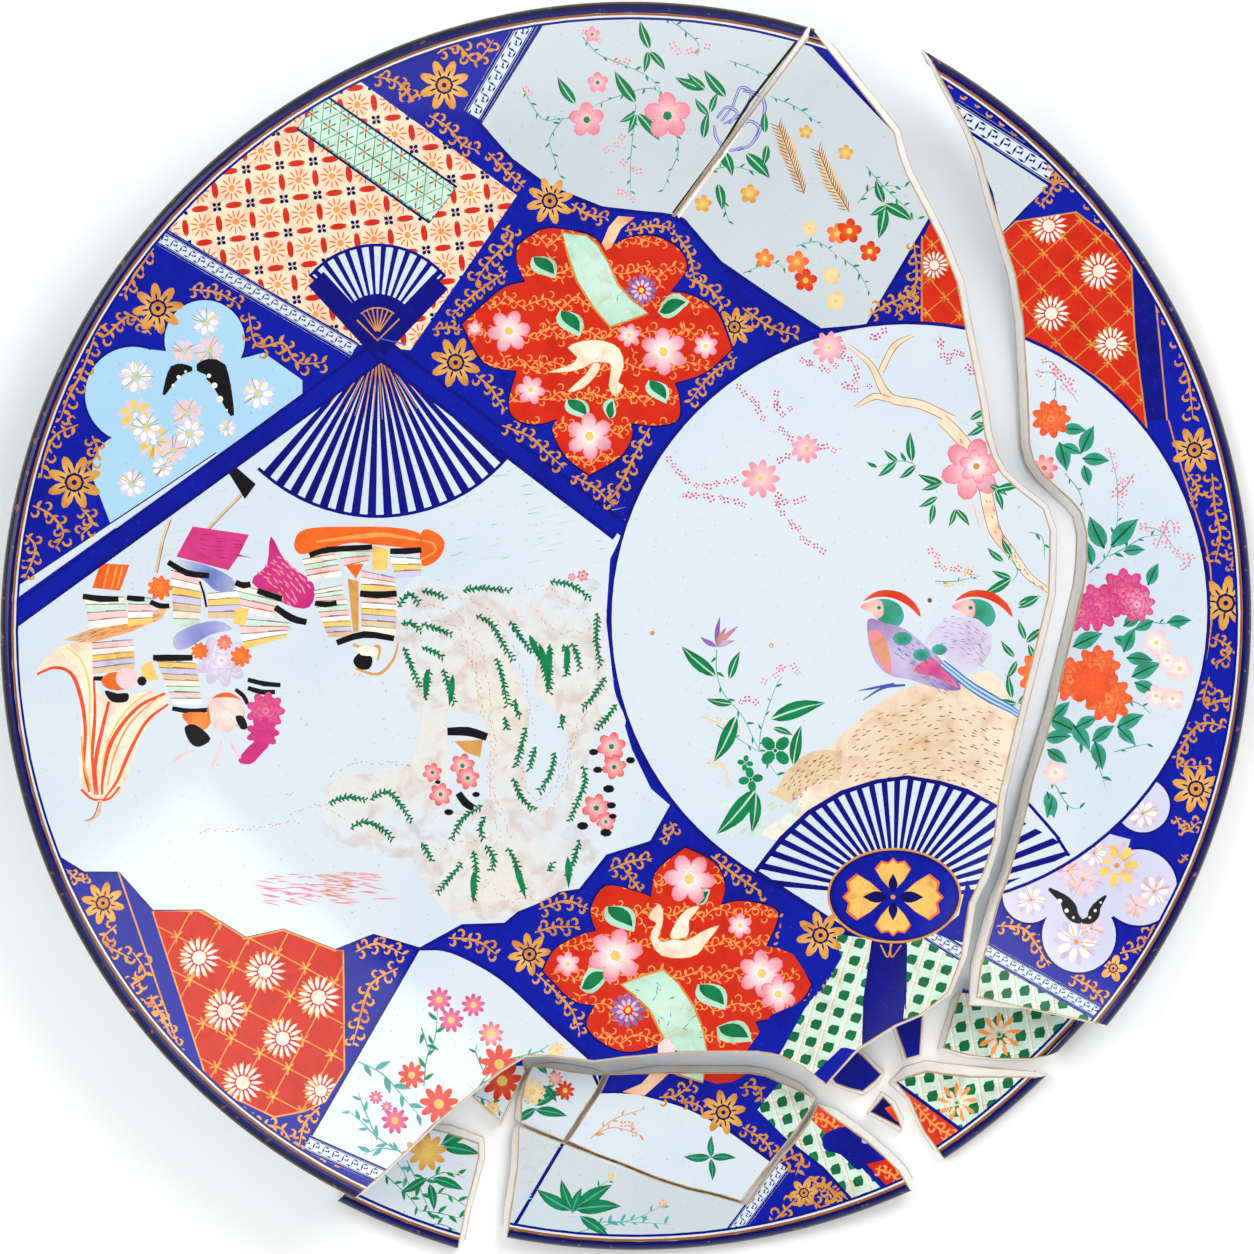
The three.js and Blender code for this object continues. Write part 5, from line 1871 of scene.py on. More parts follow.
    for points, width in (([(-101.5, -4.5), (-96.5, -6.5), (-92, -5.5), (-92.5, -10.5)], 1.6), ([(-100.5,
        -13.5), (-92.5, -15.5), (-87, -10.5), (-85, -4)], 1.2)):
        canvas.stroke(points, width, "ochre", (0.6, 0.4))
    canvas.area(smooth([(-101.5, -10.5), (-98.5, -7.5), (-94.5, -9.5), (-95.5, -13.5), (-99.5, -13.5)],
        True, 3), "black")
    canvas.area(smooth([(-99.5, -5.5), (-93.5, -5.5), (-92.5, -8.5), (-98.5, -8.5)], True, 3),
        "cream_light")
    peony(canvas, -172, 16, 4.7, ("orange", "light_orange"))
    peony(canvas, -149.5, -10.5, 9.9, ("lilac", "petal_white"))
    peony(canvas, -157.5, -7, 3.3, ("orange", "light_orange"))
    peony(canvas, -142.5, -9, 4, ("orange", "light_orange"))
    peony(canvas, -148.5, -4, 2.9, ("orange", "pale_pink"))
    peony(canvas, -133.5, -29, 7.3, ("magenta", "pink"))
    peony(canvas, -134.5, -37, 6.2, ("magenta", "deep_pink"))
    canvas.area(smooth([(-143.5, -47), (-137.5, -40), (-131, -39), (-136, -46), (-139.5, -48.5)], True,
        3), "deep_pink", "magenta")
    canvas.area(smooth([(-164, -30), (-153.5, -30), (-154.5, -35), (-159, -36)], True, 3), "light_orange",
        "orange")
    canvas.area(ring(-148, -29, 6.9, 18), "orange")
    canvas.area(smooth([(-153.5, -24.5), (-143.5, -24.5), (-141.5, -30), (-146.5, -36.5), (-152.5, -35),
        (-154, -29)], True, 4), "cream_light", "pale_pink")
    canvas.area(smooth([(-163, -35), (-159, -34), (-153.5, -39), (-157.5, -42), (-161, -40.5)], True, 3),
        "black")
    canvas.area(smooth([(-144.5, -31), (-141.5, -31), (-140, -35), (-142.5, -35.5)], True, 3), "black")
    canvas.area(ring(-187.5, -18, 5.8, 12, 0.6), "orange")
    canvas.area(ring(-184, -17, 4, 14), "pale_pink")
    canvas.area(smooth([(-192, -21.5), (-187.5, -22.5), (-183.5, -22.5), (-184, -25.5), (-189.5, -25.5)],
        True, 3), "black")
    canvas.area(ring(-178.5, -18, 1.8, 8), "black")
    for points in ([(-159, -43), (-164, -45), (-167.5, -48)], [(-149.5, -40), (-151.5, -46), (-154,
        -51.5)], [(-146.5, -40), (-144.5, -44), (-142.5, -46)]):
        canvas.stroke(points, 1.1, "pale_pink", (0.4, 0.6))
    dashes(canvas, [(-102.5, -16.5), (-100.5, -15.5), (-98.5, -16.5)], "pink", 2, 1.5, 0.3, 130)


def cartouche(canvas, shape, band, crescents, blossoms, bird, purple, seed, box):
    """A red panel with pointed lobes, a green scarf, blossoms, leaves and a cream bird."""
    canvas.area(spun_out(shape, 0.8), "night")
    panel = canvas.area(shape, "red")
    canvas.keep_inside(panel)
    chance = random.Random(seed)
    for number, level in enumerate(np.arange(box[1] + 4, box[3], 11.5)):
        wave = [(x, level + 2.2 * math.sin(x * 0.5 + number)) for x in np.arange(box[0], box[2], 5.0)]
        vine(canvas, wave, seed + number, 2.7, "light_orange", 0.5)
    for _ in range(30):
        x, y = chance.uniform(box[0], box[2]), chance.uniform(box[1], box[3])
        turn = chance.uniform(0, 360)
        for part in range(3):
            canvas.leaf(x, y, turn + part * 110, chance.uniform(1.6, 3.4), 0.7, "light_orange", bend=0.2)
    for x, y, size, turn in crescents:
        crescent(canvas, x, y, size, turn)
    for x, y, size in blossoms:
        soft_blossom(canvas, x, y, size, "petal_white", "yellow", 6, size * 31, "pink")
    scatter(canvas, [(*purple, 0)], 12, "purple", "yellow", 0.6, 0.3, 0.66, 0.3, 6)
    scatter(canvas, [(purple[0], purple[1], purple[2] * 0.66, 10)], 10, "lilac", "yellow", 0.6, 0.3, 0.66,
        0.3, 6)
    scarf = canvas.area(band, "mint", "pale_green")
    canvas.stroke(band, 0.8, "gold", closed=True, rounded=False)
    low, high = np.min(band, axis=0), np.max(band, axis=0)
    for _ in range(60):
        spot = np.array([chance.uniform(low[0], high[0]), chance.uniform(low[1], high[1])])
        canvas.keep_inside(scarf)
        canvas.leaf(*spot, chance.uniform(0, 360), 2.6, 0.5, chance.choice(("pale_green", "teal",
            "cream")), bend=0)
    canvas.keep_inside(None)
    for part in bird:
        canvas.area(smooth(part, True, 3), "cream_light", "cream")
        canvas.stroke(part, 0.2, "gold", closed=True, steps=2)


def spun_out(shape, amount):
    """The outline moved outwards from its middle."""
    shape = np.asarray(shape, float)
    middle = shape.mean(0)
    away = unit(shape - middle)
    return shape + away * amount


def lobes_of(points):
    """An outline with rounded lobes: a point whose third value is 1 stays a sharp corner."""
    sharp = [index for index, point in enumerate(points) if len(point) == 3]
    found = []
    for start, end in zip(sharp, sharp[1:] + [sharp[0] + len(points)]):
        part = [points[k % len(points)][:2] for k in range(start, end + 1)]
        found.append(smooth(part, False, 4)[:-1])
    return np.vstack(found)


def paint_cartouches(canvas):
    """The two red panels with lobes, one above and one below."""
    upper = lobes_of([(-41.5, 141, 1), (-32.5, 147), (-23.5, 147), (-14, 144.5), (-9, 139.5, 1), (-1,
        144), (9, 144.5), (17.5, 140), (20.5, 133), (14.5, 124.5, 1), (22.5, 123), (31.5, 117), (37,
        103.5, 1), (27.5, 95), (16, 91, 1), (17.5, 87), (17.5, 78), (9.5, 75.5), (0, 76.5, 1), (0.5,
        71.5), (-4, 64), (-15, 57.5, 1), (-23.5, 64), (-28.5, 73.5), (-26.5, 78, 1), (-34.5, 76), (-42,
        78), (-44.5, 84), (-41.5, 95.5, 1), (-53.5, 98.5), (-61.5, 112.5, 1), (-53.5, 120), (-46, 126),
        (-38.5, 128, 1), (-41.5, 135)])
    band = [(-25, 146), (-23, 138), (-19.5, 128), (-13.5, 118.5), (-7.5, 111.5), (6.5, 116.5), (1, 121),
        (-4.5, 127), (-8, 135), (-12, 141.5), (-16, 145)]
    bird = ([(-30.5, 95), (-23.5, 95), (-17.5, 96.5), (-13.5, 98.5), (-9, 98.5), (-7, 97), (-8, 90),
        (-5.5, 86), (-2.5, 90), (-4.5, 91.5), (-2.5, 97), (-4, 103.5), (-10, 106.5), (-17.5, 106.5), (-23,
        104), (-19.5, 100.5), (-22.5, 97.5)],
            [(-13.5, 98.5), (-16.5, 94), (-23, 88), (-17.5, 89), (-12.5, 94), (-11, 97.5)])
    cartouche(canvas, upper, band,
              ((-36, 137, 5.5, 300), (-26, 117.5, 5.8, 290), (10, 117, 5.8, 0),
               (-23.5, 85, 5.1, 300), (6.5, 92, 5.1, 290), (-8, 78, 3.7, 60)),
              ((-44.5, 110, 8), (12, 102.5, 8.8), (-0.5, 108.5, 4.4), (27.5, 104.5, 4.7),
               (-36.5, 88.5, 5.5), (-15, 71.5, 8.8), (-57, 111, 2.9)),
              bird, (4, 125, 6.2), 71, (-60, 59, 35, 145))
    canvas.area([(-4.5, 152), (1.5, 151.5), (-3.5, 147.5), (-7, 140.5), (-9, 139.5), (-10.5, 142), (-8,
        148)], "cream", "light_orange")
    lower = lobes_of([(20, -79, 1), (30.5, -84.5), (34.5, -92.5), (33, -100, 1), (41, -98.5), (53,
        -101.5), (53, -107.5), (49.5, -115, 1), (59.5, -118), (66, -129, 1), (62.5, -134.5), (53.5,
        -140.5), (45.5, -142.5, 1), (48.5, -149.5), (48, -155.5), (38.5, -161.5), (27.5, -156.5, 1),
        (18.5, -153.5), (10, -151, 1), (0, -153.5), (-9, -151), (-16, -144), (-13, -136.5, 1), (-21.5,
        -134.5), (-32, -124, 1), (-27.5, -116), (-18.5, -111), (-12.5, -109.5, 1), (-14.5, -101.5), (-9,
        -93), (2, -95), (7.5, -97, 1), (9, -88.5), (14.5, -83)])
    band = [(-3.5, -129), (4, -126), (12, -123.5), (17.5, -128.5), (23.5, -137.5), (26.5, -145.5), (28,
        -154), (16, -154), (11.5, -147.5), (7, -138.5), (2, -133.5)]
    bird = ([(6.5, -104.5), (10, -99.5), (12, -102.5), (11.5, -108), (10, -112), (12, -113.5), (15.5,
        -112.5), (20.5, -113), (25.5, -110), (32.5, -107.5), (27.5, -114), (24.5, -118), (18.5, -119.5),
        (11.5, -118.5), (8, -114.5), (7.5, -110), (9.5, -106.5)],
            [(14.5, -112), (16.5, -106.5), (20.5, -101.5), (25.5, -100.5), (21.5, -105.5), (21.5, -109),
                (20, -112)])
    cartouche(canvas, lower, band,
              ((-18.5, -130.5, 6.2, 10), (-9, -100.5, 6.6, 300), (24.5, -129, 6.6, 300),
               (31.5, -144.5, 6.6, 320), (24.5, -99.5, 3.3, 30)),
              ((-5.5, -118.5, 10.2), (21.5, -90.5, 9.5), (48, -125, 8.8), (54, -132.5, 6.9),
               (-23, -121.5, 4.7), (40, -107.5, 4.7)),
              bird, (-1, -138.5, 6.9), 72, (-29, -152.5, 62.5, -83))
    canvas.area([(10, -154), (10, -151), (13, -148), (16.5, -152), (16, -154)], "petal_white", "pale_pink")


def paint_cobalt_gilding(canvas):
    """Gold flowers and vines on the blue between the panels."""
    for number, (points, curl) in enumerate((
            ([(-93.5, 202.5), (-85, 200.5), (-79, 193.5), (-83, 198.5)], 3.0), ([(-70.5, 211), (-63.5,
                214), (-56.5, 208), (-50, 216)], 3.2),
            ([(-73.5, 188.5), (-66.5, 184), (-61.5, 178), (-56.5, 176)], 3.0), ([(-52, 175), (-45, 168),
                (-39, 162.5)], 2.6),
            ([(-21.5, 156.5), (-15.5, 152.5), (-9, 151.5)], 2.6), ([(-47, 147.5), (-43, 144.5), (-52,
                135), (-56.5, 128)], 3.2),
            ([(-45, 132), (-56.5, 124), (-65.5, 115.5)], 2.6), ([(-2, 146.5), (8, 148.5), (15.5, 147.5)],
                2.2),
            ([(16.5, 145.5), (21.5, 138), (23.5, 128)], 2.6), ([(21.5, 129), (29.5, 125), (34, 118.5)],
                3.0),
            ([(41, 118.5), (51, 111.5), (60.5, 108.5)], 3.0), ([(39, 100.5), (29.5, 94), (21.5, 84)], 2.6),
            ([(-72.5, 110.5), (-66.5, 111.5), (-61.5, 110.5)], 2.2), ([(-56.5, 94), (-51, 89), (-46, 81)],
                3.0),
            ([(-47, 75.5), (-37, 71.5), (-31.5, 66.5), (-24.5, 60)], 3.2), ([(7, 74.5), (2, 65.5), (-4,
                53), (-8, 48)], 3.2),
            ([(-21.5, 57), (-13.5, 53), (-6, 46)], 2.8), ([(-174, 140), (-180.5, 131), (-184.5, 123)], 3.2),
            ([(-161, 125), (-151.5, 124), (-143.5, 120)], 2.6), ([(-139.5, 116.5), (-136.5, 104.5), (-127,
                105.5), (-122, 98.5), (-112.5, 98.5)], 3.4),
            ([(-175, 108.5), (-182.5, 115.5), (-192.5, 107.5), (-196.5, 113.5)], 3.2), ([(-195.5, 107.5),
                (-200.5, 94), (-205, 86), (-208, 77.5)], 3.6),
            ([(-201.5, 75.5), (-210, 71.5), (-214, 62.5), (-215, 56)], 3.4), ([(-196.5, 71.5), (-194.5,
                65.5), (-198.5, 60)], 3.0),
            ([(-218, 46), (-212, 43), (-207, 36.5), (-210, 30.5)], 3.4), ([(-200.5, 45), (-196.5, 40),
                (-200.5, 35.5)], 2.8),
            ([(-221, 35.5), (-217, 30.5), (-221, 19.5)], 3.2), ([(14.5, -69.5), (15.5, -73), (11.5, -76)],
                2.4),
            ([(-8, -87.5), (0, -84), (8, -83)], 2.8), ([(-2, -87.5), (2, -92.5), (4, -95.5)], 2.4),
            ([(-33.5, -101.5), (-23.5, -98.5), (-15.5, -101.5)], 2.8), ([(-35, -110), (-27.5, -108),
                (-18.5, -108)], 2.8),
            ([(-66.5, -112), (-56.5, -113), (-49, -118)], 3.0), ([(-34.5, -125), (-27.5, -131.5), (-21.5,
                -138.5), (-18.5, -146.5)], 3.0),
            ([(29.5, -82), (35, -86.5), (45, -93.5), (54, -98.5)], 3.0), ([(55.5, -101.5), (57.5, -108),
                (54, -114)], 2.6),
            ([(73.5, -123), (68.5, -130.5), (62.5, -138.5)], 2.8), ([(50, -146.5), (55.5, -144.5), (54.5,
                -153)], 3.2),
            ([(117.5, -105), (122.5, -103), (123.5, -108.5)], 2.4), ([(103.5, 142.5), (104.5, 128), (99.5,
                121)], 3.0),
            ([(87, 115.5), (94.5, 120), (105.5, 124)], 3.0), ([(96.5, 115.5), (102.5, 120), (105.5,
                116.5)], 2.4),
            ([(-206, -86.5), (-201.5, -90.5), (-197.5, -89.5)], 2.2), ([(-187.5, -107), (-192.5, -113),
                (-182.5, -119)], 3.4),
            ([(-181.5, -117), (-177, -125), (-182.5, -130.5), (-172, -142.5)], 3.6), ([(-175, -132.5),
                (-170, -142.5), (-165, -153)], 2.8),
            ([(-100.5, -117), (-92.5, -114), (-83, -118)], 3.0), ([(-85, -123), (-94.5, -128.5), (-98.5,
                -139.5), (-101.5, -151)], 3.4),
            ([(-146.5, -173.5), (-136.5, -179.5), (-127, -181.5), (-122, -191.5)], 3.4), ([(-113.5,
                -173.5), (-119, -179.5), (-121, -188.5)], 3.0),
            ([(-117, -193.5), (-109.5, -197), (-98.5, -205)], 2.8))):
        vine(canvas, points, 300 + number, curl)
    for x, y, size in ((-68, 199.5, 9.5), (-29.5, 157.5, 8.8), (-64, 98.5, 9.5), (38, 111.5, 7.3),
                       (-172.5, 118, 9.5), (-203, 54.5, 10.2), (-37, -118, 8), (69.5, -111, 9.5),
                       (-192.5, -99, 8)):
        gilt_flower(canvas, x, y, size, 8, x)
    for points in ([(-187, -87.5), (-162, -160)], [(106.5, 144.5), (106.5, 113.5)]):
        canvas.stroke(points, 0.6, "gold", rounded=False)


def paint_clouds(canvas):
    """The sky-blue lobed panel with pale flowers and a black butterfly."""
    lobed(canvas, ((-155.5, 106.5, 14.6), (-181.5, 86.5, 17.5), (-137.5, 84.5, 16.1), (-183, 59, 13.5)),
        "sky",
          ([(-175, 103), (-138.5, 99.5), (-120, 92), (-120, 83), (-187.5, 37), (-193, 48), (-186, 84.5)],))
    canvas.area([(-120, 83), (-120, 92), (-134, 102), (-171, 92), (-186.5, 73.5), (-196, 55.5), (-189.5,
        38.5)], "sky")
    chance = random.Random(7)
    for x, y, size, pot in ((-155, 113, 5.1, "petal_white"), (-180.5, 93, 6.2, "petal_white"),
                            (-136, 87, 5.8, "petal_white"), (-163, 102.5, 4.4, "pale_pink"),
                            (-154, 102.5, 5.5, "pale_pink"), (-162, 80, 5.5, "pale_pink"),
                            (-180.5, 79, 6.6, "yellow"), (-182, 54, 5.1, "petal_white"),
                            (-174, 69.5, 6.6, "yellow"), (-167, 66.5, 5.1, "pale_pink"),
                            (-161, 72.5, 5.5, "petal_white"), (-177, 74.5, 5.5, "petal_white"),
                            (-171, 60, 4, "petal_white"), (-147.5, 74.5, 3.3, "petal_white")):
        scatter(canvas, [(x, y, size * 1.15, 20)], 7, "cloud", "cloud", 0.7, 0.3, 0.6, 0.2, 7)
        scatter(canvas, [(x, y, size, 0)], 7, pot, "yellow" if pot != "yellow" else "petal_white", 0.66,
            0.4, 0.6, 0.34, 7)
        for _ in range(7):
            canvas.leaf(x, y, chance.uniform(0, 360), size * 1.2, 0.35, chance.choice(("teal", "gold",
                "yellow")))
    for spine, width in (([(-160, 96), (-166, 95), (-170.5, 86.5)], 5.5), ([(-158.5, 96.5), (-151.5, 95),
        (-145.5, 79)], 8.8)):
        canvas.stroke(spine, width, "black", (0.25, 0.15))
    for x, y, size in ((-165, 93, 0.8), (-167, 90, 0.6), (-162.5, 95, 0.5), (-154, 93.5, 0.8),
                       (-152, 90, 1.1), (-150, 85, 1.2), (-147.5, 81, 0.4)):
        canvas.area(ring(x, y, size, 8), "petal_white")


def paint_round_panel(canvas):
    """The round white panel: blossom twigs, a bough with a great blossom, two birds on a mound."""
    x, y = 101, 4.5
    canvas.area(ring(x, y, 109.2, 96), "line")
    canvas.area(ring(x, y, 107.9, 96), "white")
    canvas.area(smooth([(52.5, -76), (60.5, -64.5), (65.5, -51.5), (77, -38), (91.5, -25.5), (104.5,
        -19.5), (118, -19), (132, -14.5), (141.5, -30), (145.5, -40), (139.5, -76)], True), "tan",
        "cream_light")
    for number in range(16):
        base = np.array([(79, -42), (96.5, -35), (116, -32), (137.5, -40)]) + (0, -1.9 * number + 6)
        dashes(canvas, base, "brown" if number % 2 else "tan_dark", 2.6, 4.6, 0.5, 140 + number, 1.6)
    for spine, width in (([(55.5, -61.5), (60.5, -54.5), (68.5, -49), (77, -49)], 11),):
        canvas.stroke(spine, width, "tan", (0.6, 1))
    for number in range(6):
        dashes(canvas, np.array([(57.5, -59.5), (63.5, -52.5), (72.5, -47)]) + (number * 0.9 - 2,
            -number * 1.2 + 2), "brown", 2.2, 2.6, 0.4, 160 + number, 0.8)
    wisps(canvas, (31.5, -75, 60.5, -63.5), "mint", 50, 170, 40, 6, 1.2)
    bough = [(80, 104.5), (88, 97.5), (94.5, 86), (106.5, 83), (118, 77.5)]
    canvas.stroke(bough, 3.4, "brown", (0.35, 1.0))
    canvas.stroke(bough, 2.9, "cream", (0.3, 1.0))
    for points, width in (([(91.5, 95), (96.5, 104.5), (103.5, 108.5)], 2.0), ([(94.5, 85), (89, 86), (82,
        82)], 2.0),
                          ([(114, 77.5), (120, 71.5), (128, 60), (130.5, 48), (133.5, 36.5), (139.5,
                              28.5), (145.5, 20.5), (153, 15)], 4.4)):
        canvas.stroke(points, width + 0.5, "brown", (0.9, 0.35))
        canvas.stroke(points, width, "cream", (0.9, 0.3))
    dashes(canvas, [(119, 71.5), (132, 44), (137.5, 32.5), (145.5, 20.5), (151.5, 16)], "brown", 2.0, 2.2,
        0.35, 171, 1.6)
    twig_lines = (([(12.5, 63.5), (16.5, 59), (23.5, 54), (39, 55)], "magenta"), ([(54.5, 75.5), (60.5,
        68.5), (64.5, 66.5)], "magenta"),
                  ([(54, 62), (64.5, 66.5), (74.5, 67.5)], "magenta"), ([(17.5, 49), (29.5, 50), (42,
                      47)], "magenta"),
                  ([(53, 50), (57.5, 48), (64.5, 50)], "magenta"), ([(52, 49), (59.5, 38.5), (70.5,
                      28.5)], "magenta"),
                  ([(39, 90), (45, 84), (50, 77.5)], "magenta"), ([(54, 88), (54, 80), (60.5, 82)],
                      "magenta"),
                  ([(61.5, 101.5), (67.5, 97), (77, 96)], "magenta"), ([(77, 107.5), (79, 103.5), (78,
                      99.5)], "magenta"),
                  ([(87, 108.5), (89, 106.5), (93.5, 110.5)], "magenta"), ([(113, 108.5), (116, 98.5),
                      (120, 103.5), (125, 94)], "magenta"),
                  ([(80, 100.5), (83, 94), (79, 89), (87, 90)], "magenta"), ([(49, -18.5), (57.5, -12.5),
                      (63.5, -16.5)], "pink"),
                  ([(39, -25.5), (46, -24.5), (48, -23.5)], "magenta"), ([(123, 58), (127, 40), (129,
                      38.5)], "pale_pink"),
                  ([(109.5, 31.5), (112, 28.5), (115, 23.5), (128, 20.5)], "rose"), ([(111.5, 18.5), (118,
                      17), (126, 24.5)], "yellow"),
                  ([(25.5, -31), (31.5, -33), (41, -37)], "yellow"), ([(27.5, -48), (34, -49), (36,
                      -55.5)], "yellow"),
                  ([(50, -58.5), (54, -59.5), (55.5, -57.5)], "yellow"))
    for number, (points, pot) in enumerate(twig_lines):
        twig(canvas, points, 180 + number, pot, 1.45, 2.8)
    for x, y, size in ((47.5, 56, 7.3), (64, 67, 5.5), (72.5, 104, 6.2)):
        canvas.blossom(x, y, size, 9, "pink", "pale_pink", "yellow", 0, 0.16, 1.05)
    soft_blossom(canvas, 125, 59.5, 11.7, "pale_pink", "pale_pink", 6, 15)
    soft_blossom(canvas, 126.5, 60.5, 6.6, "petal_white", "gold", 6, 40)
    for number, (points, size) in enumerate((
            ([(31.5, -6.5), (31.5, -14.5), (34, -22.5), (41, -31), (47, -43), (54.5, -53.5)], 3.4),
                ([(103.5, 61.5), (98.5, 62.5), (89.5, 60)], 4.4),
            ([(47, -44), (48, -35), (53, -20.5), (55.5, -16.5)], 2.4), ([(31.5, -34), (41, -40), (47,
                -44)], 2.6),
            ([(111.5, 18.5), (119, 18.5), (128, 20.5)], 2.0), ([(137.5, 30.5), (141.5, 22.5), (139.5,
                18.5)], 2.8), ([(145.5, 36.5), (150.5, 34.5), (151.5, 26.5)], 2.8))):
        spray(canvas, points, 210 + number, size, "green", "teal", 0.35, 5.5)
    for x, y, heading, length in ((31.5, -16.5, 130, 17), (36, -17.5, 60, 11), (37.5, -26.5, 160, 10),
                                  (39, -30.5, 235, 19), (51, -32, 8, 21), (52, -35, 330, 8),
                                  (46, -57.5, 220, 22), (46, -58.5, 255, 15), (59.5, -49, 70, 15),
                                  (103, 62, 85, 11), (98, 62, 130, 7), (97.5, 62.5, 210, 9),
                                  (104.5, 61, 210, 8), (114.5, 54, 150, 10), (114, 54.5, 190, 8),
                                  (131, 54, 320, 8), (133.5, 52, 0, 10), (133.5, 52, 280, 8),
                                  (112.5, 49.5, 200, 8), (111, 47, 250, 8), (119, 45, 240, 7),
                                  (119, 45, 300, 8), (136.5, 25.5, 130, 8), (139.5, 19.5, 150, 8),
                                  (139.5, 19.5, 200, 12), (139.5, 27.5, 110, 8), (141.5, 10, 10, 9),
                                  (149.5, 13, 200, 9), (144.5, -3, 100, 8), (144.5, -4, 30, 9),
                                  (145.5, -4.5, 280, 8), (140.5, -9.5, 120, 8), (141.5, -10.5, 230, 8),
                                  (139.5, -24.5, 90, 9), (141.5, -26.5, 160, 9), (141.5, -26.5, 30, 8),
                                  (124, 77.5, 20, 8), (126, 76.5, 330, 7), (130, 75.5, 200, 8)):
        canvas.leaf(x, y, heading, length, max(2.0, length * 0.3), "green", "dark_green", "pale_green")
    scatter(canvas, [(53, -43.5, 7.3, 45), (44, -54, 5.1, 10), (42, -48, 3.3, 80)],
            4, "green", "dark_green", 0.8, 0.6, 0.5, 0.2, 9)
    for heading, length, pot in ((75, 11, "purple"), (35, 11, "pink"), (140, 7, "purple"), (10, 7,
        "lilac"), (55, 8, "ochre")):
        canvas.leaf(31.5, -5.5, heading, length, 2.0, pot, "purple")
    peony(canvas, 150, -15.5, 8.8, ("orange", "light_orange"), 10)
    for x, y, pot in ((8, -0.5, "ochre"), (51.5, -5, "gold"), (109.5, 11.5, "brown")):
        canvas.area(ring(x, y, 0.9, 9), pot)
    canvas.area(ring(51.5, -5, 0.45, 7), "white")
    for x, y in ((92.5, 9), (126, 9)):
        paint_bird(canvas, x, y)
    canvas.area(smooth([(86.5, 2), (88, 5), (93.5, 3), (100.5, 1), (109.5, -6.5), (116, -12.5), (120,
        -18.5), (120, -21.5), (111.5, -20.5), (102.5, -17.5), (96.5, -16.5), (91.5, -13.5), (88, -7.5)],
        True, 3), "lilac", "purple")
    canvas.area(smooth([(107.5, -4), (113, 3), (120, 5.5), (127, 4.5), (132, -1), (131, -8.5), (126,
        -13.5), (121, -15), (116, -10.5), (111.5, -5.5)], True, 3), "lilac", "cloud")
    canvas.area(smooth([(87, 0), (89, -7.5), (93.5, -14.5), (95.5, -14.5), (94.5, -6.5), (91.5, 0)], True,
        3), "ochre", "pink")
    for x, y, size in ((99.5, -2.5, 3.7), (106.5, -8.5, 3.3), (113, -6.5, 2.9)):
        canvas.area(ring(x, y, size, 10, 0.7), "green", "teal")
    canvas.area(smooth([(103.5, -14.5), (107.5, -10.5), (112, -10.5), (120, -20.5), (111.5, -16.5)], True,
        3), "magenta", "pink")
    for number in range(7):
        dashes(canvas, np.array([(97.5, -3), (106.5, -10.5), (118, -19.5)]) + (number * 1.0 - 3,
            number * 0.9 - 3), "wash", 3.2, 3.4, 0.35, 230 + number, 0.7)
        dashes(canvas, np.array([(112, 1), (121, 1), (130, -5.5)]) + (0, -number * 1.9 + 4), "purple",
            2.6, 3.2, 0.3, 240 + number, 0.8)
    for width, pot in ((3.6, "wash"), (2.4, "sky"), (0.5, "wash")):
        canvas.stroke([(114, -11.5), (124, -19.5), (132, -24.5), (139.5, -28.5), (145.5, -33)], width,
            pot, (0.8, 0.5))
    for points in ([(100.5, -19.5), (92.5, -20.5), (85, -25)], [(96.5, -19), (89.5, -20.5), (83.5, -21.5)]):
        canvas.stroke(points, 1.0, "wash", (0.9, 0.3))


def paint_bird(canvas, x, y):
    """The head of a crested bird, facing left."""
    head = np.array([(-6, 1.6), (-3, 3.2), (2, 3.4), (6, 1.2), (7.6, -3), (5.6, -6.4), (2, -6.6), (-1.6,
        -4.8), (-3.4, -1)])
    canvas.area(smooth(head, True, 3) + (x, y - 0.5), "green", "teal")
    canvas.area(smooth(np.array([(-8.6, 0.6), (-4, 3), (-0.6, 2.6), (0, -2), (-2.4, -3.6), (-4.8, -1.2)]),
        True, 3) + (x, y - 0.5), "cream", "pink")
    canvas.area(smooth(np.array([(-7.4, 2.2), (-2, 6.0), (6, 5.6), (12, 1.0), (13.6, -3.6), (9, 0.6), (3,
        3.4), (-3, 3.6)]), True, 3) + (x, y), "red", "orange_red")
    canvas.area(ring(x - 1.6, y - 0.2, 0.9, 8), "teal")
    canvas.area(ring(x - 1.6, y - 0.2, 0.4, 6), "black")


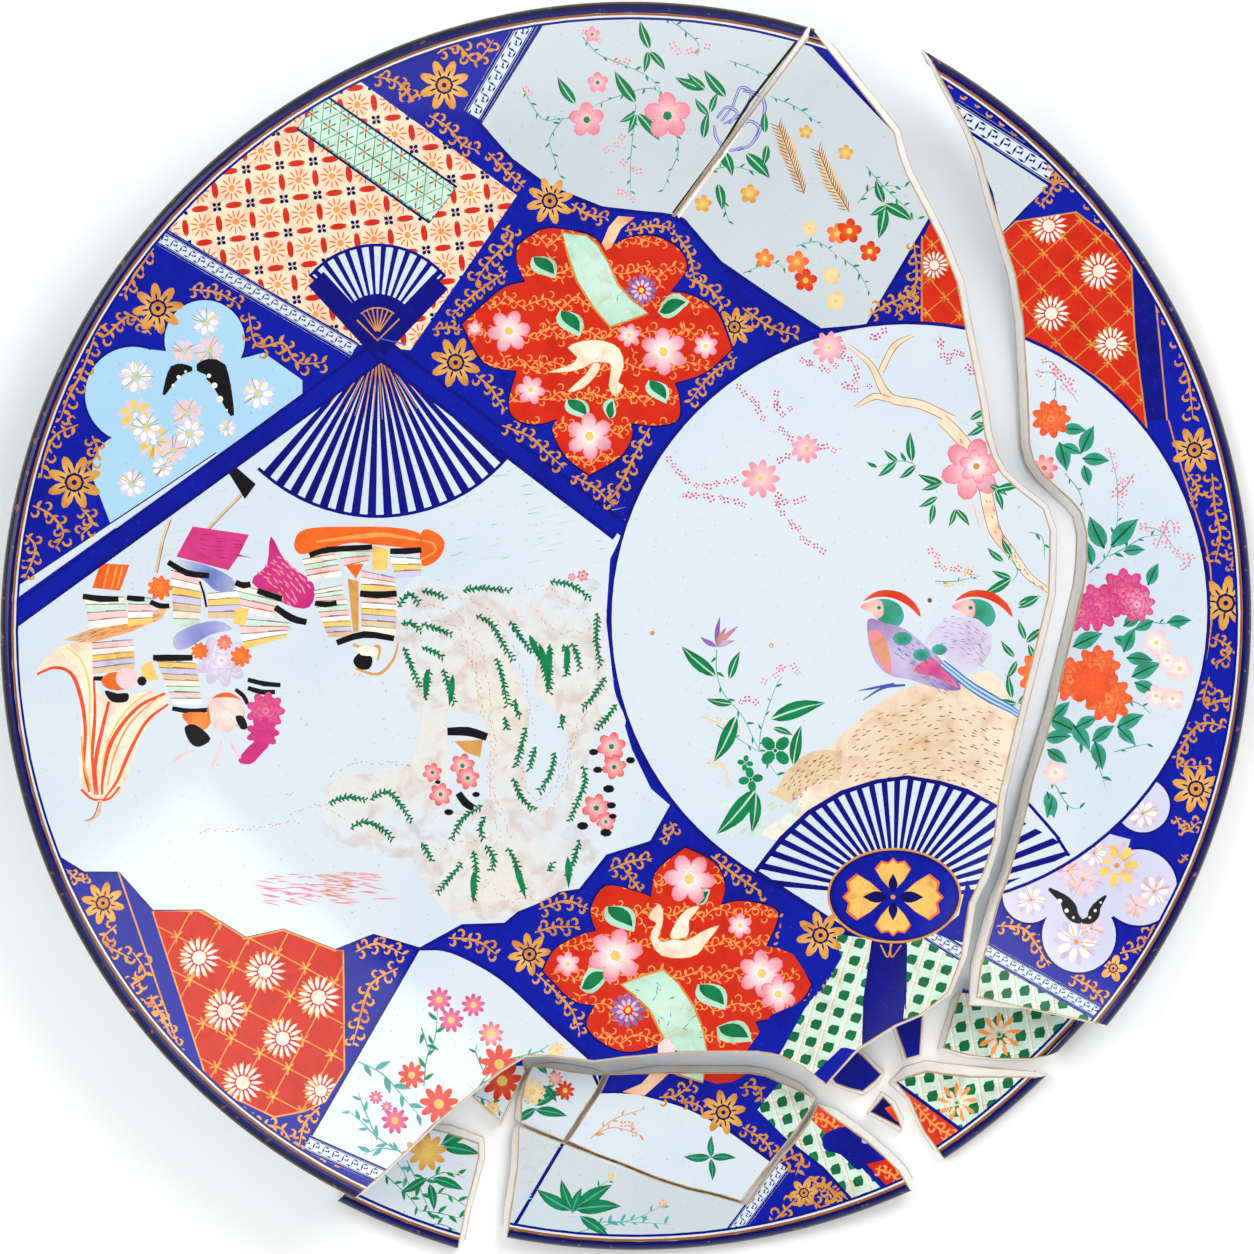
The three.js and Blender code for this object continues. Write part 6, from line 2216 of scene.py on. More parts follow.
def paint_lower_fan(canvas):
    """The fan at the lower right with its oval hub, handle and green net."""
    hub = 96.5, -96.5
    canvas.area([(45, -87.5), (77, -112.5), (121, -114.5), (135.5, -109), (150, -61.5), (134.5, -63.5),
        (123.5, -57.5), (113.5, -54.5), (101.5, -52.5), (90, -54), (77, -58), (64.5, -65.5), (54.5, -75)],
        "line")
    fan = canvas.area([(47, -87.5), (77, -107), (121, -112.5), (135.5, -105), (150, -61.5), (134, -64.5),
        (122.5, -59), (113, -56), (101.5, -54), (90.5, -55.5), (78, -59.5), (65.5, -67), (56, -76.5)],
        "white")
    canvas.keep_inside(fan)
    ribs(canvas, hub[0], hub[1], 3, 171, 27, 14.6, 58.4, 1.2, 2.8, "line")
    canvas.keep_inside(None)
    net = [(75, -110.5), (88.5, -112.5), (101, -110.5), (122.5, -110.5), (130, -116), (119, -138), (99,
        -141.5), (84.5, -153), (77, -152), (67, -161.5), (53.5, -155), (62.5, -138), (70.5, -130.5), (77,
        -119.5)]
    panel = canvas.area(net, "mint")
    green_net(canvas, panel, 91.5, -134.5, -17, 120)
    peony(canvas, 82.5, -161.5, 4.4, ("orange", "cream"))
    canvas.area([(46.5, -89.5), (62.5, -99.5), (75.5, -110.5), (73.5, -125), (64.5, -136.5), (54.5,
        -154.5), (41.5, -154.5), (51.5, -140), (64.5, -134.5), (67, -129), (59.5, -118), (53.5, -115.5),
        (56, -103.5), (48, -96)], "ground")
    canvas.area([(88.5, -110.5), (101, -110.5), (101, -130.5), (99.5, -142.5), (84.5, -153.5), (85,
        -134.5)], "line")
    for side in ([(88.5, -114.5), (86.5, -134.5), (85, -152.5)], [(101, -114.5), (100.5, -138)]):
        canvas.stroke(side, 0.4, "night", rounded=False)
    fret(canvas, (107, -109), (122.5, -118.5), 5.5)
    canvas.area([(123, -90.5), (126.5, -99.5), (124, -114.5), (111.5, -110.5), (120, -103.5)], "ground")
    canvas.area(ring(hub[0], hub[1], 24.5, 60, 0.71), "gold")
    canvas.area(ring(hub[0], hub[1], 23.7, 60, 0.7), "line")
    canvas.area(ring(hub[0], hub[1], 22.3, 60, 0.7), "ground")
    canvas.stroke([(91.5, -114.5), (94, -119), (95.5, -114)], 0.5, "gold")
    canvas.stroke([(99, -114.5), (95.5, -119), (95, -114)], 0.5, "gold")
    clover(canvas, 96, -97, 17.9, 13.9)
    gilt_flower(canvas, 69.5, -111, 9.1, 8, 12)


def paint_red_corner(canvas):
    """The red netted panel at the lower left and its blue and gold borders."""
    shape = [(-174.5, -102), (-156.5, -102), (-140.5, -112), (-127, -109), (-108, -116.5), (-105, -116.5),
        (-104.5, -160), (-111.5, -171.5), (-119, -175), (-130, -177), (-141.5, -171.5), (-153.5, -166.5)]
    panel = canvas.area(shape, "red")
    gold_net(canvas, panel, -140, -138, -28, 110, 11.7)
    canvas.stroke(shape, 0.6, "gold", closed=True, rounded=False)
    spots = ((-157.5, -119, 7.3), (-133.5, -124, 7.3), (-114, -133.5, 7.7), (-148, -138.5, 7.7),
             (-127, -148.5, 7.3), (-141.5, -164.5, 7.3), (-113, -167.5, 6.2))
    canvas.keep_inside(panel)
    daisies(canvas, [(x, y, size) for x, y, size in spots])
    canvas.keep_inside(None)


def paint_floral_panel(canvas):
    """The white panel of garden flowers at the bottom left."""
    shape = [(-77.5, -116), (-65.5, -117), (-47, -127), (-29, -143.5), (-13.5, -157.5), (-36, -157), (-47,
        -161.5), (-72.5, -180), (-89.5, -197), (-117, -184)]
    canvas.area(shape, "white")
    canvas.stroke([(-77.5, -116), (-117, -184.5)], 1.2, "line", rounded=False)
    canvas.stroke([(-77.5, -116), (-65.5, -117), (-47, -127), (-29, -143.5), (-13.5, -157.5)], 1.2, "line")
    for number, (points, size) in enumerate((
            ([(-75.5, -166), (-74.5, -156), (-71.5, -148.5), (-70.5, -138.5)], 5), ([(-76.5, -144.5),
                (-74.5, -150.5), (-73.5, -154)], 5), ([(-54, -160), (-56.5, -154), (-56, -150.5)], 3),
            ([(-99.5, -157), (-90, -162), (-81, -172.5), (-76.5, -177.5)], 6), ([(-83, -190.5), (-92.5,
                -184.5), (-98.5, -178.5), (-103.5, -174.5)], 4.5),
            ([(-84, -189.5), (-91, -188.5), (-97.5, -190.5)], 4.5), ([(-92.5, -185.5), (-97.5, -173.5),
                (-99.5, -168)], 4),
            ([(-44, -156), (-35, -154), (-29.5, -151)], 3), ([(-56.5, -168), (-54, -164), (-51, -161)],
                4))):
        spray(canvas, points, 250 + number, size, "teal" if number > 2 else "green", "teal", 0.5, 4.5)
    for x, y, size, pot, rim in ((-70, -134.5, 4.7, "magenta", "pink"), (-57.5, -136.5, 4.4, "magenta",
        "pink"),
                                 (-65.5, -142, 4.7, "magenta", "pink"), (-51, -147, 4.7, "rose",
                                     "pale_pink"),
                                 (-48, -158, 7.3, "orange_red", "rose"), (-70, -172.5, 7.3, "orange_red",
                                     "rose"),
                                 (-80, -162, 5.1, "orange_red", "rose"), (-86, -178.5, 5.1, "magenta",
                                     "pink"),
                                 (-93, -170, 2.6, "magenta", "pink"), (-89, -173.5, 2.2, "magenta", "pink"),
                                 (-27, -153, 3.3, "yellow", "cream"), (-77, -191.5, 6.9, "gold", "yellow"),
                                 (-74.5, -191.5, 6.6, "gold", "yellow")):
        canvas.blossom(x, y, size, 9, pot, rim, "yellow", 10, 0.26, 1.0)
    fret(canvas, (-118, -186.5), (-88.5, -199.5), 6.2)
    canvas.area([(-120, -190), (-89.5, -202.5), (-105.5, -213), (-120, -200)], "ground")


def paint_main():
    """The whole painting of the main shard, from the back of the stack to the front."""
    canvas = Canvas()
    paint_diaper(canvas)
    paint_top_panel(canvas)
    paint_clouds(canvas)
    paint_landscape(canvas)
    paint_fans_above(canvas)
    fret(canvas, (-36.5, 224), (-57.5, 188.5), 7.7)
    fret(canvas, (-174, 145.5), (-101, 103), 6.2)
    shape = [(106, 142), (109.5, 149.5), (122.5, 128.5), (130, 106.5), (106, 113)]
    panel = canvas.area(shape, "red")
    gold_net(canvas, panel, 115.5, 128.5, 40, 60, 8.8)
    canvas.keep_inside(panel)
    daisies(canvas, [(111, 134, 5.1)])
    canvas.keep_inside(None)
    paint_cobalt_gilding(canvas)
    paint_round_panel(canvas)
    paint_cartouches(canvas)
    paint_red_corner(canvas)
    paint_floral_panel(canvas)
    paint_lower_fan(canvas)
    # Painted shade: the black line along the crack stands for the shadow in its gap.
    canvas.stroke([(61.5, 216.5), (43, 193), (32, 175), (15.5, 153)], 1.0, "black", rounded=False)
    canvas.stroke([(63.5, 215), (45.5, 191.5), (34, 174), (17.5, 151.5)], 0.9, "petal_white", rounded=False)
    return canvas


# ---------------------------------------------------------------------------------------------
# The painting on the smaller shards.
# ---------------------------------------------------------------------------------------------
def paint_right():
    """The crescent from the right of the dish."""
    canvas = Canvas()
    fret(canvas, (117.5, 190.5), (154, 167.5), 8.8)
    canvas.outlined([(123, 183), (153, 163.5), (144.5, 154.5), (135.5, 145.5), (132, 160.5)],
        "grey_white", "line", 1.0)
    shape = [(135.5, 145), (141, 150), (163, 153.5), (183, 138.5), (184.5, 108.5), (189, 74.5), (186.5,
        74.5), (175, 90), (160, 100.5), (144, 106.5), (139.5, 133)]
    panel = canvas.area(shape, "red")
    gold_net(canvas, panel, 163, 118.5, 42, 150, 9.1)
    canvas.stroke(shape, 0.6, "gold", closed=True, rounded=False)
    canvas.keep_inside(panel)
    daisies(canvas, [(153, 148.5, 6.6), (171.5, 132, 6.9), (154, 116.5, 6.6), (176, 105.5, 6.2)])
    canvas.keep_inside(None)
    canvas.area([(183.5, 141.5), (190.5, 132), (196, 77.5), (189, 77.5), (185, 108.5)], "line")
    canvas.stroke([(191, 131.5), (193.5, 108.5), (196.5, 77.5)], 0.6, "gold", rounded=False)
    canvas.stroke([(197, 77.5), (203, 56), (211, 30.5), (213, 13), (212, -3), (208, -18.5), (197.5, -40)],
        0.6, "gold")
    for number, (points, curl) in enumerate((
            ([(109.5, 210), (116, 204.5), (124, 196.5), (132, 191.5), (137.5, 187.5), (145.5, 182),
                (151.5, 180)], 3.0), ([(153.5, 176), (155.5, 170), (154.5, 162.5), (149.5, 155.5)], 2.6),
            ([(158, 172), (157, 164), (165, 163.5), (171, 153.5), (179.5, 144.5)], 3.0), ([(193.5, 124),
                (196, 115.5), (199.5, 110.5)], 2.4),
            ([(200, 107.5), (204, 94), (206, 78)], 3.6), ([(204, 58), (208, 52), (205, 47)], 2.4),
            ([(213, 58), (214, 45), (216, 35.5), (214, 25.5)], 3.2), ([(222, 36.5), (221, 28.5), (220,
                22.5)], 2.2),
            ([(213, -2), (220, -6.5), (214, -12.5)], 2.6), ([(212, -16.5), (210, -26.5), (219, -24.5),
                (221, -30)], 3.2),
            ([(218, -35), (208, -34), (200, -48), (212, -49)], 3.0), ([(199.5, -67.5), (203, -73), (208,
                -69.5)], 2.4),
            ([(134, -107.5), (143.5, -108.5), (148.5, -114.5), (153, -122)], 3.0), ([(161, -126), (168.5,
                -130), (172.5, -134)], 2.6),
            ([(179, -117.5), (188, -114.5), (191.5, -107), (197.5, -102)], 2.8), ([(201.5, -81.5), (205,
                -85.5), (202.5, -92.5)], 2.2))):
        vine(canvas, points, 400 + number, curl)
    for x, y, size in ((206.5, 66.5, 8.8), (218, 10.5, 10.2), (207, -57.5, 9.1)):
        gilt_flower(canvas, x, y, size, 8, x)
    gilt_flower(canvas, 176.5, -123, 5.1, 5)
    lobed(canvas, ((186, -93.5, 13.9), (164, -111, 13.5), (146, -96.5, 9.9), (169.5, -90.5, 15.3),
                   (187.5, -63.5, 9.9)), "cloud")
    canvas.area([(138.5, -93.5), (150.5, -103), (162, -101), (173.5, -103), (177.5, -95), (183, -76),
        (164, -71)], "cloud")
    chance = random.Random(17)
    for x, y, size, pot in ((146.5, -98, 5.5, "petal_white"), (178, -85.5, 8.8, "yellow"),
                            (165.5, -90.5, 6.6, "pale_pink"), (191.5, -95, 5.8, "petal_white"),
                            (163, -113.5, 8, "petal_white"), (168.5, -108.5, 4.7, "pale_pink"),
                            (187.5, -66.5, 5.5, "petal_white"), (185, -100, 4.4, "pale_pink"),
                            (169.5, -81, 5.1, "petal_white"), (160, -87.5, 4.4, "pale_pink")):
        scatter(canvas, [(x, y, size * 1.15, 20)], 7, "lilac", "lilac", 0.7, 0.3, 0.6, 0.2, 7)
        scatter(canvas, [(x, y, size, 0)], 7, pot, "gold", 0.66, 0.4, 0.6, 0.24, 7)
        for _ in range(6):
            canvas.leaf(x, y, chance.uniform(0, 360), size * 1.2, 0.35, chance.choice(("rust", "gold",
                "yellow")))
    for spine, width in (([(153, -94), (159, -98.5), (162, -104), (165, -106)], 5.5), ([(174, -96.5),
        (170.5, -100.5), (168.5, -105), (165, -106)], 4.4)):
        canvas.stroke(spine, width, "black", (0.2, 0.3))
    for x, y, size in ((157, -98.5, 0.9), (159.5, -102, 0.8), (162, -104.5, 0.5), (170, -102, 0.6),
                       (168, -104.5, 0.5), (172, -99, 0.4)):
        canvas.area(ring(x, y, size, 8), "petal_white")
    x, y = 104, 7.5
    canvas.area(ring(x, y, 108.4, 96), "line")
    canvas.area(ring(x, y, 107.2, 96), "white")
    for number, (points, pot) in enumerate((
            ([(178.5, 45), (178, 56), (175, 67.5)], "pink"), ([(184.5, 58), (180.5, 52), (176, 49)],
                "pink"),
            ([(186.5, 38.5), (194.5, 36.5), (203, 24.5)], "pink"), ([(192.5, 30.5), (197.5, 41), (199.5,
                34.5)], "pink"),
            ([(149.5, 95), (155.5, 94), (164, 84)], "pink"), ([(150.5, 98.5), (154.5, 98.5), (161, 91)],
                "rose"),
            ([(202, 22.5), (205, 25.5), (204, 28.5)], "pink"))):
        twig(canvas, points, 420 + number, pot, 1.7, 3.0, "teal")
    for number, (points, size) in enumerate((
            ([(168, 21.5), (175, 28.5), (178, 38.5), (178.5, 45)], 3), ([(175, 27.5), (182.5, 31.5),
                (187.5, 34.5), (194.5, 35.5)], 3.4),
            ([(159, 58), (164, 52), (166.5, 44)], 2.4), ([(186.5, 5), (194.5, 3), (202, 4)], 3.4),
            ([(153.5, -52.5), (160, -63.5), (165, -64.5)], 3.4), ([(163, -39), (170, -46), (174, -57.5)],
                3.6),
            ([(180.5, -24.5), (186.5, -26.5), (190.5, -30)], 3.0), ([(177, -44), (184.5, -42), (189.5,
                -41)], 2.4),
            ([(155.5, 92), (155.5, 86), (153.5, 84)], 2.4))):
        spray(canvas, points, 430 + number, size, "green", "teal", 0.4, 5.0)
    for x, y, heading, length in (
            (158, 74.5, 350, 9), (157, 69.5, 280, 11), (158, 68.5, 330, 8), (165, 65.5, 60, 11),
            (165.5, 63.5, 350, 10), (166, 61, 280, 8), (173.5, 30.5, 110, 13), (176, 31.5, 40, 14),
            (180.5, 29.5, 0, 8), (169, 24.5, 100, 10), (189.5, 17, 60, 9), (180.5, 2, 30, 9),
            (177, -2, 330, 8), (162, -5.5, 20, 12), (180.5, -7.5, 60, 10), (181.5, -9.5, 350, 10),
            (183.5, -16.5, 20, 12), (184.5, -18.5, 330, 10), (196.5, 3.5, 0, 9), (191.5, 4, 200, 8),
            (153.5, -32, 330, 12), (154.5, -32, 40, 9), (162, -34, 300, 11), (163, -35, 20, 9),
            (178, -35, 20, 11), (178.5, -35, 310, 9), (169, -40, 30, 10), (170, -40, 280, 11),
            (151.5, -39, 0, 10), (152.5, -43, 320, 9), (152.5, -58.5, 280, 10), (154.5, -60.5, 250, 8)):
        canvas.leaf(x, y, heading, length, length * 0.5, "green", "teal", "dark_green", 0.08)
    for x, y, size in ((192.5, -4, 5.1), (201, -13.5, 5.1), (196.5, -10.5, 4), (192.5, -23.5, 4.4),
                       (198.5, -24.5, 4.4), (155.5, -51.5, 4.7)):
        soft_blossom(canvas, x, y, size, "petal_white", "yellow", 5, size * 40, "pale_pink")
    peony(canvas, 154, 78, 7.3, ("orange_red", "light_orange"))
    canvas.blossom(151.5, 60, 5.1, 7, "rose", "pale_pink", "orange", 0, 0.2, 1.0)
    peony(canvas, 180.5, 14, 9.5, ("magenta", "pink"), 10)
    peony(canvas, 171, 9, 9.1, ("magenta", "pink"), 30)
    peony(canvas, 185.5, 10, 6.9, ("magenta", "pale_pink"), 50)
    peony(canvas, 165, 7, 7.3, ("magenta", "pink"), 50)
    peony(canvas, 161, -17.5, 8.4, ("orange_red", "light_orange"), 10)
    peony(canvas, 171, -13.5, 8.8, ("orange_red", "light_orange"), 10)
    peony(canvas, 175, -24.5, 9.1, ("orange_red", "light_orange"), 40)
    peony(canvas, 168.5, -19.5, 8, ("orange_red", "orange"), 70)
    fan = canvas.area([(135, -74), (140.5, -65.5), (144.5, -70), (152, -74), (157, -77), (160.5, -81.5),
        (138.5, -92), (135, -94.5)], "white")
    canvas.keep_inside(fan)
    ribs(canvas, 96.5, -99.5, 5, 60, 12, 32.9, 69.4, 2.0, 2.6, "line")
    canvas.keep_inside(None)
    canvas.stroke([(143.5, -60.5), (151.5, -69.5), (157, -76)], 1.2, "line")
    canvas.stroke([(156, -75), (158.5, -79), (160.5, -82)], 1.2, "line")
    fret(canvas, (127.5, -115), (174.5, -141), 5.5)
    net = canvas.area([(123.5, -117.5), (129.5, -119.5), (171.5, -143), (169.5, -146.5), (144.5, -139.5),
        (123.5, -137.5)], "mint")
    green_net(canvas, net, 144.5, -134, 8, 150)
    return canvas


def paint_bottom():
    """The shards from the bottom of the dish."""
    canvas = Canvas()
    canvas.area([(-105.5, -159), (-39, -159), (-12.5, -159), (-11, -168), (-24.5, -187), (-45.5, -222.5),
        (-66.5, -232.5), (-105.5, -232.5)], "white")
    canvas.area([(-42, -180.5), (-24.5, -187.5), (-45.5, -222.5), (-47, -224.5), (-47, -180.5)],
        "grey_white")
    canvas.area([(-11, -168.5), (-2, -168.5), (5, -169.5), (21.5, -174.5), (36, -182.5), (52.5, -194.5),
        (54, -197), (42, -210), (21.5, -204), (-6, -195.5), (-24.5, -187)], "white")
    canvas.area([(-24.5, -187), (-6, -195.5), (21.5, -204), (45, -211), (31.5, -223.5), (-8, -225.5),
        (-45.5, -222.5)], "grey_white")
    canvas.stroke([(-11, -168.5), (-2, -168.5), (5, -169.5), (21.5, -174.5), (36, -182.5), (52.5,
        -194.5)], 1.2, "line")
    canvas.stroke([(-14, -161), (-11, -168), (-24.5, -187), (-45.5, -222.5)], 1.3, "line", rounded=False)
    fret(canvas, (56, -195.5), (35, -223.5), 5.8)
    for number, (points, size, pot) in enumerate((
            ([(-14.5, -185.5), (-6, -178.5), (6, -174.5)], 2.4, "ochre"), ([(-13.5, -184.5), (-6, -181.5),
                (4, -184.5)], 2.4, "rust"),
            ([(-21.5, -220.5), (-8, -217), (2, -215), (13.5, -209)], 3.6, "teal"), ([(-17.5, -217), (-6,
                -216), (14.5, -217)], 3.4, "teal"),
            ([(-21.5, -213), (-15.5, -206), (-6, -199.5)], 2.4, "green"), ([(-41, -190.5), (-34.5,
                -186.5), (-27.5, -189.5)], 3.4, "grey_mist"),
            ([(-41, -198), (-35, -192.5), (-30.5, -195)], 3.4, "grey_mist"), ([(-40, -202), (-34.5, -198),
                (-33.5, -191.5)], 3.4, "grey_mist"),
            ([(-76.5, -202), (-68.5, -198), (-60.5, -200)], 4.4, "green"), ([(-76.5, -206), (-67.5, -206),
                (-59.5, -211)], 4.4, "green"),
            ([(-76.5, -212), (-69.5, -213), (-61.5, -215)], 4.2, "green"), ([(-76.5, -217.5), (-69.5,
                -217), (-63.5, -219.5)], 4.2, "green"),
            ([(-82, -193.5), (-77.5, -203), (-72.5, -215)], 4.4, "green"), ([(-39, -172), (-33.5, -170),
                (-27.5, -163)], 3.4, "green"),
            ([(-91, -198), (-82, -206), (-76.5, -213)], 4.0, "green"), ([(-88, -191.5), (-83, -198), (-80,
                -206)], 4.0, "teal"),
            ([(-29.5, -167), (-25.5, -170), (-21.5, -172.5)], 2.4, "green"), ([(-56.5, -170), (-51,
                -172.5), (-47, -176.5)], 3.2, "green"))):
        spray(canvas, points, 500 + number, size, pot, pot, 0.35, 4.0)
    wisps(canvas, (-43, -222.5, -21.5, -207), "sky", 40, 520, 10, 6, 0.5)
    wisps(canvas, (-65.5, -198, -56, -188.5), "pale_pink", 14, 521, -20, 6, 0.5)
    for x, y, heading, length in (
            (-21.5, -212, 100, 12), (-21.5, -212, 140, 15), (-21, -212, 25, 17), (-20.5, -211.5, 355, 17),
            (-21.5, -213, 60, 10), (-18.5, -214, 315, 13), (29.5, -192.5, 80, 8), (29.5, -192.5, 170, 10),
            (29.5, -192.5, 350, 9), (29.5, -193, 265, 8), (-35, -173.5, 20, 11), (-35, -175, 340, 12),
            (-34.5, -174.5, 200, 10), (-69.5, -188, 20, 16), (-69, -188.5, 340, 14), (-30.5, -162, 120, 8),
            (-32, -166, 300, 8), (-56.5, -169, 120, 8), (-56.5, -169, 200, 8), (-74.5, -200, 200, 11),
            (-72.5, -200, 330, 12), (-73.5, -202, 270, 10)):
        canvas.leaf(x, y, heading, length, length * 0.32, "green", "dark_green", "teal")
    for x, y, size, pot, rim in ((-47, -164.5, 7.7, "red", "orange_red"), (-24, -168, 3.7, "red",
        "orange_red"),
                                 (-27.5, -163.5, 2.9, "rose", "pale_pink"), (-36, -168.5, 5.1, "yellow",
                                     "cream"),
                                 (-74.5, -190.5, 7.3, "gold", "yellow"), (-82, -185.5, 5.1, "gold",
                                     "yellow"),
                                 (-50.5, -174.5, 2.9, "yellow", "cream")):
        canvas.blossom(x, y, size, 9, pot, rim, "yellow", 10, 0.26, 1.0)
    twig(canvas, [(-4, -180.5), (0, -179.5), (3, -184.5)], 530, "rust", 1.4, 2.4)
    twig(canvas, [(-9, -200), (-7, -198.5), (-6, -200.5)], 531, "yellow", 1.6, 2.4)
    twig(canvas, [(10.5, -212), (12.5, -210), (14.5, -208)], 532, "light_orange", 1.6, 2.4)
    canvas.area(lobes_of([(25.5, -160, 1), (26, -163.5), (31.5, -165.5, 1), (38, -164.5), (45, -160, 1)]),
        "red")
    canvas.area([(14.5, -160), (17.5, -162.5), (26.5, -165), (27, -160)], "mint", "pale_green")
    canvas.stroke([(16.5, -162), (26.5, -165), (27, -161)], 0.7, "gold", rounded=False)
    canvas.area([(8.5, -160.5), (15, -161), (10.5, -165), (5, -170), (-3, -168.5), (4, -165.5)], "cream",
        "light_orange")
    for number, (points, curl) in enumerate((
            ([(10.5, -170.5), (16.5, -170), (22, -166)], 3.0), ([(40, -167), (47, -167), (48, -172.5)],
                3.2),
            ([(18.5, -172.5), (22.5, -172.5), (26.5, -174.5)], 2.4), ([(41, -181.5), (49, -186.5), (52,
                -191.5)], 2.6),
            ([(54.5, -194.5), (62.5, -191.5), (60.5, -199)], 3.4), ([(51, -217.5), (55.5, -213), (62.5,
                -206)], 3.4),
            ([(63.5, -206), (70.5, -202), (77, -208)], 3.4), ([(64.5, -207), (70.5, -212), (68.5, -216)],
                2.8),
            ([(65.5, -200.5), (73, -204), (80, -208)], 3.0), ([(71, -211), (75, -207), (79, -205)], 2.6))):
        vine(canvas, points, 540 + number, curl)
    gilt_flower(canvas, 34, -176, 8.4, 8, 10)
    gilt_flower(canvas, 63.5, -205.5, 5.5, 6, 10)
    net = canvas.area([(46.5, -175), (55, -164.5), (70.5, -171), (76, -188.5), (60.5, -189.5), (55.5,
        -184), (50, -178.5)], "mint")
    green_net(canvas, net, 60.5, -176.5, 17, 130)
    lower = canvas.area([(57, -187), (64.5, -177), (77, -188.5), (94, -206), (99.5, -212), (85, -213),
        (70.5, -196)], "mint")
    green_net(canvas, lower, 76, -199, 17, 150)
    canvas.stroke([(55.5, -185), (70.5, -196.5), (85, -212.5)], 1.2, "line", rounded=False)
    red = canvas.area([(64, -176.5), (69.5, -172.5), (80, -177.5), (81, -184.5), (77, -188.5), (70.5,
        -183)], "red", "orange_red")
    canvas.keep_inside(red)
    vine(canvas, [(66.5, -177.5), (72.5, -179.5), (78, -184.5)], 560, 2.2, "light_orange")
    canvas.keep_inside(None)
    canvas.area(smooth([(71, -184), (79, -181), (85.5, -182), (94.5, -192), (86.5, -195), (83, -197), (77,
        -191.5), (71, -189.5)], True, 3), "line", "ground")
    canvas.area(ring(86, -186.5, 1.4, 9, 0.7), "wash", "white")
    canvas.outlined([(86, -195), (94.5, -192.5), (104.5, -203), (96, -206)], "red", "line", 1.0)
    vine(canvas, [(89.5, -196.5), (95.5, -198.5), (99, -202)], 561, 2.2, "light_orange")
    canvas.stroke([(-45.5, -222.5), (-21.5, -224.5), (2, -225), (29.5, -223.5)], 1.6, "ground")
    return canvas


def paint_corner():
    """The lattice shards and the blue chips from the lower right."""
    canvas = Canvas()
    net = canvas.area([(110, -156), (119.5, -132), (127, -133), (146.5, -137.5), (169.5, -142.5), (164,
        -151), (154, -159), (131, -159.5)], "mint")
    green_net(canvas, net, 139.5, -148, 10, 180, 7.0)
    scatter(canvas, [(135, -147.5, 8.8, 10)], 9, "light_orange", "tan", 0.7, 0.22, 0.6, 0.3, 7)
    scatter(canvas, [(135, -147.5, 6.2, 0)], 9, "cream", "green", 0.6, 0.24, 0.6, 0.22, 7)
    net = canvas.area([(96, -164), (109, -160), (131, -161.5), (154, -160), (146.5, -170.5), (124.5,
        -185)], "mint")
    green_net(canvas, net, 125, -170.5, 10, 160, 7.0)
    scatter(canvas, [(119.5, -172.5, 8, 10)], 9, "light_orange", "tan", 0.7, 0.22, 0.6, 0.3, 7)
    scatter(canvas, [(119.5, -172.5, 5.5, 0)], 9, "cream", "green", 0.6, 0.24, 0.6, 0.22, 7)
    red = canvas.area([(98.5, -166.5), (124.5, -185.5), (115, -195), (107, -182)], "red", "orange_red")
    canvas.keep_inside(red)
    vine(canvas, [(104, -172.5), (111.5, -181), (119.5, -186), (115.5, -190.5)], 570, 2.6, "light_orange")
    canvas.keep_inside(None)
    canvas.stroke([(96, -164), (124.5, -185)], 1.3, "line", rounded=False)
    canvas.area([(95.5, -145), (105, -140.5), (108, -140.5), (106, -157), (100, -157)], "line", "ground")
    canvas.area([(58, -143.5), (86.5, -152), (92.5, -161), (84.5, -169.5), (58, -169.5)], "line", "ground")
    canvas.area([(84.5, -176), (93, -167.5), (96.5, -168.5), (102, -184)], "night")
    canvas.area([(93, -174.5), (96.5, -173), (100.5, -180.5), (97, -179)], "red", "orange")
    return canvas


CANVASES = (
    (("main_shard",), paint_main),
    (("right_shard",), paint_right),
    (("left_panel_shard", "fan_panel_shard", "bottom_rim_shard", "leaf_chip", "floral_rim_shard"),
        paint_bottom),
    (("lattice_rim_shard", "corner_rim_shard", "blue_chip", "red_blue_chip", "handle_chip"), paint_corner),
)




# ---------------------------------------------------------------------------------------------
# The add-on.
# ---------------------------------------------------------------------------------------------
def tint(name, pot, words):
    """A colour the user can change, which starts as the pot's own."""
    start = tuple(share / 255 for share in POTS[pot][1])
    return FloatVectorProperty(name=name, description=words, subtype="COLOR_GAMMA", size=3,
                               default=start, min=0.0, max=1.0)


class ChargerSettings(bpy.types.PropertyGroup):
    """What can be changed before the pieces are built."""

    white: tint("White glaze", "white", "Colour of the porcelain under the clear glaze")
    ground: tint("Cobalt ground", "ground", "Colour of the blue ground between the panels")
    line: tint("Cobalt line", "line", "Colour of the painted blue lines and ribs")
    red: tint("Red enamel", "red", "Colour of the red panels")
    green: tint("Green enamel", "green", "Colour of the leaves and the lattice")
    gold: tint("Gold", "gold", "Colour of the gilt scrolls and flowers")
    worn_edge: FloatProperty(
        name="Worn edge", description="Width of the worn line along a broken glaze edge",
        subtype="DISTANCE", unit="LENGTH", default=0.00035, min=0.0001, max=0.002)
    floor_colour: FloatVectorProperty(
        name="Floor", description="Colour of the pale floor", subtype="COLOR_GAMMA", size=3,
        default=(0.988, 0.988, 0.988), min=0.0, max=1.0)
    camera_height: FloatProperty(
        name="Camera height", description="How far above the floor the camera stands",
        subtype="DISTANCE", unit="LENGTH", default=10.0, min=2.0, max=15.0)
    lamp_power: FloatProperty(
        name="Lamp power", description="How strong the lamps and the sky are, against their usual strength",
        subtype="FACTOR", default=1.0, min=0.0, max=4.0)


CACHE = {}


def cached(make):
    """What a function without arguments gives, worked out once."""
    if make.__name__ not in CACHE:
        CACHE[make.__name__] = make()
    return CACHE[make.__name__]


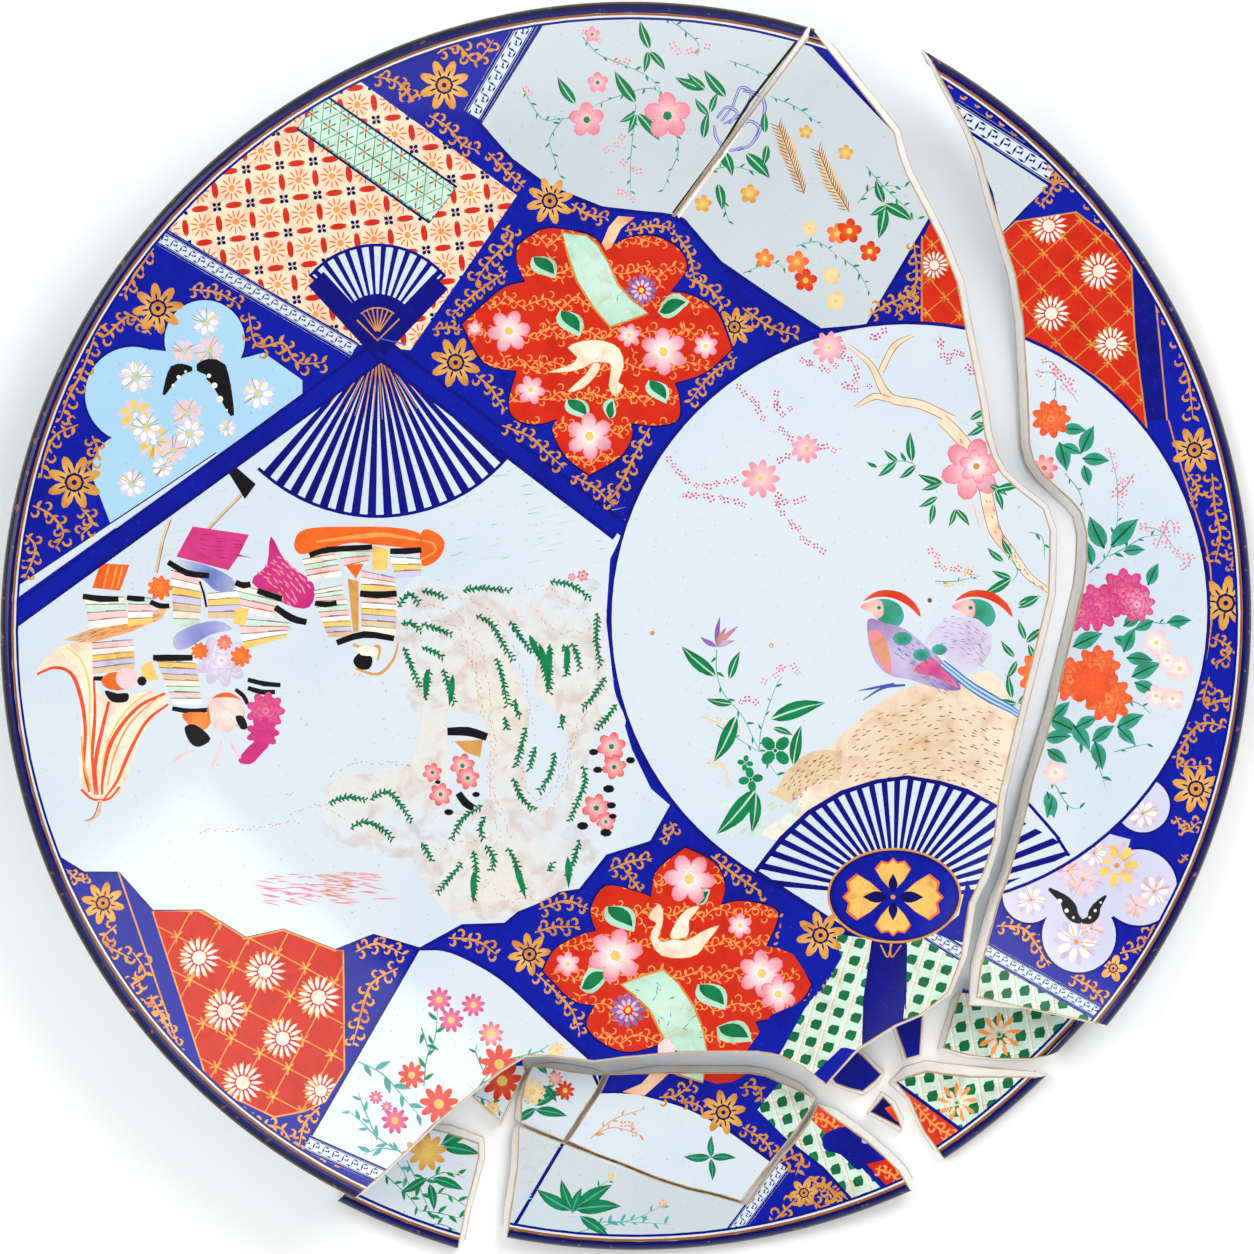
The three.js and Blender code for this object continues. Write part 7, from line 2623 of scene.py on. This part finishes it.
def build_pieces(context, *names):
    """Builds these shards over their construction solids, which they replace."""
    settings = context.scene.charger
    for pot in ("white", "ground", "line", "red", "green", "gold"):
        POTS[pot] = (POTS[pot][0], tuple(255 * share for share in getattr(settings, pot)))
    low, high = (np.array(corner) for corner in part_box("main_shard"))
    shift = Vector((low[0] + PLATE_RADIUS * MM, high[1] - PLATE_RADIUS * MM, 0.0))
    for shard in SHARDS:
        name = shard["name"]
        if name not in names:
            continue
        paint = next(paint for members, paint in CANVASES if name in members)
        mesh = build_shard(shard, cached(paint), settings.worn_edge / MM)
        if not mesh.polygons:
            raise RuntimeError(name + " came out empty")
        mesh.transform(Matrix.Translation(shift))
        for material in cached(finishes):
            mesh.materials.append(material)
        piece = bpy.data.objects.new(name + "_glazed", mesh)
        context.scene.collection.objects.link(piece)
        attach(piece, "root")
        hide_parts(name)
    return {"FINISHED"}


class CHARGER_OT_main(bpy.types.Operator):
    """Builds the great shard that holds the foot ring."""

    bl_idname = "charger.main"
    bl_label = "Main shard"

    def execute(self, context):
        return build_pieces(context, "main_shard")


class CHARGER_OT_crescent(bpy.types.Operator):
    """Builds the long crescent from the right of the dish."""

    bl_idname = "charger.crescent"
    bl_label = "Crescent shard"

    def execute(self, context):
        return build_pieces(context, "right_shard")


class CHARGER_OT_bottom(bpy.types.Operator):
    """Builds the three shards of the lower fan-shaped panel."""

    bl_idname = "charger.bottom"
    bl_label = "Bottom shards"

    def execute(self, context):
        return build_pieces(context, "left_panel_shard", "fan_panel_shard", "bottom_rim_shard")


class CHARGER_OT_floral(bpy.types.Operator):
    """Builds the flowered rim shard at the lower left and the chip above it."""

    bl_idname = "charger.floral"
    bl_label = "Lower left shards"

    def execute(self, context):
        return build_pieces(context, "floral_rim_shard", "leaf_chip")


class CHARGER_OT_lattice(bpy.types.Operator):
    """Builds the two green lattice shards at the lower right."""

    bl_idname = "charger.lattice"
    bl_label = "Lattice shards"

    def execute(self, context):
        return build_pieces(context, "lattice_rim_shard", "corner_rim_shard")


class CHARGER_OT_chips(bpy.types.Operator):
    """Builds the three small blue chips."""

    bl_idname = "charger.chips"
    bl_label = "Small blue chips"

    def execute(self, context):
        return build_pieces(context, "blue_chip", "red_blue_chip", "handle_chip")


class CHARGER_OT_stage(bpy.types.Operator):
    """Sets the pale floor, the lamps and the camera straight above."""

    bl_idname = "charger.stage"
    bl_label = "Floor, lamps and camera"

    def execute(self, context):
        set_stage(context.scene.charger)
        return {"FINISHED"}


SKY_STRENGTH = 0.62
FLOOR_HALF = 3.0
VIEW_LEVEL = 0.03  # the height whose width fills the view
VIEW_MARGIN = 0.0008
LAMPS = (  # each lamp's name, place, size and power
    ("key", (0.75, 0.85, 1.5), (0.9, 0.9), 13.0),
    ("fill", (-1.1, 0.5, 1.4), (1.2, 1.2), 8.0),
    ("front", (0.2, -1.2, 1.3), (1.2, 0.8), 7.0),
)


def lamp(name, place, size, power, aim=(0, 0, 0.02)):
    """A soft rectangular lamp that faces the dish."""
    light = bpy.data.lights.new(name, "AREA")
    light.shape = "RECTANGLE"
    light.size, light.size_y = size
    light.energy = power
    holder = bpy.data.objects.new(name, light)
    bpy.context.scene.collection.objects.link(holder)
    holder.location = place
    holder.rotation_euler = (Vector(aim) - Vector(place)).to_track_quat("-Z", "Y").to_euler()


def set_stage(settings):
    """Makes the floor, the sky, the lamps and the camera."""
    scene = bpy.context.scene
    power = settings.lamp_power
    low, high = (np.array(corner) for corner in BOUNDS)
    middle = (low + high) / 2
    corners = [(x * FLOOR_HALF, y * FLOOR_HALF, 0) for x, y in ((-1, -1), (1, -1), (1, 1), (-1, 1))]
    mesh = bpy.data.meshes.new("floor")
    mesh.from_pydata(corners, [], [(0, 1, 2, 3)])
    floor = bpy.data.objects.new("floor", mesh)
    scene.collection.objects.link(floor)
    material = bpy.data.materials.new("pale floor")
    material.use_nodes = True
    graph = Graph(material.node_tree)
    grain = graph.noise(graph.add("ShaderNodeTexCoord").other("Object"), 40.0, 4.0)
    pale = [255 * share for share in settings.floor_colour]
    colour = graph.mix(grain.band(0.3, 0.7) * 0.3, shade(pale), shade([0.99 * share for share in pale]))
    shader = graph.add("ShaderNodeBsdfPrincipled", {}, {"Base Color": colour, "Roughness": 0.95,
                                                        "Specular IOR Level": 0.0})
    graph.node("ShaderNodeOutputMaterial", {}, {"Surface": shader})
    mesh.materials.append(material)
    world = bpy.data.worlds.new("studio")
    world.use_nodes = True
    world.node_tree.nodes["Background"].inputs["Color"].default_value = (1, 1, 1, 1)
    world.node_tree.nodes["Background"].inputs["Strength"].default_value = SKY_STRENGTH * power
    scene.world = world
    for name, place, size, strength in LAMPS:
        lamp(name, place, size, strength * power)
    away = settings.camera_height
    data = bpy.data.cameras.new("camera")
    camera = bpy.data.objects.new("camera", data)
    scene.collection.objects.link(camera)
    camera.location = (middle[0], middle[1], away)
    camera.rotation_euler = (0, 0, 0)
    data.sensor_width = 36
    data.clip_end = 20
    data.lens = data.sensor_width * (away - VIEW_LEVEL) / (high[0] - low[0] + VIEW_MARGIN)
    scene.camera = camera
    scene.view_settings.view_transform = "Standard"


BUILDERS = (CHARGER_OT_main, CHARGER_OT_crescent, CHARGER_OT_bottom, CHARGER_OT_floral, CHARGER_OT_lattice,
            CHARGER_OT_chips, CHARGER_OT_stage)


class CHARGER_PT_panel(bpy.types.Panel):
    """Lists the pieces that can be built."""

    bl_label = "Broken charger"
    bl_space_type = "VIEW_3D"
    bl_region_type = "UI"
    bl_category = "Charger"

    def draw(self, context):
        for entry in ChargerSettings.__annotations__:
            self.layout.prop(context.scene.charger, entry)
        for builder in BUILDERS:
            self.layout.operator(builder.bl_idname)


CLASSES = (ChargerSettings, *BUILDERS, CHARGER_PT_panel)


def register():
    """Makes the classes and the settings known to Blender."""
    for entry in CLASSES:
        bpy.utils.register_class(entry)
    bpy.types.Scene.charger = PointerProperty(type=ChargerSettings)


def unregister():
    """Takes them away again."""
    del bpy.types.Scene.charger
    for entry in reversed(CLASSES):
        bpy.utils.unregister_class(entry)


def main():
    """Builds every piece and the stage."""
    register()
    bpy.ops.charger.main()
    bpy.ops.charger.crescent()
    bpy.ops.charger.bottom()
    bpy.ops.charger.floral()
    bpy.ops.charger.lattice()
    bpy.ops.charger.chips()
    bpy.ops.charger.stage()


if __name__ == "__main__":
    main()
